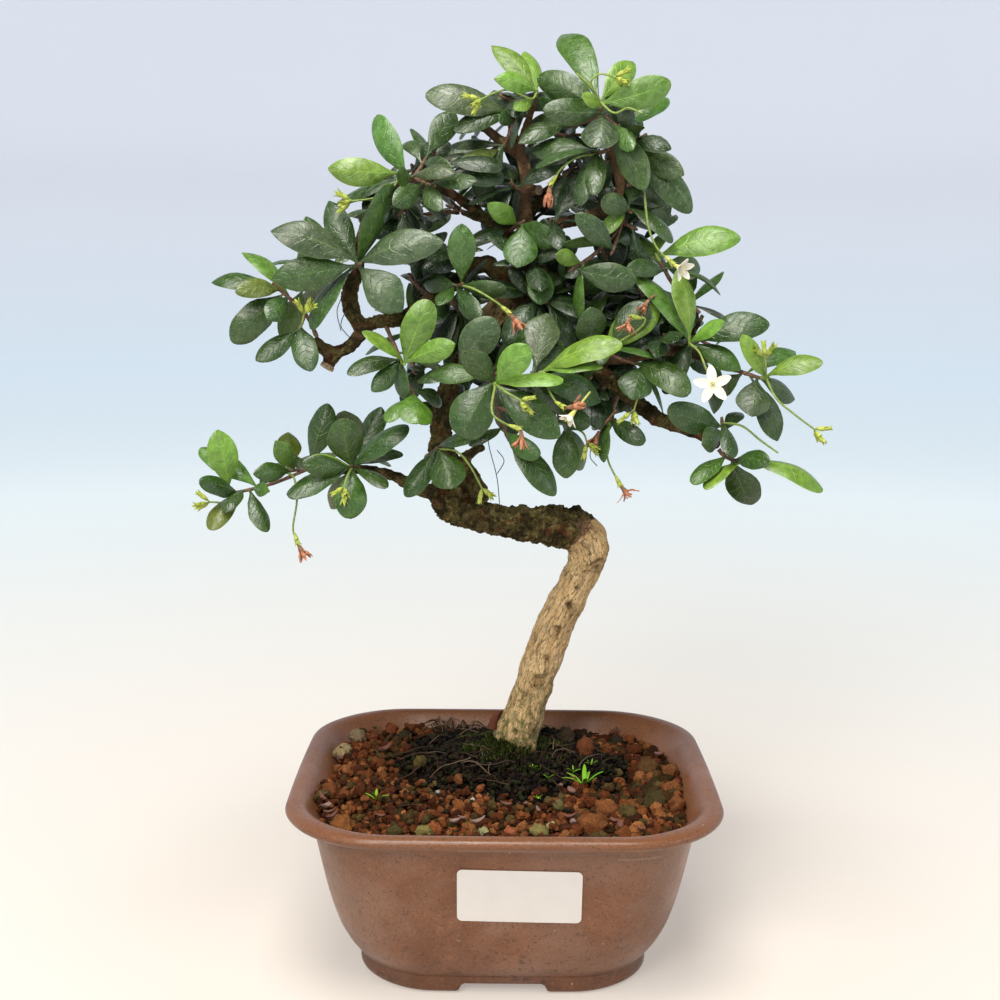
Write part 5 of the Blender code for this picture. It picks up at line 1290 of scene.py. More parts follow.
# Each spray: its shoots in order, the first grown from the wood and the rest from that stem
SPRAYS = {
    "spray_top_left": [
        Shoot((406, 176), -6, [
            Leaf((373, 115), 26, AWAY), Leaf((371, 165), 14), Leaf((455, 172), 15),
            Leaf((331, 204), 14, AWAY),
        ], [Leaf((328, 168), 28)]),
        Shoot((426, 158), 6, [Leaf((455, 111), 26, AWAY), Leaf((452, 168), 18), Leaf((404, 140), 16, AWAY)]),
        Shoot((433, 186), -2, [Leaf((477, 181), 14), Leaf((440, 209), 18), Leaf((392, 205), 22)]),
    ],
    "spray_top_arch": [
        Shoot((507, 112), 4, [Leaf((427, 92), 29), Leaf((454, 130), 18), Leaf((500, 121), 16)]),
        Shoot((500, 152), 8, [Leaf((459, 163), 14), Leaf((450, 143), 10, AWAY), Leaf((478, 196), 24, AWAY)]),
    ],
    "spray_crest": [
        Shoot((536, 97), 0, [Leaf((548, 104), 18), Leaf((519, 108), 8), Leaf((514, 143), 18, AWAY)], [
            Leaf((497, 78), 20), Leaf((492, 44), 22, AWAY), Leaf((526, 50), 16, AWAY),
        ]),
    ],
    "spray_top_right": [
        Shoot((601, 108), -8, [
            Leaf((562, 31), 26, AWAY), Leaf((537, 76), 30, AWAY), Leaf((545, 110), 26),
            Leaf((655, 82), 14, AWAY), Leaf((598, 147), 36),
        ], [Leaf((635, 62), 24, AWAY), Leaf((671, 83), 30), Leaf((582, 97), 14)]),
        Shoot((620, 128), -6, [Leaf((669, 97), 20, AWAY), Leaf((633, 150), 18), Leaf((645, 190), 26)]),
        Shoot((570, 126), 4, [Leaf((515, 145), 18), Leaf((530, 120), 16, AWAY)]),
    ],
    "spray_right_shoulder": [
        Shoot((640, 150), 2, [Leaf((684, 175), 24), Leaf((692, 210), 26), Leaf((672, 207), 24, AWAY)]),
    ],
    "spray_under_crest": [
        Shoot((593, 154), -6, [
            Leaf((578, 204), 20), Leaf((593, 199), 20), Leaf((530, 150), 22, AWAY),
            Leaf((604, 190), 16, AWAY), Leaf((532, 168), 16),
        ]),
    ],
    "spray_upper_right": [
        Shoot((630, 212), -4, [
            Leaf((603, 202), 22), Leaf((640, 176), 22, AWAY), Leaf((672, 238), 14), Leaf((606, 230), 14),
            Leaf((655, 200), 14, AWAY),
        ]),
        Shoot((612, 252), -8, [Leaf((575, 212), 18), Leaf((563, 243), 8), Leaf((632, 236), 16, AWAY)]),
        Shoot((572, 270), -10, [
            Leaf((636, 281), 28), Leaf((600, 292), 22, AWAY), Leaf((556, 255), 16), Leaf((578, 318), 18),
        ]),
    ],
    "spray_trunk_top": [
        Shoot((523, 222), 5, [Leaf((517, 268), 34), Leaf((556, 244), 24), Leaf((490, 205), 20)]),
        Shoot((545, 268), 6, [Leaf((539, 304), 26), Leaf((560, 300), 20, AWAY)]),
    ],
    "spray_centre_left": [
        Shoot((462, 284), -6, [
            Leaf((462, 224), 28), Leaf((500, 290), 20), Leaf((424, 284), 20, AWAY), Leaf((480, 318), 22),
            Leaf((438, 305), 14),
        ]),
    ],
    "spray_left": [
        Shoot((360, 264), -12, [
            Leaf((272, 228), 32), Leaf((328, 199), 28, AWAY), Leaf((272, 279), 34), Leaf((402, 312), 38),
            Leaf((443, 241), 32), Leaf((309, 328), 16), Leaf((392, 184), 36), Leaf((316, 279), 16),
        ]),
    ],
    "spray_far_left": [
        Shoot((276, 286), -10, [
            Leaf((212, 279), 18), Leaf((232, 292), 13), Leaf((232, 342), 32), Leaf((268, 318), 24),
            Leaf((244, 249), 18, AWAY),
        ]),
        Shoot((298, 332), -8, [Leaf((256, 361), 20), Leaf((311, 370), 26)]),
    ],
    "spray_mid_left": [
        Shoot((402, 362), -14, [
            Leaf((347, 374), 16), Leaf((377, 386), 20), Leaf((402, 384), 22), Leaf((440, 355), 22),
        ], [Leaf((429, 301), 32), Leaf((455, 344), 18), Leaf((362, 332), 11)]),
        Shoot((416, 400), -14, [Leaf((386, 422), 13), Leaf((420, 428), 36), Leaf((445, 402), 16, AWAY)]),
    ],
    "spray_centre": [
        Shoot((494, 384), -26, [
            Leaf((463, 352), 26), Leaf((461, 437), 44), Leaf((560, 437), 34), Leaf((434, 372), 20, AWAY),
        ], [Leaf((528, 346), 30), Leaf((563, 378), 14)]),
        Shoot((456, 366), -16, [Leaf((495, 319), 36), Leaf((430, 378), 14)]),
    ],
    "spray_centre_right": [
        Shoot((538, 374), -22, [
            Leaf((548, 309), 36), Leaf((563, 342), 26, AWAY), Leaf((606, 400), 28),
            Leaf((570, 410), 20, AWAY), Leaf((525, 330), 20, AWAY),
        ], [Leaf((622, 343), 24), Leaf((600, 365), 12)]),
    ],
    "spray_mid_right": [
        Shoot((588, 344), -6, [Leaf((593, 310), 32), Leaf((606, 284), 24, AWAY)]),
        Shoot((612, 346), -10, [
            Leaf((644, 309), 30), Leaf((600, 362), 14), Leaf((650, 356), 14), Leaf((657, 309), 32),
        ]),
        Shoot((646, 366), -8, [Leaf((632, 398), 34), Leaf((661, 409), 14), Leaf((697, 396), 30)]),
    ],
    "spray_under_centre": [
        Shoot((508, 438), -8, [Leaf((556, 495), 26), Leaf((539, 457), 20), Leaf((470, 445), 12)]),
        Shoot((568, 424), -6, [Leaf((566, 478), 28), Leaf((586, 470), 18, AWAY), Leaf((590, 422), 20)]),
        Shoot((612, 420), -2, [Leaf((643, 442), 20), Leaf((604, 462), 13)]),
    ],
    "spray_right_back": [
        Shoot((660, 262), 2, [
            Leaf((702, 270), 24, AWAY), Leaf((723, 290), 9), Leaf((628, 268), 18), Leaf((640, 232), 14, AWAY),
        ], [Leaf((740, 236), 28), Leaf((664, 232), 14, AWAY)]),
    ],
    "spray_right": [
        Shoot((690, 344), -6, [
            Leaf((641, 276), 32), Leaf((769, 322), 28), Leaf((741, 370), 22), Leaf((668, 318), 18, AWAY),
            Leaf((664, 392), 22),
        ], [Leaf((678, 268), 24, AWAY), Leaf((722, 321), 13)]),
    ],
    "spray_far_right": [
        Shoot((760, 378), -8, [
            Leaf((751, 415), 34), Leaf((804, 386), 18), Leaf((806, 405), 18), Leaf((778, 441), 26),
            Leaf((796, 350), 20, AWAY), Leaf((716, 394), 20, AWAY),
        ], [Leaf((741, 336), 16), Leaf((823, 362), 20)]),
    ],
    "spray_low_right": [
        Shoot((737, 461), -8, [Leaf((783, 463), 20), Leaf((757, 517), 35), Leaf((692, 483), 20)], [
            Leaf((825, 484), 16), Leaf((705, 489), 12),
        ]),
        Shoot((722, 420), -4, [
            Leaf((733, 458), 17), Leaf((668, 408), 30), Leaf((705, 444), 26), Leaf((742, 410), 16, AWAY),
        ]),
    ],
    "spray_low_left": [
        Shoot((284, 472), -6, [
            Leaf((288, 431), 26, AWAY), Leaf((254, 474), 20), Leaf((277, 443), 20), Leaf((300, 458), 12),
        ]),
        Shoot((234, 493), -10, [
            Leaf((189, 476), 18), Leaf((204, 533), 12), Leaf((219, 516), 18), Leaf((267, 532), 18),
            Leaf((268, 491), 15), Leaf((200, 448), 22, AWAY),
        ], [Leaf((217, 430), 31)]),
    ],
    "spray_low_left_mid": [
        Shoot((352, 466), -8, [
            Leaf((286, 496), 22), Leaf((300, 463), 20), Leaf((343, 421), 36), Leaf((407, 426), 22),
            Leaf((403, 452), 15, AWAY), Leaf((348, 518), 32), Leaf((330, 510), 16, AWAY),
            Leaf((387, 487), 13), Leaf((325, 460), 12),
        ]),
    ],
    "spray_trunk_low": [
        Shoot((437, 448), -4, [Leaf((453, 489), 37), Leaf((405, 496), 22), Leaf((476, 440), 12)]),
    ],
    "spray_back_left": [Shoot((408, 334), 68, fill=5), Shoot((452, 344), 60, fill=3)],
    "spray_back_far_left": [Shoot((330, 270), 34, fill=5), Shoot((298, 290), 22, fill=2)],
    "spray_back_right": [Shoot((622, 322), 70, fill=5), Shoot((572, 338), 62, fill=3)],
    "spray_back_far_right": [Shoot((690, 300), 40, fill=5), Shoot((720, 350), 26, fill=2)],
    "spray_back_top": [Shoot((572, 148), 54, fill=5), Shoot((610, 172), 38, fill=2)],
    "spray_back_upper_left": [Shoot((448, 206), 56, fill=5), Shoot((420, 170), 34, fill=2)],
    "spray_back_middle": [Shoot((520, 268), 52, fill=6)],
    "spray_back_low": [Shoot((520, 400), 54, fill=5), Shoot((560, 420), 30, fill=2)],
    "spray_back_low_left": [Shoot((352, 452), 30, fill=4), Shoot((300, 462), 22, fill=3)],
}

# %% Flower stalks
Stalk = namedtuple("Stalk", "spray shoot route ending")
STALKS = [
    Stalk("spray_crest", 0, [(531, 99, -5), (510, 90, -8), (494, 93, -8), (482, 99, -8)], "buds"),
    Stalk("spray_top_right", 0, [(596, 96, -10), (591, 82, -12), (600, 74, -13), (614, 77, -13)], "buds"),
    Stalk("spray_top_right", 0, [(614, 113, -13), (628, 108, -15), (641, 113, -16)], "tip"),
    Stalk("spray_top_right", 0, [(590, 86, -13), (577, 74, -14)], "tip"),
    Stalk("spray_under_crest", 0, [(578, 157, -12), (562, 168, -14), (552, 182, -14)], "flower_dried_top"),
    Stalk("spray_top_left", 0, [(388, 194, -9), (369, 199, -11), (352, 201, -12)], "buds"),
    Stalk("spray_far_left", 1, [(302, 324, -12), (304, 314, -13)], "buds"),
    Stalk("spray_centre_left", 0, [(476, 290, -14), (496, 302, -16), (507, 311, -16)], "flower_dried_middle"),
    Stalk("spray_centre", 0, [(506, 392, -34), (520, 400, -36)], "buds"),
    Stalk("spray_centre", 0, [(492, 412, -34), (506, 424, -34), (517, 428, -34)], "flower_dried_low"),
    Stalk("spray_centre_right", 0, [(548, 388, -31), (556, 402, -34), (562, 406, -35)],
          "flower_dried_centre"),
    Stalk("spray_mid_right", 1, [(638, 330, -18), (645, 319, -20), (634, 317, -21)], "flower_dried_right"),
    Stalk("spray_right", 0, [(699, 352, -13), (705, 366, -17), (710, 378, -17)], "flower_open"),
    Stalk("spray_far_right", 0, [(766, 368, -14), (765, 358, -15)], "buds"),
    Stalk("spray_far_right", 0, [(776, 398, -16), (794, 414, -17), (814, 429, -17)], "buds"),
    Stalk("spray_low_right", 1, [(742, 426, -10), (760, 440, -12), (777, 452, -13)], "tip"),
    Stalk("spray_low_left", 1, [(226, 502, -14), (210, 502, -15)], "buds"),
    Stalk("spray_low_left", 0, [(294, 478, -11), (297, 500, -12), (293, 528, -12), (297, 541, -12)],
          "flower_dried_low_left"),
    Stalk("spray_low_left_mid", 0, [(347, 477, -14), (344, 487, -16)], "buds"),
    Stalk("spray_trunk_low", 0, [(456, 451, -8), (470, 466, -9), (482, 488, -9)], "buds"),
    Stalk("spray_under_centre", 2, [(608, 440, -8), (608, 460, -9), (619, 483, -9)],
          "flower_dried_low_right"),
    Stalk("spray_under_centre", 1, [(582, 432, -12), (587, 442, -13)], "buds"),
    Stalk("spray_right_shoulder", 0, [(644, 190, -8), (648, 225, -10), (657, 248, -11), (671, 262, -11)],
          "flower_half_open"),
    Stalk("spray_mid_right", 2, [(640, 388, -16), (634, 410, -16)], "buds"),
]
# Where each flower faces: pixel and depth of its middle, spread of its lobes in degrees, lobe length
Flower = namedtuple("Flower", "middle spread length")
FLOWERS = {
    "flower_open": Flower((711, 383, -34), 82, 0.0061),
    "flower_half_open": Flower((685, 268, -16), 44, 0.0046),
    "flower_dried_top": Flower((551, 205, -15), 22, 0.0050),
    "flower_dried_middle": Flower((518, 326, -17), 22, 0.0050),
    "flower_dried_low": Flower((514, 446, -35), 34, 0.0044),
    "flower_dried_centre": Flower((584, 400, -37), 24, 0.0044),
    "flower_dried_right": Flower((633, 338, -22), 48, 0.0044),
    "flower_dried_low_left": Flower((305, 556, -13), 34, 0.0044),
    "flower_dried_low_right": Flower((631, 496, -10), 58, 0.0046),
}

# %% [markdown]
# ## Growing the twigs and settling the leaves
#
# A leaf whose tip and width are known in the picture still has one free turn: how far it leans
# towards the viewer. `settle` tries small leans, rolls and shrinks in a fixed order and keeps the
# first that misses everything already standing in the crown. That is slower than scattering leaves,
# but every leaf then stands free as on the living plant.

# %% Wood
FOOT_LEVEL = 0.0665
PLUG_RADIUS = 0.0085
# Heights of the root plug's rings
PLUG_LEVELS = (0.030, 0.045, 0.0625)


def point_of(pixel):
    """The point of a pixel with a depth in millimetres."""
    column, row, depth = pixel
    return seen_at(column, row, depth / 1000)


def placed_route(pixels):
    return [(point_of(pixel), radius / 1000) for *pixel, radius in pixels]


def foot_point():
    return Vector((TRUNK_FOOT.x, TRUNK_FOOT.y, FOOT_LEVEL))


def plain_wood():
    """The limbs as plain tubes, for the leaves to keep clear of."""
    foot = foot_point()
    plug = [(Vector((foot.x, foot.y, z)), PLUG_RADIUS - 0.0006 * (z < 0.04)) for z in PLUG_LEVELS]
    tubes = [tube(placed_route(TRUNK_ROUTE), 8, 0.16, 0.12), tube(plug + [(foot, PLUG_RADIUS)], 9)]
    return tubes + [tube(placed_route(pixels), 5, 0.10) for pixels in (LIMBS | STUBS).values()]

# %% Crowd
Placed = namedtuple("Placed", "node whole outer")


def tree_of(solid):
    return BVHTree.FromPolygons([tuple(point) for point in solid[0]], solid[1])


class Crowd:
    """What stands in the crown so far.

    Other nodes stay clear of all of it, and the same node of its outer part.
    """

    def __init__(self):
        self.items = []
        self.lows = np.zeros((0, 3))
        self.highs = np.zeros((0, 3))

    def add(self, node, whole, outer=None):
        spots = np.array([tuple(point) for point in whole[0]])
        tree = tree_of(whole)
        self.items.append(Placed(node, tree, tree_of(outer) if outer else tree))
        self.lows = np.vstack([self.lows, spots.min(axis=0)])
        self.highs = np.vstack([self.highs, spots.max(axis=0)])

    def meets(self, node, whole, outer=None):
        """Whether the solid crosses another node, or its outer part crosses its own node."""
        spots = np.array([tuple(point) for point in whole[0]])
        inside = (self.lows < spots.max(axis=0)) & (self.highs > spots.min(axis=0))
        near = np.nonzero(np.all(inside, axis=1))[0]
        if not len(near):
            return False
        whole_tree = tree_of(whole)
        outer_tree = tree_of(outer) if outer else None
        for index in near:
            item = self.items[index]
            if item.node != node:
                if whole_tree.overlap(item.whole):
                    return True
            elif outer_tree is not None and outer_tree.overlap(item.outer):
                return True
        return False

# %% Plain leaf and its poses
BLADE = 0.0006
GAP = 0.00035
ROOT_SHARE = 0.09
ROOT_SINK = -0.03


def blade(base, tip, normal, width, thick=BLADE, arch=0.10, cup=0.10, root=ROOT_SINK):
    """A closed leaf blade: widest past its middle, blunt at the tip, arched and bent down at its edges."""
    along = tip - base
    length = along.length
    along = along.normalized()
    normal = squared(normal, along)
    across = along.cross(normal)

    def spot(share, half):
        rise = arch * length * 4 * share * (1 - share) - cup * abs(half) * width
        return base + along * (length * share) + across * (half * width) + normal * rise

    upper = [
        spot(root, 0.0),
        spot(0.40, -0.38), spot(0.40, 0.38),
        spot(0.74, -0.48), spot(0.74, 0.48),
        spot(0.985, -0.16), spot(0.985, 0.16),
    ]
    top = [point + normal * (thick / 2) for point in upper]
    bottom = [point - normal * (thick / 2) for point in upper]
    face = [(0, 2, 1), (1, 2, 4), (1, 4, 3), (3, 4, 6), (3, 6, 5)]
    rim = [0, 2, 4, 6, 5, 3, 1]
    count = len(upper)
    faces = list(face) + [tuple(count + index for index in reversed(corner)) for corner in face]
    for here, there in zip(rim, rim[1:] + rim[:1]):
        faces.append((here, here + count, there + count))
        faces.append((here, there + count, there))
    return top + bottom, faces


LEAF_SHAPE = 0.44
FILL_LENGTH = 0.023
GOLDEN_ANGLE = math.radians(137.5)


def hero_pose(base, leaf):
    """Tip, normal and width of a leaf whose tip and seen width are known."""
    seen = seen_at(leaf.tip[0], leaf.tip[1], base.y)
    in_plane = seen - base
    shown = in_plane.length
    length = max(shown * 1.03, shown * 0.55 + 0.0105)
    out = math.sqrt(max(length ** 2 - shown ** 2, 0.0))
    view = towards_viewer(seen)
    tip = seen + view * out * leaf.side
    shown_width = leaf.wide * (VIEW_DISTANCE + base.y) / FOCAL_PIXELS
    width = max(shown_width, LEAF_SHAPE * length * 0.86)
    roll = math.acos(min(shown_width / width, 1.0))
    along = (tip - base).normalized()
    facing = squared(view, along)
    side = along.cross(facing)
    if side.z < 0:
        side = -side
    normal = facing * math.cos(roll) + side * math.sin(roll)
    return tip, normal, width


def fill_pose(base, direction, length, outward):
    tip = base + direction * length
    lift = Vector((0, 0, 1)) * 0.8 + outward * 0.5
    return tip, squared(lift, direction), length * LEAF_SHAPE


LEANS = (0, 8, -8, 16, -16, 26, -26, 38, -38, 52, -52)
ROLLS = (0, 25, -25, 50)
SHRINKS = (1.0, 0.88, 0.76, 0.64)


def settle(crowd, node, base, pose):
    """The first small turn or shrink of the leaf that keeps it clear of other nodes, or None."""
    tip, normal, width = pose
    along = tip - base
    view = towards_viewer(tip)
    hinge = along.cross(view)
    hinge = hinge.normalized() if hinge.length > 1e-6 else Vector((1, 0, 0))
    for shrink in SHRINKS:
        for lean in LEANS:
            turned = Matrix.Rotation(math.radians(lean), 3, hinge)
            reach = turned @ (along * shrink)
            faced = turned @ normal
            for roll in ROLLS:
                rolled = Matrix.Rotation(math.radians(roll), 3, reach.normalized()) @ faced
                wide = width * shrink
                test = blade(base, base + reach * 1.02, rolled, wide + 2 * GAP, BLADE + 2 * GAP)
                outer = blade(base, base + reach, rolled, wide, root=ROOT_SHARE)
                if not crowd.meets(node, test, outer):
                    return base + reach, rolled, wide
    return None

# %% Twigs
Stem = namedtuple("Stem", "route heart along")
TWIG_RADIUS = 0.0009
NODE_SPACING = 0.0015
ASIDE = Vector((0.00017, 0.00011, 0.00013))


def wood_starts(trees, heart):
    """Places on the wood for a twig to leave from, nearest first, as (start, direction) pairs."""
    found = []
    for tree in trees:
        place, normal, _, distance = tree.find_nearest(heart)
        found.append((distance, place, normal))
    found.sort(key=lambda item: item[0])
    for _, place, normal in found[:4]:
        towards = (heart - place).normalized()
        for lean in (0.0, 0.35, 0.7):
            leave = normal.lerp(towards, lean).normalized()
            tilt = leave.cross(normal).length
            yield place + normal * (GAP * 1.2 + TWIG_RADIUS * tilt), leave


def stem_starts(stems, heart):
    """Places on a spray's own twigs for the next twig to leave from, nearest first."""
    spots = [spot for stem in stems for spot, _ in stem.route[:-1]]
    for spot in sorted(spots, key=lambda spot: (spot - heart).length):
        start = spot + ASIDE
        yield start, (heart - start).normalized()


def bent_route(start, leave, end, arrive, radii, count):
    """A curve from start to end with given directions at both ends, as (point, radius) pairs."""
    span = (end - start).length * 0.9
    route = []
    for step in range(count + 1):
        t = step / count
        spot = (
            start * (2 * t ** 3 - 3 * t ** 2 + 1) + leave * span * (t ** 3 - 2 * t ** 2 + t)
            + end * (3 * t ** 2 - 2 * t ** 3) + arrive * span * (t ** 3 - t ** 2)
        )
        route.append((spot, radii[0] + (radii[1] - radii[0]) * t))
    return route


def on_stem(stem, back):
    """The point on a twig this far back from its end."""
    spots = [spot for spot, _ in stem.route][::-1]
    for here, there in zip(spots, spots[1:]):
        step = (there - here).length
        if back <= step:
            return here.lerp(there, back / step)
        back -= step
    return spots[-2]


def leaf_place(stem, index, count):
    """Where the twig carries a leaf, counted from its end."""
    length = sum((there[0] - here[0]).length for here, there in zip(stem.route, stem.route[1:]))
    spacing = min(NODE_SPACING, (length - 0.0030) / max(count, 1))
    return on_stem(stem, 0.0009 + spacing * index)


def grow_stems(crowd, trees):
    """Every spray's twigs: the first rises from the wood, the others from the spray's own stem."""
    stems = {}
    for node, shoots in SPRAYS.items():
        stems[node] = []
        for shoot in shoots:
            heart = point_of((*shoot.heart, shoot.depth))
            starts = stem_starts(stems[node], heart) if stems[node] else wood_starts(trees, heart)
            root = TWIG_RADIUS * (0.83 if stems[node] else 1.0)
            for start, leave in starts:
                arrive = ((heart - start).normalized() + Vector((0, 0, 0.35))).normalized()
                route = bent_route(start, leave, heart, arrive, (root, TWIG_RADIUS * 0.80), 2)
                thicker = tree_of(tube([(spot, radius + GAP) for spot, radius in route], 5))
                if not any(tree.overlap(thicker) for tree in trees):
                    break
            else:
                print(node, "has a twig that meets the wood")
            stems[node].append(Stem(route, heart, arrive))
            crowd.add(node, tube(route, 4))
    return stems

# %% Stalks and flowers
STALK_RADIUS = 0.0004


def spindle(middle, along, length, radius):
    """A bud: four-sided and pointed at both ends."""
    normal = along.orthogonal().normalized()
    across = along.cross(normal)
    belly = middle - along * (length * 0.1)
    ring = [belly + way * radius for way in (normal, across, -normal, -across)]
    points = [middle - along * (length / 2)] + ring + [middle + along * (length / 2)]
    faces = []
    for side in range(4):
        here = 1 + side
        there = 1 + (side + 1) % 4
        faces.append((0, there, here))
        faces.append((5, here, there))
    return points, faces


def grow_buds(route):
    """A small cluster of buds round the end of a stalk."""
    end, _ = route[-1]
    along = (end - route[-2][0]).normalized()
    normal = along.orthogonal().normalized()
    buds = []
    for index in range(2):
        around = Matrix.Rotation(math.pi * index + 0.6, 3, along) @ normal
        aim = (along + around * 0.8).normalized()
        buds.append(spindle(end + aim * 0.0018, aim, 0.0052, 0.0008))
    return buds


def grow_stalks(crowd, stems):
    """Each stalk's route, and where it ends, kept clear of what grows later."""
    grown = []
    for stalk in STALKS:
        stem = stems[stalk.spray][stalk.shoot]
        shoot = SPRAYS[stalk.spray][stalk.shoot]
        node = stalk.spray
        start = stem.heart - stem.along * 0.0010
        if shoot.fresh:
            node = fresh_name(stalk.spray)
            start = stem.heart + stem.along * 0.0022
        points = [start] + [point_of(pixel) for pixel in stalk.route]
        route = [(point, STALK_RADIUS) for point in points]
        crowd.add(node, tube(route, 3))
        along = (points[-1] - points[-2]).normalized()
        if stalk.ending == "buds":
            for bud in grow_buds(route):
                crowd.add(node, bud)
        elif stalk.ending != "tip":
            crowd.add(node, tube([(points[-1] - along * 0.0016, 0.0005), (points[-1], 0.0011)], 4))
        grown.append((node, stalk.ending, route, along))
    return grown


def fresh_name(spray):
    return spray.replace("spray", "fresh")


def flower_axis(end, along, flower):
    """The way a flower faces, the foot of its throat and its mouth."""
    aim = (point_of(flower.middle) - end).normalized()
    throat = end + along * (GAP + 0.0001 + 0.0009 * along.cross(aim).length)
    return aim, throat, throat + (along + aim).normalized() * 0.0012 + aim * 0.0018


def grow_corolla(end, along, flower):
    """A flower seated on its calyx: a short throat that opens into a star of five lobes."""
    aim, throat, mouth = flower_axis(end, along, flower)
    normal = aim.orthogonal().normalized()
    tilt = math.radians(flower.spread)

    def star(middle, inner, outer, lift):
        ring = []
        for index in range(10):
            around = Matrix.Rotation(math.pi * index / 5 + 0.3, 3, aim) @ normal
            reach = outer if index % 2 == 0 else inner
            spread = aim * math.cos(tilt) + around * math.sin(tilt)
            ring.append(middle + around * 0.0009 + spread * reach + aim * lift)
        return ring

    rings = [
        star(throat, 0.0, 0.0, 0.0),
        star(mouth, 0.0, 0.0, 0.0),
        star(mouth, 0.0016, flower.length * 0.96, 0.0),
        star(mouth, 0.0016, flower.length, BLADE),
        star(mouth, 0.0004, flower.length * 0.30, BLADE * 1.4),
    ]
    return loft(rings)

# %% Grow everything
SEED = 11
FILL_TRIES = 24
# Leaves that fill a twig: their angle from it in degrees, and their length against the usual
FILL_ANGLES = (48, 100)
FILL_LENGTHS = (0.82, 1.08)


def grow_leaves(crowd, stems):
    """Every leaf's settled pose, as (node, pixel of its tip, base, tip, normal, width)."""
    draw = random.Random(SEED + 2)
    leaves = []

    def place(node, base, pose, shown):
        base = base + Vector((draw.uniform(-1, 1), draw.uniform(-1, 1), draw.uniform(-1, 1))) * 0.0001
        settled = settle(crowd, node, base, pose)
        if settled is not None:
            crowd.add(node, blade(base, *settled), blade(base, *settled, root=ROOT_SHARE))
            leaves.append((node, shown, base, *settled))

    for node, shoots in SPRAYS.items():
        for shoot, stem in zip(shoots, stems[node]):
            for leaf in shoot.fresh:
                base = stem.heart + stem.along * 0.0018
                place(fresh_name(node), base, hero_pose(base, leaf), leaf.tip)
    for node, shoots in SPRAYS.items():
        for shoot, stem in zip(shoots, stems[node]):
            for index, leaf in enumerate(shoot.leaves):
                base = leaf_place(stem, index, len(shoot.leaves) + shoot.fill)
                place(node, base, hero_pose(base, leaf), leaf.tip)
    for node, shoots in SPRAYS.items():
        for shoot, stem in zip(shoots, stems[node]):
            turn = draw.uniform(0, 6.28)
            side = stem.along.orthogonal().normalized()
            filled = 0
            step = 0
            while filled < shoot.fill and step < FILL_TRIES:
                turn += GOLDEN_ANGLE
                polar = math.radians(draw.uniform(*FILL_ANGLES))
                length = FILL_LENGTH * draw.uniform(*FILL_LENGTHS)
                step += 1
                out = Matrix.Rotation(turn, 3, stem.along) @ side
                direction = stem.along * math.cos(polar) + out * math.sin(polar)
                if shoot.leaves and direction.y < 0.25:
                    continue
                base = leaf_place(stem, len(shoot.leaves) + filled, len(shoot.leaves) + shoot.fill)
                place(node, base, fill_pose(base, direction, length, out), "fill")
                filled += 1
    return leaves


def grow_plant():
    """Twigs, stalks, flowers and leaves in the order in which each keeps clear of the ones before."""
    crowd = Crowd()
    for solid in plain_wood():
        crowd.add("trunk", solid)
    trees = [item.whole for item in crowd.items]
    stems = grow_stems(crowd, trees)
    for node, shoots in SPRAYS.items():
        for shoot, stem in zip(shoots, stems[node]):
            if shoot.fresh:
                bud = [(stem.heart + stem.along * GAP, 0.0008), (stem.heart + stem.along * 0.0030, 0.0007)]
                crowd.add(fresh_name(node), tube(bud, 5))
    stalks = grow_stalks(crowd, stems)
    for node, ending, route, along in stalks:
        if ending in FLOWERS:
            crowd.add(ending, grow_corolla(route[-1][0], along, FLOWERS[ending]))
    return crowd, stems, stalks, grow_leaves(crowd, stems)


crowd, stems, stalks, leaves = grow_plant()
print(len(leaves), "leaves,", sum(len(found) for found in stems.values()), "twigs,", len(stalks), "stalks")

# %% [markdown]
# ## The trunk
#
# The trunk rises from the soil, turns sharply left at an old pruning wound, and climbs on through
# thinner and thinner leaders. Rather than stack separate tubes, all limbs are drawn as smooth tubes
# and then fused by a voxel remesh, which gives one skin that flows from limb to limb. The bark is
# carved into that skin: cracks that run along each limb, flaky plates on the oldest part.

# %% Fuse the limbs
WOOD_SPANS = 6
WOOD_SIDES = 22
VOXEL = 0.00068
# Swellings under the bend and at its elbow, and a short cut fork, that only the fine skin shows
SWELLINGS = {
    "elbow": [(442, 494, 13, 5.2), (450, 506, 13, 6.0), (472, 515, 13, 5.8), (504, 522, 13, 5.8)],
    "fork": [(482, 500, 12, 4.6), (472, 477, 10, 3.2), (465, 461, 9, 2.5), (473, 452, 9, 1.9),
             (484, 446, 9, 1.5)],
}


def wood_routes():
    """Every limb as a smooth route, the trunk first."""
    foot = foot_point()
    buried = (Vector((foot.x, foot.y, SOIL_LEVEL - 0.010)), PLUG_RADIUS)
    routes = {"trunk": smooth_route(placed_route(TRUNK_ROUTE), WOOD_SPANS)}
    routes["foot"] = smooth_route([buried, (foot, PLUG_RADIUS)], WOOD_SPANS)
    for name, pixels in (LIMBS | STUBS | SWELLINGS).items():
        routes[name] = smooth_route(placed_route(pixels), WOOD_SPANS)
    return routes


def fused_wood(routes):
    """One closed skin round all limbs."""
    points = []
    faces = []
    for name, route in routes.items():
        rough = (0.16, 0.12) if name == "trunk" else (0.10, 0.04)
        made, sides = tube(route, WOOD_SIDES, *rough)
        faces += [tuple(len(points) + index for index in face) for face in sides]
        points += made
    solid = build("limbs", points, faces, [])
    fuse = solid.modifiers.new("fuse", "REMESH")
    fuse.mode = "VOXEL"
    fuse.voxel_size = VOXEL
    ease = solid.modifiers.new("ease", "SMOOTH")
    ease.factor = 0.5
    ease.iterations = 3
    graph = bpy.context.evaluated_depsgraph_get()
    skin = bpy.data.meshes.new_from_object(solid.evaluated_get(graph))
    bpy.data.objects.remove(solid, do_unlink=True)
    skin.transform(Matrix.Translation(-POT_MIDDLE))
    return skin

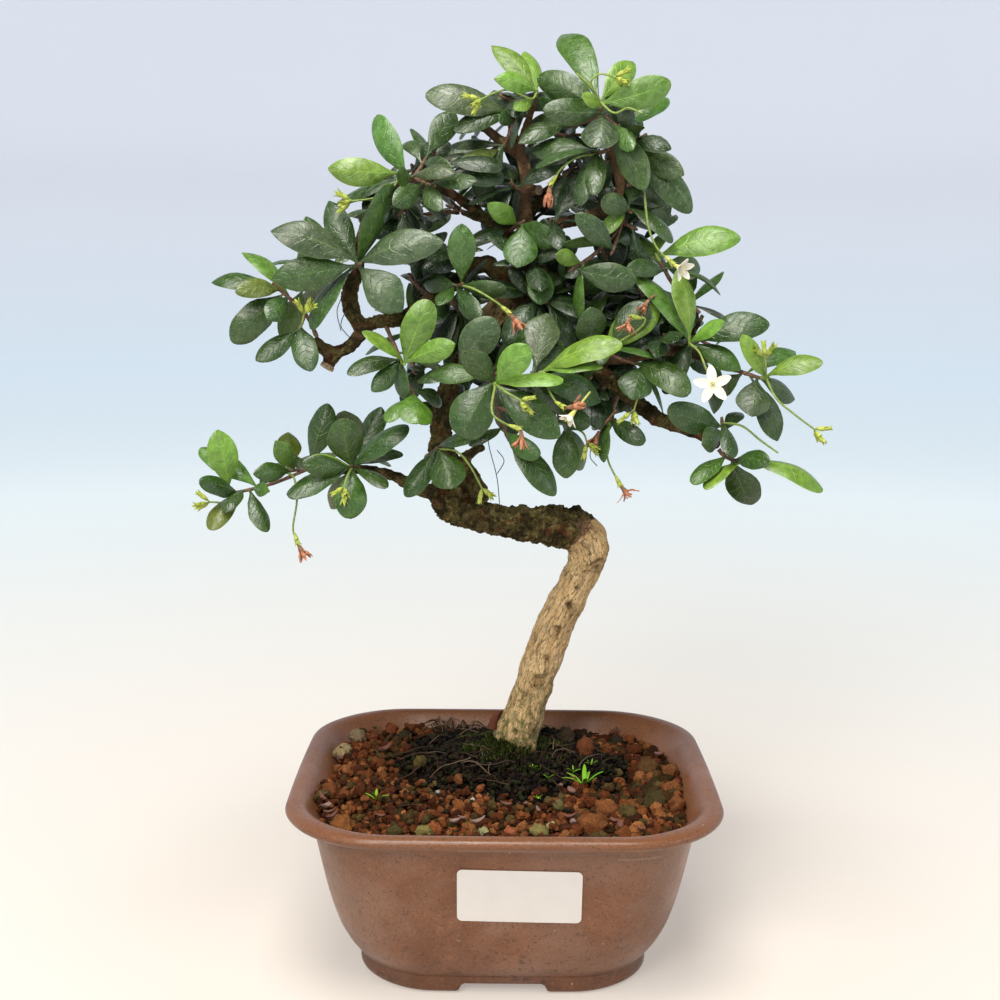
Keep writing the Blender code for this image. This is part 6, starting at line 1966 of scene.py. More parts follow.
# %% [markdown]
# Cracks must follow the wood, so every point of the skin needs to know its place on its limb: how
# far along it lies, and where round the limb. The nearest limb is the one whose surface is nearest.
# The three numbers are stored as "grain"; noise read in those coordinates, squeezed along the limb,
# gives long fissures on any branch at any angle.

# %% Grain
GRAIN_STRETCH = 0.22
POINTS_AT_ONCE = 4000
# Age of the bark at points of the trunk's route: 0 smooth and tan, 1 dark and flaky
TRUNK_AGES = ((0, 0.02), (5, 0.06), (6.4, 0.14), (6.9, 0.30), (7.3, 1.0), (14, 1.0), (16.6, 0.95),
              (17.4, 0.26), (18.4, 0.26), (19.1, 1.0), (20.6, 0.90), (21.3, 0.50), (26, 0.45))
LIMB_AGE = 0.85
LIMB_AGES = {"foot": 0.05, "knot_right": 0.3, "crest": 0.5, "stub_side": 0.5, "stub_top": 0.6,
             "top_right": 0.55, "right_rise": 0.65, "stub_right": 0.8}


def limb_samples(routes):
    """Rows of place, radius, run, normal, across and age along every limb."""
    rows = []
    for name, route in routes.items():
        run = 0.0
        normal = None
        for index, (point, radius) in enumerate(route):
            before = route[max(index - 1, 0)][0]
            after = route[min(index + 1, len(route) - 1)][0]
            along = (after - before).normalized()
            normal = along.orthogonal() if normal is None else normal
            normal = squared(normal, along)
            across = along.cross(normal)
            run += (point - route[max(index - 1, 0)][0]).length
            age = LIMB_AGES.get(name, LIMB_AGE)
            if name == "trunk":
                age = float(np.interp(index / WOOD_SPANS, *zip(*TRUNK_AGES)))
            rows.append((*point, radius, run, *normal, *across, *along, age))
    return np.array(rows)


def grain_of(places, samples):
    """For each place: grain coordinates, radius of its limb and age of its bark."""
    grain = np.zeros((len(places), 3))
    radius = np.zeros(len(places))
    age = np.zeros(len(places))
    for start in range(0, len(places), POINTS_AT_ONCE):
        here = slice(start, start + POINTS_AT_ONCE)
        part = places[here]
        away = part[:, None, :] - samples[None, :, :3]
        depth = np.linalg.norm(away, axis=2) - samples[None, :, 3]
        best = depth.argmin(axis=1)
        row = samples[best]
        offset = part - row[:, :3]
        run = row[:, 4] + (offset * row[:, 11:14]).sum(axis=1)
        side_a = (offset * row[:, 5:8]).sum(axis=1)
        side_b = (offset * row[:, 8:11]).sum(axis=1)
        grain[here] = np.stack([run * GRAIN_STRETCH, side_a, side_b], axis=1)
        radius[here] = row[:, 3]
        age[here] = row[:, 14]
    return grain, radius, age

# %% Carve the bark
KNOTS = [((597, 562), 8, 0.0023), ((586, 570), 8, 0.0011), ((565, 574), 11, 0.0015),
         ((570, 606), 9, 0.0017), ((557, 629), 9, 0.0015), ((546, 657), 10, 0.0012),
         ((538, 678), 10, 0.0021), ((526, 645), 15, 0.0016), ((525, 693), 10, 0.0014),
         ((529, 711), 9, 0.0012), ((516, 731), 9, 0.0015), ((576, 588), 9, 0.0009)]
CRACK_DEPTH = 0.00040
PLATE_DEPTH = 0.00125
LUMP_DEPTH = 0.00120
RIDGE_HEIGHT = 0.00055
KNOT_DEPTH = 0.0013
KNOT_RIM = 0.0007
# How fine each noise is: the larger the number, the smaller its marks
FINE_CRACKS = 1100
WIDE_CRACKS = 520
RIDGES = 950
PLATES = 300
FLAKES = 800
LUMPS = 260
SMALL_LUMPS = 620
PLATE_WARP = 500
AGE_PATCHES = 210
KNOT_EDGE = 420
SMALL_KNOT_EDGE = 1100
KNOT_RINGS = 18
# Added to a place, so that the same noise gives a second, different value there
SHIFT = Vector((7, 3, 1))


def knot_share(spot):
    """How deep a point lies in a knot, from 0 outside to 1 in its middle, and how near to its rim."""
    deep = 0.0
    rim = 0.0
    for middle, size in KNOT_SPOTS:
        ragged = 1 + 0.45 * noise.noise(spot * KNOT_EDGE) + 0.30 * noise.noise(spot * SMALL_KNOT_EDGE)
        away = (spot - middle).length / (size * ragged)
        deep = max(deep, 1 - away)
        rim = max(rim, 1 - abs(away - 1.0) * 2.2)
    return deep, rim


def carve(skin, samples):
    """Moves the skin in along cracks and out at plates and lumps; returns what the colours need."""
    count = len(skin.vertices)
    places = np.zeros(count * 3)
    skin.vertices.foreach_get("co", places)
    places = places.reshape(-1, 3)
    normals = np.zeros(count * 3)
    skin.vertices.foreach_get("normal", normals)
    normals = normals.reshape(-1, 3)
    grain, radius, age = grain_of(places, samples)
    bark = np.zeros((count, 4))
    for index in range(count):
        spot = Vector(places[index])
        age[index] += 0.34 * noise.noise(spot * AGE_PATCHES) * min(age[index] * 4, 1.0)
        inner = Vector(grain[index]).lerp(spot, min(max(age[index] - 0.40, 0.0) * 1.6, 0.85))
        grain[index] = inner
        thick = min(radius[index] / 0.006, 1.0)
        crack = math.exp(-(noise.noise(inner * FINE_CRACKS) / 0.09) ** 2) * 0.5
        crack += math.exp(-(noise.noise(inner * WIDE_CRACKS + SHIFT) / 0.06) ** 2)
        drawn = Vector((inner.x * 0.45, inner.y, inner.z))
        ridge = noise.noise(drawn * RIDGES) * max(1 - age[index] * 2, 0.0)
        warp = Vector((noise.noise(spot * PLATE_WARP), noise.noise(spot * PLATE_WARP + SHIFT), 0))
        near, far = noise.voronoi((inner + warp * 0.0006) * PLATES)[0][:2]
        flake = min(max(0.5 + 1.3 * noise.noise(spot * FLAKES), 0.0), 1.0)
        plate = 0.60 * min((far - near) * 2.2, 1.0) + 0.40 * flake
        lump = noise.noise(spot * LUMPS) + 0.6 * noise.noise(spot * SMALL_LUMPS)
        deep, rim = knot_share(spot)
        out = -CRACK_DEPTH * crack * (0.45 + age[index]) * thick + RIDGE_HEIGHT * ridge
        out += PLATE_DEPTH * (plate - 0.75) * age[index] ** 2 * thick
        out += LUMP_DEPTH * lump * (0.15 + 0.85 * age[index]) * thick
        out += KNOT_RIM * max(rim, 0.0) - KNOT_DEPTH * max(deep, 0.0)
        places[index] += normals[index] * out
        rings = 0.5 + 0.5 * math.sin(KNOT_RINGS * deep + 6 * noise.noise(spot * 900))
        scar = min(min(max(deep, 0.0) * 4, 1.0) * (0.12 + 0.78 * rings ** 2) + max(rim, 0) * 0.22, 1.0)
        bark[index] = (age[index], min(crack, 1.0), scar, plate)
    skin.vertices.foreach_set("co", places.ravel())
    skin.update()
    return grain, bark


KNOT_SPOTS = [(point_of((*pixel, depth)), size) for pixel, depth, size in KNOTS]
routes = wood_routes()
samples = limb_samples(routes)
skin = fused_wood(routes)
grain, bark = carve(skin, samples)
print("trunk skin:", len(skin.vertices), "points")

# %% [markdown]
# The bark's colour comes from the same values. The wood low on this trunk is pale tan; the old bend
# is dark, with khaki and reddish flakes; thin leaders are grey brown. Knots darken it, cracks and the
# sunken gaps between the old plates get painted shade, and a little green algae climbs from the soil.

# %% Bark finish
TAN = colour(0.800, 0.555, 0.285)
TAN_WARM = colour(0.600, 0.380, 0.168)
TAN_GREY = colour(0.540, 0.430, 0.255)
OLD_BARK_AND_SHADE = colour(0.024, 0.016, 0.007)
OLD_KHAKI = colour(0.150, 0.118, 0.036)
OLD_FLAKE = colour(0.300, 0.240, 0.092)
RED_FLAKE = colour(0.145, 0.042, 0.018)
LEADER = colour(0.430, 0.260, 0.140)
CRACK_SHADE = colour(0.024, 0.013, 0.006)
KNOT_TONE = colour(0.070, 0.034, 0.014)
ALGAE = colour(0.130, 0.140, 0.035)
DAMP_BARK = colour(0.030, 0.034, 0.012)
# Heights from where the algae and the damp begin down to where they are full
ALGAE_HEIGHTS = (0.105, 0.066)
DAMP_HEIGHTS = (0.078, 0.068)


def bark_finish():
    made, tree, shader, where = finish("bark", 0.86, Specular_IOR_Level=0.12)
    stores = stored(tree, "bark")
    values = add(tree, "SeparateColor", {"Color": stores.outputs["Color"]})
    age, crack, knot = (values.outputs[index] for index in range(3))
    plate = stores.outputs["Alpha"]
    lines = stored(tree, "grain").outputs["Vector"]
    fine = spots(tree, lines, 2600.0, 5.0, 0.7)
    broad = spots(tree, lines, 420.0, 4.0, 0.6)
    tan = mixed(tree, ramp(tree, broad, 0.38, 0.62), TAN_WARM, TAN)
    grey = ramp(tree, spots(tree, lines, 900.0, 4.0, 0.6), 0.50, 0.66)
    tan = laid(tree, tan, grey, 0.6, TAN_GREY)
    flakes = ramp(tree, spots(tree, lines, 1100.0, 5.0, 0.65), 0.44, 0.64)
    old = mixed(tree, ramp(tree, broad, 0.40, 0.62), OLD_KHAKI, OLD_FLAKE)
    # Painted shade: the old bark darkens where plate is low, in the sunken gaps between its plates
    old = laid(tree, old, ramp(tree, plate, 0.42, 0.10), 0.62, OLD_BARK_AND_SHADE)
    blotch = ramp(tree, spots(tree, where, 110.0, 8.0, 0.70), 0.48, 0.53)
    old = laid(tree, old, blotch, 0.76, OLD_BARK_AND_SHADE)
    old = laid(tree, old, flakes, 0.4, OLD_BARK_AND_SHADE)
    reds = ramp(tree, spots(tree, where, 150.0, 4.0), 0.56, 0.64)
    old = laid(tree, old, reds, 0.7, RED_FLAKE)
    leader = mixed(tree, ramp(tree, broad, 0.32, 0.54), RED_FLAKE, LEADER)
    leader = laid(tree, leader, flakes, 0.35, OLD_BARK_AND_SHADE)
    body = mixed(tree, ramp(tree, age, 0.26, 0.42), tan, leader)
    body = mixed(tree, ramp(tree, age, 0.62, 0.76), body, old)
    # Painted shade in the cracks: the wandering lines, the fine streaks and the carved fissures are darkened
    around_half = counted(tree, "SUBTRACT", spots(tree, lines, 620.0, 4.0, 0.6), 0.5)
    wander = counted(tree, "ABSOLUTE", around_half, 0.0)
    split = ramp(tree, wander, 0.020, 0.003)
    body = laid(tree, body, split, 0.62, CRACK_SHADE)
    body = laid(tree, body, ramp(tree, fine, 0.55, 0.66), 0.50, CRACK_SHADE)
    body = laid(tree, body, ramp(tree, crack, 0.45, 1.0), 0.66, CRACK_SHADE)
    body = mixed(tree, knot, body, KNOT_TONE)
    height = add(tree, "SeparateXYZ", {"Vector": where}).outputs["Z"]
    patchy = ramp(tree, spots(tree, where, 420.0, 4.0), 0.40, 0.60)
    body = laid(tree, body, ramp(tree, height, *ALGAE_HEIGHTS), patchy, ALGAE)
    body = laid(tree, body, ramp(tree, height, *DAMP_HEIGHTS), 0.7, DAMP_BARK)
    paint(tree, shader, body)
    relief = counted(tree, "SUBTRACT", counted(tree, "ADD", fine, flakes), split)
    bump(tree, shader, relief, 0.85, 0.0006)
    return made


BARK = bark_finish()
skin.materials.append(BARK)
skin.transform(Matrix.Translation(POT_MIDDLE))
skin.shade_smooth()
trunk = bpy.data.objects.new("carved_trunk", skin)
bpy.context.scene.collection.objects.link(trunk)
carry(trunk, "grain", "FLOAT_VECTOR", grain)
carry(trunk, "bark", "FLOAT_COLOR", bark)
seat(trunk, "bark", "trunk")

# %% [markdown]
# ## Pruning cuts
#
# Where a branch was cut the wood shows as a pale round face with a few growth rings and a rim of
# callus. Each is a small turned disc set on the end of its stub.

# %% Pruning cuts
CUTS = [("trunk", -1, 0.0019), ("stub_top", -1, 0.0019), ("stub_side", -1, 0.0016), ("left_rise", -1, 0.0017),
        ("mid_left", -1, 0.0023), ("stub_low_left", -1, 0.0012)]


def cut_face(end, along, radius):
    """A disc with ring grooves and a raised rim."""
    normal = along.orthogonal().normalized()
    across = along.cross(normal)
    profile = [(0.30, -0.9), (1.04, -0.5), (1.10, 0.05), (0.98, 0.16), (0.86, 0.08), (0.70, 0.11),
               (0.58, 0.05), (0.42, 0.10), (0.28, 0.04), (0.12, 0.07)]
    rings = []
    for out, up in profile:
        turns = [math.tau * side / 20 for side in range(20)]
        ring = [normal * math.cos(t) + across * math.sin(t) for t in turns]
        rings.append([
            end + way * (radius * out * (1 + 0.08 * noise.noise((end + way) * 3))) + along * (radius * up)
            for way in ring
        ])
    return loft(rings)


CUT_DARK = colour(0.17, 0.10, 0.055)
CUT_PALE = colour(0.48, 0.35, 0.22)


def cut_finish():
    made, tree, shader, where = finish("cut_wood", 0.7)
    clouds = spots(tree, where, 700.0, 5.0, 0.7)
    paint(tree, shader, mixed(tree, ramp(tree, clouds, 0.36, 0.64), CUT_DARK, CUT_PALE))
    bump(tree, shader, clouds, 0.6, 0.0003)
    return made


cuts = Batch()
for name, index, radius in CUTS:
    end = routes[name][index][0]
    along = (end - routes[name][index - 1][0]).normalized()
    cuts.add(*cut_face(end + along * radius * 0.12, along, radius))
seat(build_batch("pruning_cuts", cuts, [cut_finish()]), "bark")

# %% [markdown]
# ## A leaf
#
# A fukien tea leaf is leathery, widest past its middle, narrow at its stalk and blunt or notched at
# its tip. The upper side is dark and glossy, grooved along the midrib and dotted with tiny white
# points; the lower side is paler and dull, with a raised midrib. One function draws it as rings of
# sixteen points, so upper side, edges and lower side are one closed skin.

# %% Leaf shape
LEAF_ROWS = 14
LEAF_COLUMNS = (-1.0, -0.8, -0.5, -0.17, 0.0, 0.17, 0.5, 0.8, 1.0)
LEAF_THICK = 0.00034
STALK_HALF = 0.00036
MIDRIB_WIDE = 0.14
MIDRIB_DEEP = 0.00030
# How much one leaf may differ from the next
BENDS = (-0.025, 0.030)
TWISTS = (-0.16, 0.16)
FOLDS = (0.10, 0.46)
RIPPLES = (0.0, 0.030)
BEATS = (1.3, 2.6)
TIP_NOTCHES = (0.0, 0.0, 0.0, 0.0, 0.010, 0.022)
SIDE_BENDS = (-0.16, 0.16)
DROOPS = (0.0, 0.15, 0.3, 0.55)
PEAKS = (1.26, 1.66)
POINTS = (0.46, 0.54, 0.60, 0.68, 0.80)
CRIMPS = (0.0, 0.045)
CRIMP_COUNTS = (11, 17)


def leaf_half(share, peak, point):
    """Half the width of a leaf of width one, at a share of its length."""
    share = max(share, 0.0)
    return 0.5 * math.sin(math.pi * share ** peak) ** point * min(1.0, (share / 0.34) ** 0.55)


def leaf_shares():
    """Rows that stand closer near the tip, where the edge turns fastest."""
    shares = [ROOT_SINK, 0.04]
    for row in range(1, LEAF_ROWS):
        shares.append(0.04 + 0.957 * math.sin(0.5 * math.pi * row / (LEAF_ROWS - 1)) ** 1.15)
    return shares


LEAF_SHARES = leaf_shares()


def fine_leaf(base, tip, normal, width, draw, shares=LEAF_SHARES, columns=LEAF_COLUMNS):
    """Points, faces and leaf coordinates of one leaf."""
    along = tip - base
    length = along.length
    along = along.normalized()
    normal = squared(normal, along)
    across = along.cross(normal)
    bend = draw.uniform(*BENDS)
    twist = draw.uniform(*TWISTS)
    fold = draw.uniform(*FOLDS)
    ripple = draw.uniform(*RIPPLES) * width
    beat = draw.uniform(*BEATS) * math.pi
    phase = draw.uniform(0, math.tau)
    notch = draw.choice(TIP_NOTCHES)
    side_bend = draw.uniform(*SIDE_BENDS)
    droop = draw.choice(DROOPS)
    peak = draw.uniform(*PEAKS)
    point = draw.choice(POINTS)
    crimp = draw.uniform(*CRIMPS)
    crimps = draw.uniform(*CRIMP_COUNTS)
    rings = []
    places = []
    for share in shares:
        half = max(leaf_half(share, peak, point) * width, STALK_HALF)
        half *= 1 + crimp * math.sin(crimps * share + phase)
        thick = LEAF_THICK / 2 + 0.00020 * max(1 - max(share, 0.0) / 0.2, 0.0)
        upper = []
        lower = []
        for column in columns:
            out = abs(column)
            pulled = share - notch * max(share - 0.86, 0.0) / 0.14 * (1 - out) ** 1.5
            rise = (0.10 + bend) * length * 4 * share * (1 - share) - fold * out * half
            rise -= 0.55 * half * max(out - 0.72, 0.0) ** 2
            rise += twist * column * half * share + ripple * out * math.sin(beat * share + phase + column)
            rise -= droop * length * max(share - 0.62, 0.0) ** 2
            swing = side_bend * length * share * (1 - share)
            spot = base + along * (length * pulled) + across * (half * column + swing) + normal * rise
            groove = MIDRIB_DEEP * math.exp(-(column / MIDRIB_WIDE) ** 2) * min(half / 0.003, 1.0)
            edge = 1.0 if out < 0.9 else 0.25
            upper.append(spot + normal * (thick * edge - groove))
            lower.append(spot - normal * (thick * edge + groove * 1.6))
        rings.append(upper + lower[-2:0:-1])
        places += [(share, column, 1.0) for column in columns]
        places += [(share, column, -1.0) for column in columns[-2:0:-1]]
    return (*loft(rings), places)

# %% [markdown]
# The leaf's finish reads where each point lies on its leaf. From that it draws the midrib as a thin
# light line, the side veins as a soft relief that slants towards the tip, the light margin and the
# paler underside. The tiny white points are the cores of scattered cells.

# %% Leaf finish
LEAF_DEEP = (0.026, 0.068, 0.006)
LEAF_MID = (0.060, 0.155, 0.010)
LEAF_OLIVE = (0.100, 0.140, 0.014)
# Grey-green for leaves that catch the light: a painted sheen
LEAF_PAINTED_SHEEN = (0.050, 0.084, 0.026)
LEAF_BRIGHT = (0.145, 0.285, 0.024)
LEAF_SHADOW = colour(0.004, 0.014, 0.003)
LEAF_DOT = colour(0.50, 0.56, 0.42)
LEAF_PAINTED_LIGHT = colour(0.300, 0.330, 0.240)
# Heights between which painted light, a greyer sheen on the upper leaves, comes in
PAINTED_LIGHT_HEIGHTS = (0.180, 0.290)
# Side veins along a leaf, and how far they slant towards the tip
VEIN_PAIRS = 6.5
VEIN_SLANT = 1.5


def leaf_finish(name, roughness, rib_tint, under_tint, dots):
    made, tree, shader, where = finish(name, roughness, Specular_IOR_Level=0.58)
    tone = stored(tree, "tone").outputs["Color"]
    spot = add(tree, "SeparateXYZ", {"Vector": stored(tree, "leaf_place").outputs["Vector"]})
    share, column, side = (spot.outputs[index] for index in range(3))
    out = counted(tree, "ABSOLUTE", column, 0.0)
    clouds = ramp(tree, spots(tree, where, 380.0, 4.0, 0.6), 0.34, 0.66)
    body = mixed(tree, clouds, mixed(tree, 0.45, tone, LEAF_SHADOW), tone)
    bent = times(tree, spots(tree, where, 130.0, 2.0), 2.6)
    lengthwise = counted(tree, "SUBTRACT", times(tree, share, VEIN_PAIRS), times(tree, out, VEIN_SLANT))
    turn = times(tree, counted(tree, "ADD", lengthwise, bent), math.tau)
    vein = ramp(tree, counted(tree, "SINE", turn, 0.0), 0.70, 1.0)
    veins = times(tree, vein, ramp(tree, out, 0.90, 0.45))
    rib = times(tree, ramp(tree, out, 0.065, 0.02), ramp(tree, share, 0.96, 0.35))
    stalk = ramp(tree, share, 0.10, 0.02)
    margin = ramp(tree, out, 0.93, 1.0)
    for line, strength in ((veins, 0.08), (rib, 0.75), (stalk, 0.8), (margin, 0.45)):
        body = laid(tree, body, line, strength, rib_tint)
    body = laid(tree, body, ramp(tree, cells(tree, where, 1150.0), 0.17, 0.09), dots, LEAF_DOT)
    height = add(tree, "SeparateXYZ", {"Vector": where}).outputs["Z"]
    # Painted light: the leaves turn greyer towards the top of the crown, where the light from above falls
    upper_light = times(tree, ramp(tree, height, *PAINTED_LIGHT_HEIGHTS), ramp(tree, clouds, 0.2, 0.8))
    body = laid(tree, body, upper_light, 0.07, LEAF_PAINTED_LIGHT)
    under = mixed(tree, 0.55, tone, under_tint)
    paint(tree, shader, mixed(tree, ramp(tree, side, 0.2, -0.2), body, under))
    wax = ramp(tree, spots(tree, where, 260.0, 4.0, 0.6), 0.40, 0.60)
    tree.links.new(spread_out(tree, wax, roughness - 0.06, roughness + 0.12), shader.inputs["Roughness"])
    swells = times(tree, spots(tree, where, 150.0, 2.0), 1.3)
    wrinkles = times(tree, spots(tree, where, 620.0, 3.0), 0.22)
    relief = counted(tree, "ADD", times(tree, veins, -0.20), counted(tree, "ADD", swells, wrinkles))
    speckle = times(tree, spots(tree, where, 2400.0, 2.0), 0.16)
    bump(tree, shader, counted(tree, "ADD", relief, speckle), 0.85, 0.0005)
    return made


DARK_LEAF = leaf_finish("leaf_glossy", 0.33, colour(0.090, 0.145, 0.034), colour(0.080, 0.140, 0.034), 0.55)
FRESH_LEAF = leaf_finish("leaf_new", 0.36, colour(0.220, 0.360, 0.050), colour(0.170, 0.300, 0.040), 0.20)


def stem_finish(name, first, second, roughness):
    """Green or woody shoots: streaked colour with a fine relief."""
    made, tree, shader, where = finish(name, roughness)
    fine = spots(tree, where, 900.0, 4.0, 0.65)
    paint(tree, shader, mixed(tree, ramp(tree, fine, 0.38, 0.62), first, second))
    bump(tree, shader, spots(tree, where, 2400.0, 4.0), 0.5, 0.0003)
    return made


TWIG = stem_finish("twig_bark", colour(0.070, 0.030, 0.018), colour(0.190, 0.105, 0.060), 0.75)
GREEN_STEM = stem_finish("green_stem", colour(0.140, 0.210, 0.036), colour(0.240, 0.320, 0.065), 0.55)
BUD_SKIN = stem_finish("bud_skin", colour(0.270, 0.340, 0.040), colour(0.440, 0.480, 0.085), 0.55)

# %% [markdown]
# ## Tones
#
# Old leaves are deep green. Some are lighter, some olive, and a few that catch the light are painted grey, a
# painted sheen.
# Each of those is named by the pixel of its tip. The others are deep green, with a lighter one here
# and there, and every leaf is made a little lighter or darker at random.

# %% Tones
TONE_OF_TIP = {
    LEAF_MID: [(373, 115), (371, 165), (562, 31), (669, 97), (392, 184), (200, 448), (268, 491), (277, 443),
               (386, 422), (420, 428), (539, 457), (641, 276)],
    LEAF_OLIVE: [(459, 163), (232, 292), (204, 533), (330, 510), (551, 437), (288, 431)],
    LEAF_BRIGHT: [(316, 279), (244, 249), (657, 309), (325, 460), (519, 108), (606, 230), (556, 255),
                  (490, 205)],
    LEAF_PAINTED_SHEEN: [(455, 172), (427, 92), (495, 319), (548, 309), (272, 228), (443, 241), (402, 312), (598, 147),
                (751, 415)],
}


def leaf_tone(node, tip, draw):
    base = LEAF_BRIGHT if node.startswith("fresh") else LEAF_DEEP
    for tone, tips in TONE_OF_TIP.items():
        if tip in tips:
            base = tone
    if base is LEAF_DEEP and draw.random() < 0.22:
        base = tuple((a + b) / 2 for a, b in zip(LEAF_DEEP, LEAF_MID))
    light = draw.uniform(0.78, 1.25)
    warm = draw.uniform(-0.10, 0.14)
    return (base[0] * light * (1 + warm), base[1] * light, base[2] * light * (1 - warm))

# %% [markdown]
# ## Sprays
#
# One piece for each spray: woody twigs with small swellings where leaves have stood, the leaves on
# their short stalks, and thin green flower stalks that end in star-shaped cups. Four finishes share
# the piece: bark of the twig, leaf, green stem and bud.

# %% Twigs, stalks and cups
TWIG_KIND = 0
LEAF_KIND = 1
GREEN_KIND = 2
BUD_KIND = 3
STALK_THICK = 0.00046


def add_twig(batch, stem, draw):
    """A knobbly twig of brown wood, thinning to its tip."""
    smooth = smooth_route([*stem.route, (stem.heart + stem.along * 0.0012, TWIG_RADIUS * 0.45)], 7)
    route = []
    for index, (point, radius) in enumerate(smooth):
        knob = 1 + 0.22 * (index % 3 == 1) * draw.uniform(0.2, 1.0)
        route.append((point, radius * knob * 0.86))
    batch.add(*tube(route, 9, 0.12), kind=TWIG_KIND)


def add_sepals(batch, end, along, length, spread, count, draw):
    """Narrow pointed lobes round the end of a stalk."""
    normal = along.orthogonal().normalized()
    turn = draw.uniform(0, math.tau)
    for index in range(count):
        around = Matrix.Rotation(turn + math.tau * index / count, 3, along) @ normal
        rows = []
        across = along.cross(around)
        for step in range(5):
            share = step / 4
            tilt = spread * (0.35 + 0.65 * share)
            way = along * math.cos(tilt) + around * math.sin(tilt)
            spot = end + around * 0.0003 + way * (length * share)
            half = 0.00068 * math.sin(math.pi * (0.25 + 0.70 * share))
            out = (around * math.cos(tilt) - along * math.sin(tilt)) * 0.00011
            rows.append([spot - across * half, spot + out, spot + across * half, spot - out])
        batch.add(*loft(rows), kind=BUD_KIND)


BALL_POINTS, BALL_FACES = ball_shape(2)


def add_ball(batch, middle, along, length, radius, kind, tone=(0.5, 0.5, 0.5)):
    """A small egg-shaped bud or fruit."""
    turn = np.array(along.to_track_quat("Z", "Y").to_matrix())
    placed = (BALL_POINTS * np.array([radius, radius, length / 2])) @ turn.T + np.array(middle)
    batch.add(placed, BALL_FACES, kind=kind, tone=tone)


def add_stalk(batch, ending, route, along, draw):
    """A thin stalk with what it carries: cups of spent flowers, buds, or a bare tip."""
    smooth = smooth_route(route, 6)
    slim = [(point, STALK_THICK - 0.00014 * index / len(smooth)) for index, (point, _) in enumerate(smooth)]
    batch.add(*tube(slim, 7, 0.10), kind=GREEN_KIND)
    end = route[-1][0]
    if ending == "tip":
        add_ball(batch, end, along, 0.0012, 0.0004, GREEN_KIND)
        return
    if ending in FLOWERS:
        batch.add(*tube([(end - along * 0.0030, 0.00036), (end - along * 0.0008, 0.00085)], 8), kind=BUD_KIND)
        add_sepals(batch, end - along * 0.0012, along, 0.0030, 0.32, 5, draw)
        return
    normal = along.orthogonal().normalized()
    for index in range(3):
        around = Matrix.Rotation(math.pi * index * 0.67 + 0.6, 3, along) @ normal
        aim = (along + around * 0.8).normalized()
        foot = end + aim * draw.uniform(0.0006, 0.0016)
        mouth = foot + aim * draw.uniform(0.0018, 0.0028)
        batch.add(*tube([(end, 0.00030), (foot, 0.00032)], 6), kind=GREEN_KIND)
        cup = [(foot, 0.00040), (foot.lerp(mouth, 0.5), 0.00082), (mouth, 0.00098)]
        batch.add(*tube(cup, 8), kind=BUD_KIND)
        length = draw.uniform(0.0028, 0.0042)
        add_sepals(batch, mouth - aim * 0.0004, aim, length, draw.uniform(0.10, 0.45), 5, draw)
        add_ball(batch, mouth, aim, 0.0016, 0.00055, BUD_KIND)

# %% Dress every spray
# A leaf that the clearance pass left short, drawn out to its length in the picture
DRAWN_OUT = {(562, 31): 1.42}
SPRAY_SEED = 91


def spray_batches():
    """The fine parts of each spray and each fresh tuft, by the name of the plain node."""
    draw = random.Random(SPRAY_SEED)
    batches = {}
    for node, shoots in SPRAYS.items():
        batches[node] = Batch()
        for shoot, stem in zip(shoots, stems[node]):
            add_twig(batches[node], stem, draw)
            if shoot.fresh:
                tuft = batches.setdefault(fresh_name(node), Batch())
                start = stem.heart + stem.along * GAP
                shoot_tip = [(start, 0.0008), (start + stem.along * 0.0014, 0.0007),
                             (start + stem.along * 0.0034, 0.0002)]
                tuft.add(*tube(smooth_route(shoot_tip, 3), 9), kind=GREEN_KIND)
    for node, ending, route, along in stalks:
        add_stalk(batches[node], ending, route, along, draw)
    for node, shown, base, tip, normal, width in leaves:
        tip = base + (tip - base) * DRAWN_OUT.get(shown, 1.0)
        points, faces, places = fine_leaf(base, tip, normal, width, draw)
        batches[node].add(points, faces, LEAF_KIND, leaf_tone(node, shown, draw), places)
    return batches


for node, batch in spray_batches().items():
    fresh = node.startswith("fresh")
    finishes = [TWIG, FRESH_LEAF if fresh else DARK_LEAF, GREEN_STEM, BUD_SKIN]
    piece = build_batch("leafy_" + node, batch, finishes)
    seat(piece, "leaf_fresh" if fresh else "leaf_dark", node)

# %% [markdown]
# ## Inner shoots
#
# The inside of a living crown is full of small leaves that the plain model leaves out. They get a
# darker tone than the outer leaves, which is painted shade. Short shoots are tried at chosen pixels
# and then at random places inside the crown's outline, and rooted on the nearest limb. A leaf is kept
# only where it misses all that stands there already, and where it leaves the gaps open through which
# the background shows in the picture.

# %% Inner shoots
CROWN = [(396, 150), (430, 122), (470, 96), (545, 76), (612, 84), (648, 122), (682, 160), (680, 215),
         (655, 262), (690, 300), (735, 335), (735, 396), (700, 392), (650, 378), (648, 424), (604, 440),
         (565, 432), (520, 446), (488, 428), (452, 444), (418, 424), (396, 398), (372, 366), (425, 336),
         (398, 300), (404, 268), (396, 234), (356, 236), (350, 200), (372, 188)]
# Pixels where leaves of the picture are still missing, tried before any other place
WANTED = [(400, 214), (364, 216), (412, 166), (512, 184), (634, 228), (410, 276), (644, 136),
          (568, 276), (594, 300), (640, 290), (664, 336), (620, 366), (600, 394), (576, 392),
          (500, 345), (462, 312), (546, 302), (502, 96)]
WANTED_TRIES = 9
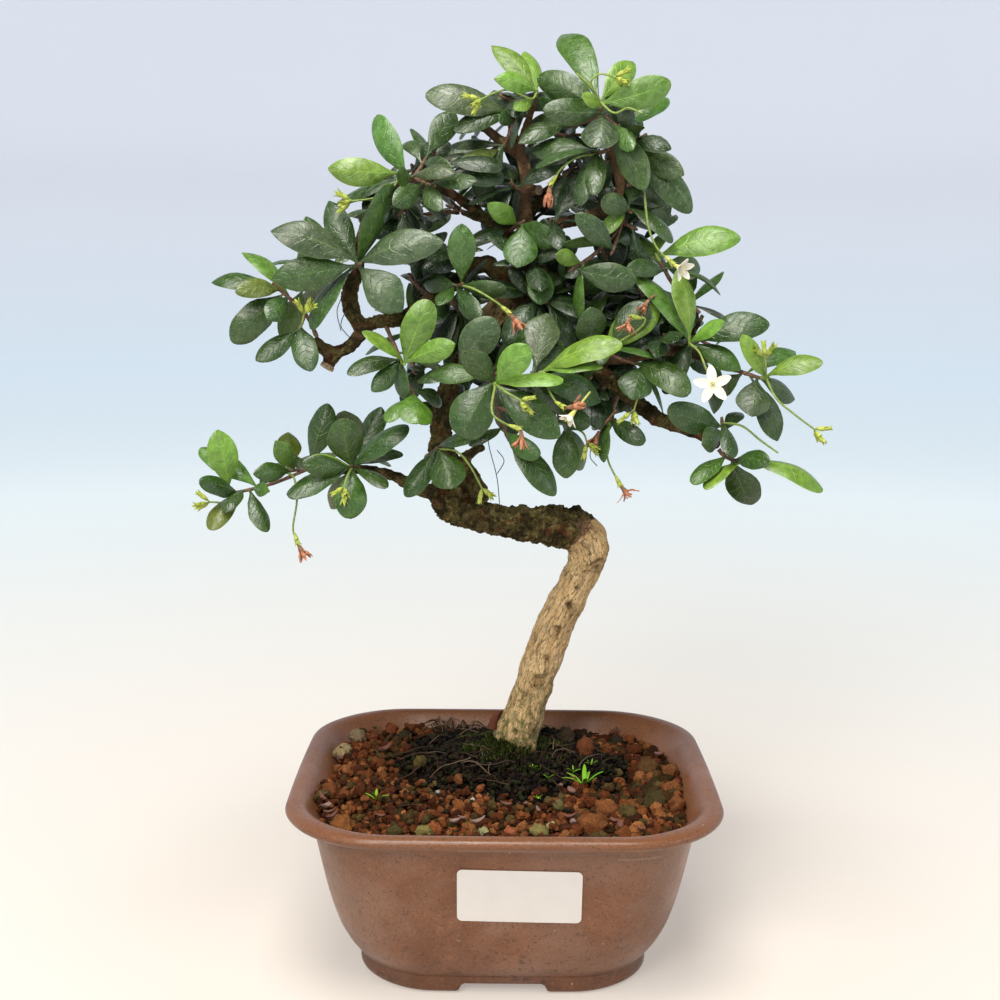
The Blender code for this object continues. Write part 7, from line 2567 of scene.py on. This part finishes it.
# Open gaps and bare wood that shows: pixel of the middle, radius, and the depth in front of which no leaf is
OPEN = 1.0
WOOD = 0.024
CLEARINGS = [((590, 204), 9, OPEN), ((578, 250), 10, OPEN), ((656, 398), 10, OPEN), ((700, 262), 16, OPEN),
             ((428, 388), 8, OPEN), ((352, 196), 8, OPEN), ((382, 240), 7, OPEN), ((480, 124), 9, WOOD),
             ((492, 134), 10, WOOD), ((507, 146), 12, WOOD), ((519, 160), 12, WOOD), ((526, 180), 13, WOOD),
             ((528, 200), 16, WOOD), ((528, 216), 13, WOOD), ((500, 305), 14, WOOD), ((470, 268), 12, WOOD),
             ((640, 402), 12, WOOD), ((444, 438), 12, WOOD)]
INNER_SHOOTS = 146
INNER_TRIES = 2600
INNER_LEAVES = 6
CROWN_COLUMNS = (375, 735)
CROWN_ROWS = (80, 445)
INNER_DEPTHS = (-0.006, 0.058)
INNER_REACH = (0.007, 0.036)
INNER_ANGLES = (50, 105)
INNER_LENGTHS = (0.62, 1.0)
INNER_SHRINKS = (1.0, 0.82, 0.66)
INNER_LEANS = (0, 14, -14, 32, -32)
# Darker than the outer leaves: painted shade for the inside of the crown
INNER_SHADED_TONE = (0.009, 0.031, 0.003)
COARSE_COLUMNS = [-1.0, -0.6, -0.12, 0.12, 0.6, 1.0]


def shown_at(point):
    """The pixel at which a point shows."""
    away = point - Vector((VIEW_ASIDE, -VIEW_DISTANCE, VIEW_HEIGHT))
    ahead = away.y * math.cos(VIEW_PITCH) - away.z * math.sin(VIEW_PITCH)
    x = away.x / ahead
    y = (away.y * math.sin(VIEW_PITCH) + away.z * math.cos(VIEW_PITCH)) / ahead
    column = x * math.cos(VIEW_ROLL) + y * math.sin(VIEW_ROLL)
    row = y * math.cos(VIEW_ROLL) - x * math.sin(VIEW_ROLL)
    return FRAME_MIDDLE + FOCAL_PIXELS * column, FRAME_MIDDLE - FOCAL_PIXELS * row


def in_crown(point):
    """Whether a point shows inside the crown's outline and in none of its gaps."""
    column, row = shown_at(point)
    for middle, radius, limit in CLEARINGS:
        if point.y < limit and math.hypot(column - middle[0], row - middle[1]) < radius:
            return False
    inside = False
    for (x1, y1), (x2, y2) in zip(CROWN, CROWN[1:] + CROWN[:1]):
        if (y1 > row) != (y2 > row) and column < x1 + (row - y1) * (x2 - x1) / (y2 - y1):
            inside = not inside
    return inside


def free_pose(crowd, base, tip, normal, width):
    """The leaf's pose, turned or shrunk a little if need be, or None."""
    along = tip - base
    hinge = along.cross(towards_viewer(tip)).normalized()
    for shrink in INNER_SHRINKS:
        for lean in INNER_LEANS:
            turned = Matrix.Rotation(math.radians(lean), 3, hinge)
            reach = turned @ (along * shrink)
            faced = turned @ normal
            test = blade(base, base + reach * 1.02, faced, width * shrink + 2 * GAP, BLADE + 2 * GAP)
            outer = blade(base, base + reach, faced, width * shrink, root=ROOT_SHARE)
            if not crowd.meets("inner", test, outer):
                return base + reach, faced, width * shrink
    return None


def inner_stem(crowd, trees, draw, pixel):
    """A short free twig from the wood to a pixel or to a random place inside the crown, or None."""
    column, row = pixel or (draw.uniform(*CROWN_COLUMNS), draw.uniform(*CROWN_ROWS))
    heart = seen_at(column, row, draw.uniform(*INNER_DEPTHS))
    if not in_crown(heart):
        return None
    start, leave = next(wood_starts(trees, heart))
    if not INNER_REACH[0] < (heart - start).length < INNER_REACH[1]:
        return None
    arrive = ((heart - start).normalized() + Vector((0, 0, 0.35))).normalized()
    route = bent_route(start, leave, heart, arrive, (TWIG_RADIUS, TWIG_RADIUS * 0.75), 3)
    if crowd.meets("inner", tube(route, 4)):
        return None
    return Stem(route, heart, arrive)


def grow_inner(crowd, trees):
    draw = random.Random(SEED + 9)
    batch = Batch()
    shoots = 0
    count = 0
    for pixel in WANTED * WANTED_TRIES + [None] * INNER_TRIES:
        stem = inner_stem(crowd, trees, draw, pixel) if shoots < INNER_SHOOTS else None
        if stem is None:
            continue
        turn = draw.uniform(0, math.tau)
        side = stem.along.orthogonal().normalized()
        found = []
        for index in range(INNER_LEAVES):
            turn += GOLDEN_ANGLE
            polar = math.radians(draw.uniform(*INNER_ANGLES))
            out = Matrix.Rotation(turn, 3, stem.along) @ side
            direction = stem.along * math.cos(polar) + out * math.sin(polar)
            length = FILL_LENGTH * draw.uniform(*INNER_LENGTHS)
            base = leaf_place(stem, index, INNER_LEAVES)
            faced = Vector((0, 0, 0.55)) + towards_viewer(base) * draw.uniform(0.1, 1.0) + out * 0.4
            normal = squared(faced, direction)
            pose = free_pose(crowd, base, base + direction * length, normal, length * LEAF_SHAPE * 0.9)
            if pose is None or not (in_crown(pose[0]) and in_crown(base.lerp(pose[0], 0.5))):
                continue
            crowd.add("inner", blade(base, *pose), blade(base, *pose, root=ROOT_SHARE))
            found.append((base, *pose))
        if len(found) < 2:
            continue
        shoots += 1
        crowd.add("inner", tube(stem.route, 4))
        add_twig(batch, stem, draw)
        for pose in found:
            count += 1
            points, faces, places = fine_leaf(*pose, draw, LEAF_SHARES[::2], COARSE_COLUMNS)
            light = draw.uniform(0.7, 1.3)
            batch.add(points, faces, LEAF_KIND, tuple(value * light for value in INNER_SHADED_TONE), places)
    print(shoots, "inner shoots with", count, "leaves")
    return batch


wood_trees = [item.whole for item in crowd.items if item.node == "trunk"]
inner = build_batch("inner_shoots", grow_inner(crowd, wood_trees), [TWIG, DARK_LEAF])
seat(inner, "leaf_dark")

# %% [markdown]
# ## Flowers
#
# The flowers are small white stars with five lobes, a greenish yellow throat and five stamens. Spent
# ones dry to salmon and brown and hang crumpled from their cups. Both are built by the same
# function, with the spread, the curl and the crumpling turned up for the dry ones.

# %% Flowers
PETAL_KIND = 0
THROAT_KIND = 1


def petal(mouth, aim, around, tilt, curl, length, wide, crumple, draw):
    """One lobe, from the mouth outwards."""
    across = aim.cross(around).normalized()
    spot = mouth + around * 0.0007
    rows = []
    steps = 8
    for step in range(steps + 1):
        share = step / steps
        lean = tilt + curl * share
        way = aim * math.cos(lean) + around * math.sin(lean)
        face = around * -math.cos(lean) + aim * math.sin(lean)
        half = wide / 2 * math.sin(math.pi * (0.16 + 0.80 * share)) ** 0.7
        wobble = crumple * draw.uniform(-1, 1)
        upper = []
        for side in (-1.0, -0.5, 0.0, 0.5, 1.0):
            cup = 0.18 * half * side * side + wobble * side
            upper.append(spot + across * (half * side) + face * (cup + 0.00009))
        rows.append(upper + [point - face * 0.00018 for point in reversed(upper)])
        spot = spot + way * (length / steps)
    return loft(rows)


def flower_batch(flower, end, along, dried, draw):
    batch = Batch()
    aim, throat, mouth = flower_axis(end, along, flower)
    tube_route = [(throat, 0.0005), ((throat + mouth) / 2, 0.0007), (mouth, 0.00105)]
    batch.add(*tube(smooth_route(tube_route, 4), 12), kind=THROAT_KIND)
    normal = aim.orthogonal().normalized()
    tilt = math.radians(flower.spread)
    for index in range(5):
        around = Matrix.Rotation(math.tau * index / 5 + 0.3, 3, aim) @ normal
        shift = draw.uniform(-0.25, 0.25) if dried else draw.uniform(-0.04, 0.04)
        curl = draw.uniform(-0.9, 0.5) if dried else draw.uniform(0.15, 0.45)
        wide = flower.length * (0.30 if dried else 0.56)
        crumple = 0.00018 if dried else 0.00004
        lobe = petal(mouth, aim, around, tilt + shift, curl, flower.length, wide, crumple, draw)
        batch.add(*lobe, kind=PETAL_KIND)
        inner = Matrix.Rotation(math.tau * (index + 0.5) / 5, 3, aim) @ normal
        top = mouth + aim * 0.0022 + inner * 0.0011
        batch.add(*tube([(mouth + inner * 0.0004, 0.00012), (top, 0.00010)], 5), kind=PETAL_KIND)
        add_ball(batch, top, aim, 0.0008, 0.00024, THROAT_KIND)
    return batch


def petal_finish(name, light, dark, roughness):
    made, tree, shader, where = finish(name, roughness)
    fine = spots(tree, where, 800.0, 4.0)
    paint(tree, shader, mixed(tree, ramp(tree, fine, 0.34, 0.66), dark, light))
    bump(tree, shader, spots(tree, where, 1600.0, 4.0), 0.35, 0.0003)
    return made


WHITE_PETAL = petal_finish("petal_white", colour(0.84, 0.79, 0.68), colour(0.74, 0.69, 0.58), 0.6)
DRY_PETAL = petal_finish("petal_dried", colour(0.55, 0.22, 0.11), colour(0.24, 0.085, 0.045), 0.8)
THROAT = petal_finish("flower_throat", colour(0.62, 0.60, 0.16), colour(0.40, 0.42, 0.10), 0.6)
DRY_THROAT = petal_finish("dry_throat", colour(0.30, 0.15, 0.07), colour(0.13, 0.06, 0.03), 0.8)
FLOWER_SEED = 101
draw = random.Random(FLOWER_SEED)
for node, ending, route, along in stalks:
    if ending in FLOWERS:
        dried = "dried" in ending
        batch = flower_batch(FLOWERS[ending], route[-1][0], along, dried, draw)
        finishes = [DRY_PETAL, DRY_THROAT] if dried else [WHITE_PETAL, THROAT]
        piece = build_batch("fine_" + ending, batch, finishes)
        seat(piece, "petal_dried" if dried else "petal_white", ending)

# %% [markdown]
# A few withered flowers hang deeper in the crown, and dead rootlets and threads dangle from the
# limbs. They are too slight for the plain model and are added here, each from a route in pixels.

# %% Withered bits
# The stalk's route, the flower at its end, and whether it has dried
MORE_FLOWERS = [
    ([(616, 410, -4), (606, 422, -8), (600, 430, -10)], Flower((596, 440, -12), 34, 0.0046), True),
    ([(660, 296, -2), (654, 296, -8), (650, 299, -10)], Flower((646, 306, -11), 40, 0.0030), True),
    ([(590, 392, -26), (582, 402, -35), (577, 408, -36)], Flower((571, 416, -37), 44, 0.0038), False)]
HANGING = [
    [(486, 420, -6), (489, 446, -8), (497, 478, -8), (500, 511, -6)],
    [(497, 450, -8), (504, 461, -9), (497, 474, -9)],
    [(342, 296, -2), (337, 312, -3), (341, 331, -2)],
    [(350, 338, -1), (341, 326, -3), (345, 312, -3)],
    [(594, 440, -10), (590, 456, -11), (597, 466, -11)],
    [(326, 366, -2), (322, 352, -4), (318, 346, -3)]]
THREAD_THICK = 0.00016
THREAD_TONE = (0.045, 0.024, 0.014)
WITHERED_SEED = 111
draw = random.Random(WITHERED_SEED)
for index, (pixels, flower, dried) in enumerate(MORE_FLOWERS):
    places = [point_of(pixel) for pixel in pixels]
    stalk = smooth_route([(place, STALK_THICK * 0.8) for place in places], 6)
    batch = flower_batch(flower, places[-1], (places[-1] - places[-2]).normalized(), dried, draw)
    batch.add(*tube(stalk, 7), kind=THROAT_KIND)
    finishes = [DRY_PETAL, DRY_THROAT] if dried else [WHITE_PETAL, THROAT]
    seat(build_batch(f"small_flower_{index}", batch, finishes), "petal_dried" if dried else "petal_white")
batch = Batch()
for pixels in HANGING:
    route = [(point_of(pixel), THREAD_THICK) for pixel in pixels]
    batch.add(*tube(smooth_route(route, 6), 5), tone=THREAD_TONE)
seat(build_batch("hanging_threads", batch, [CRUMB]), "bark")
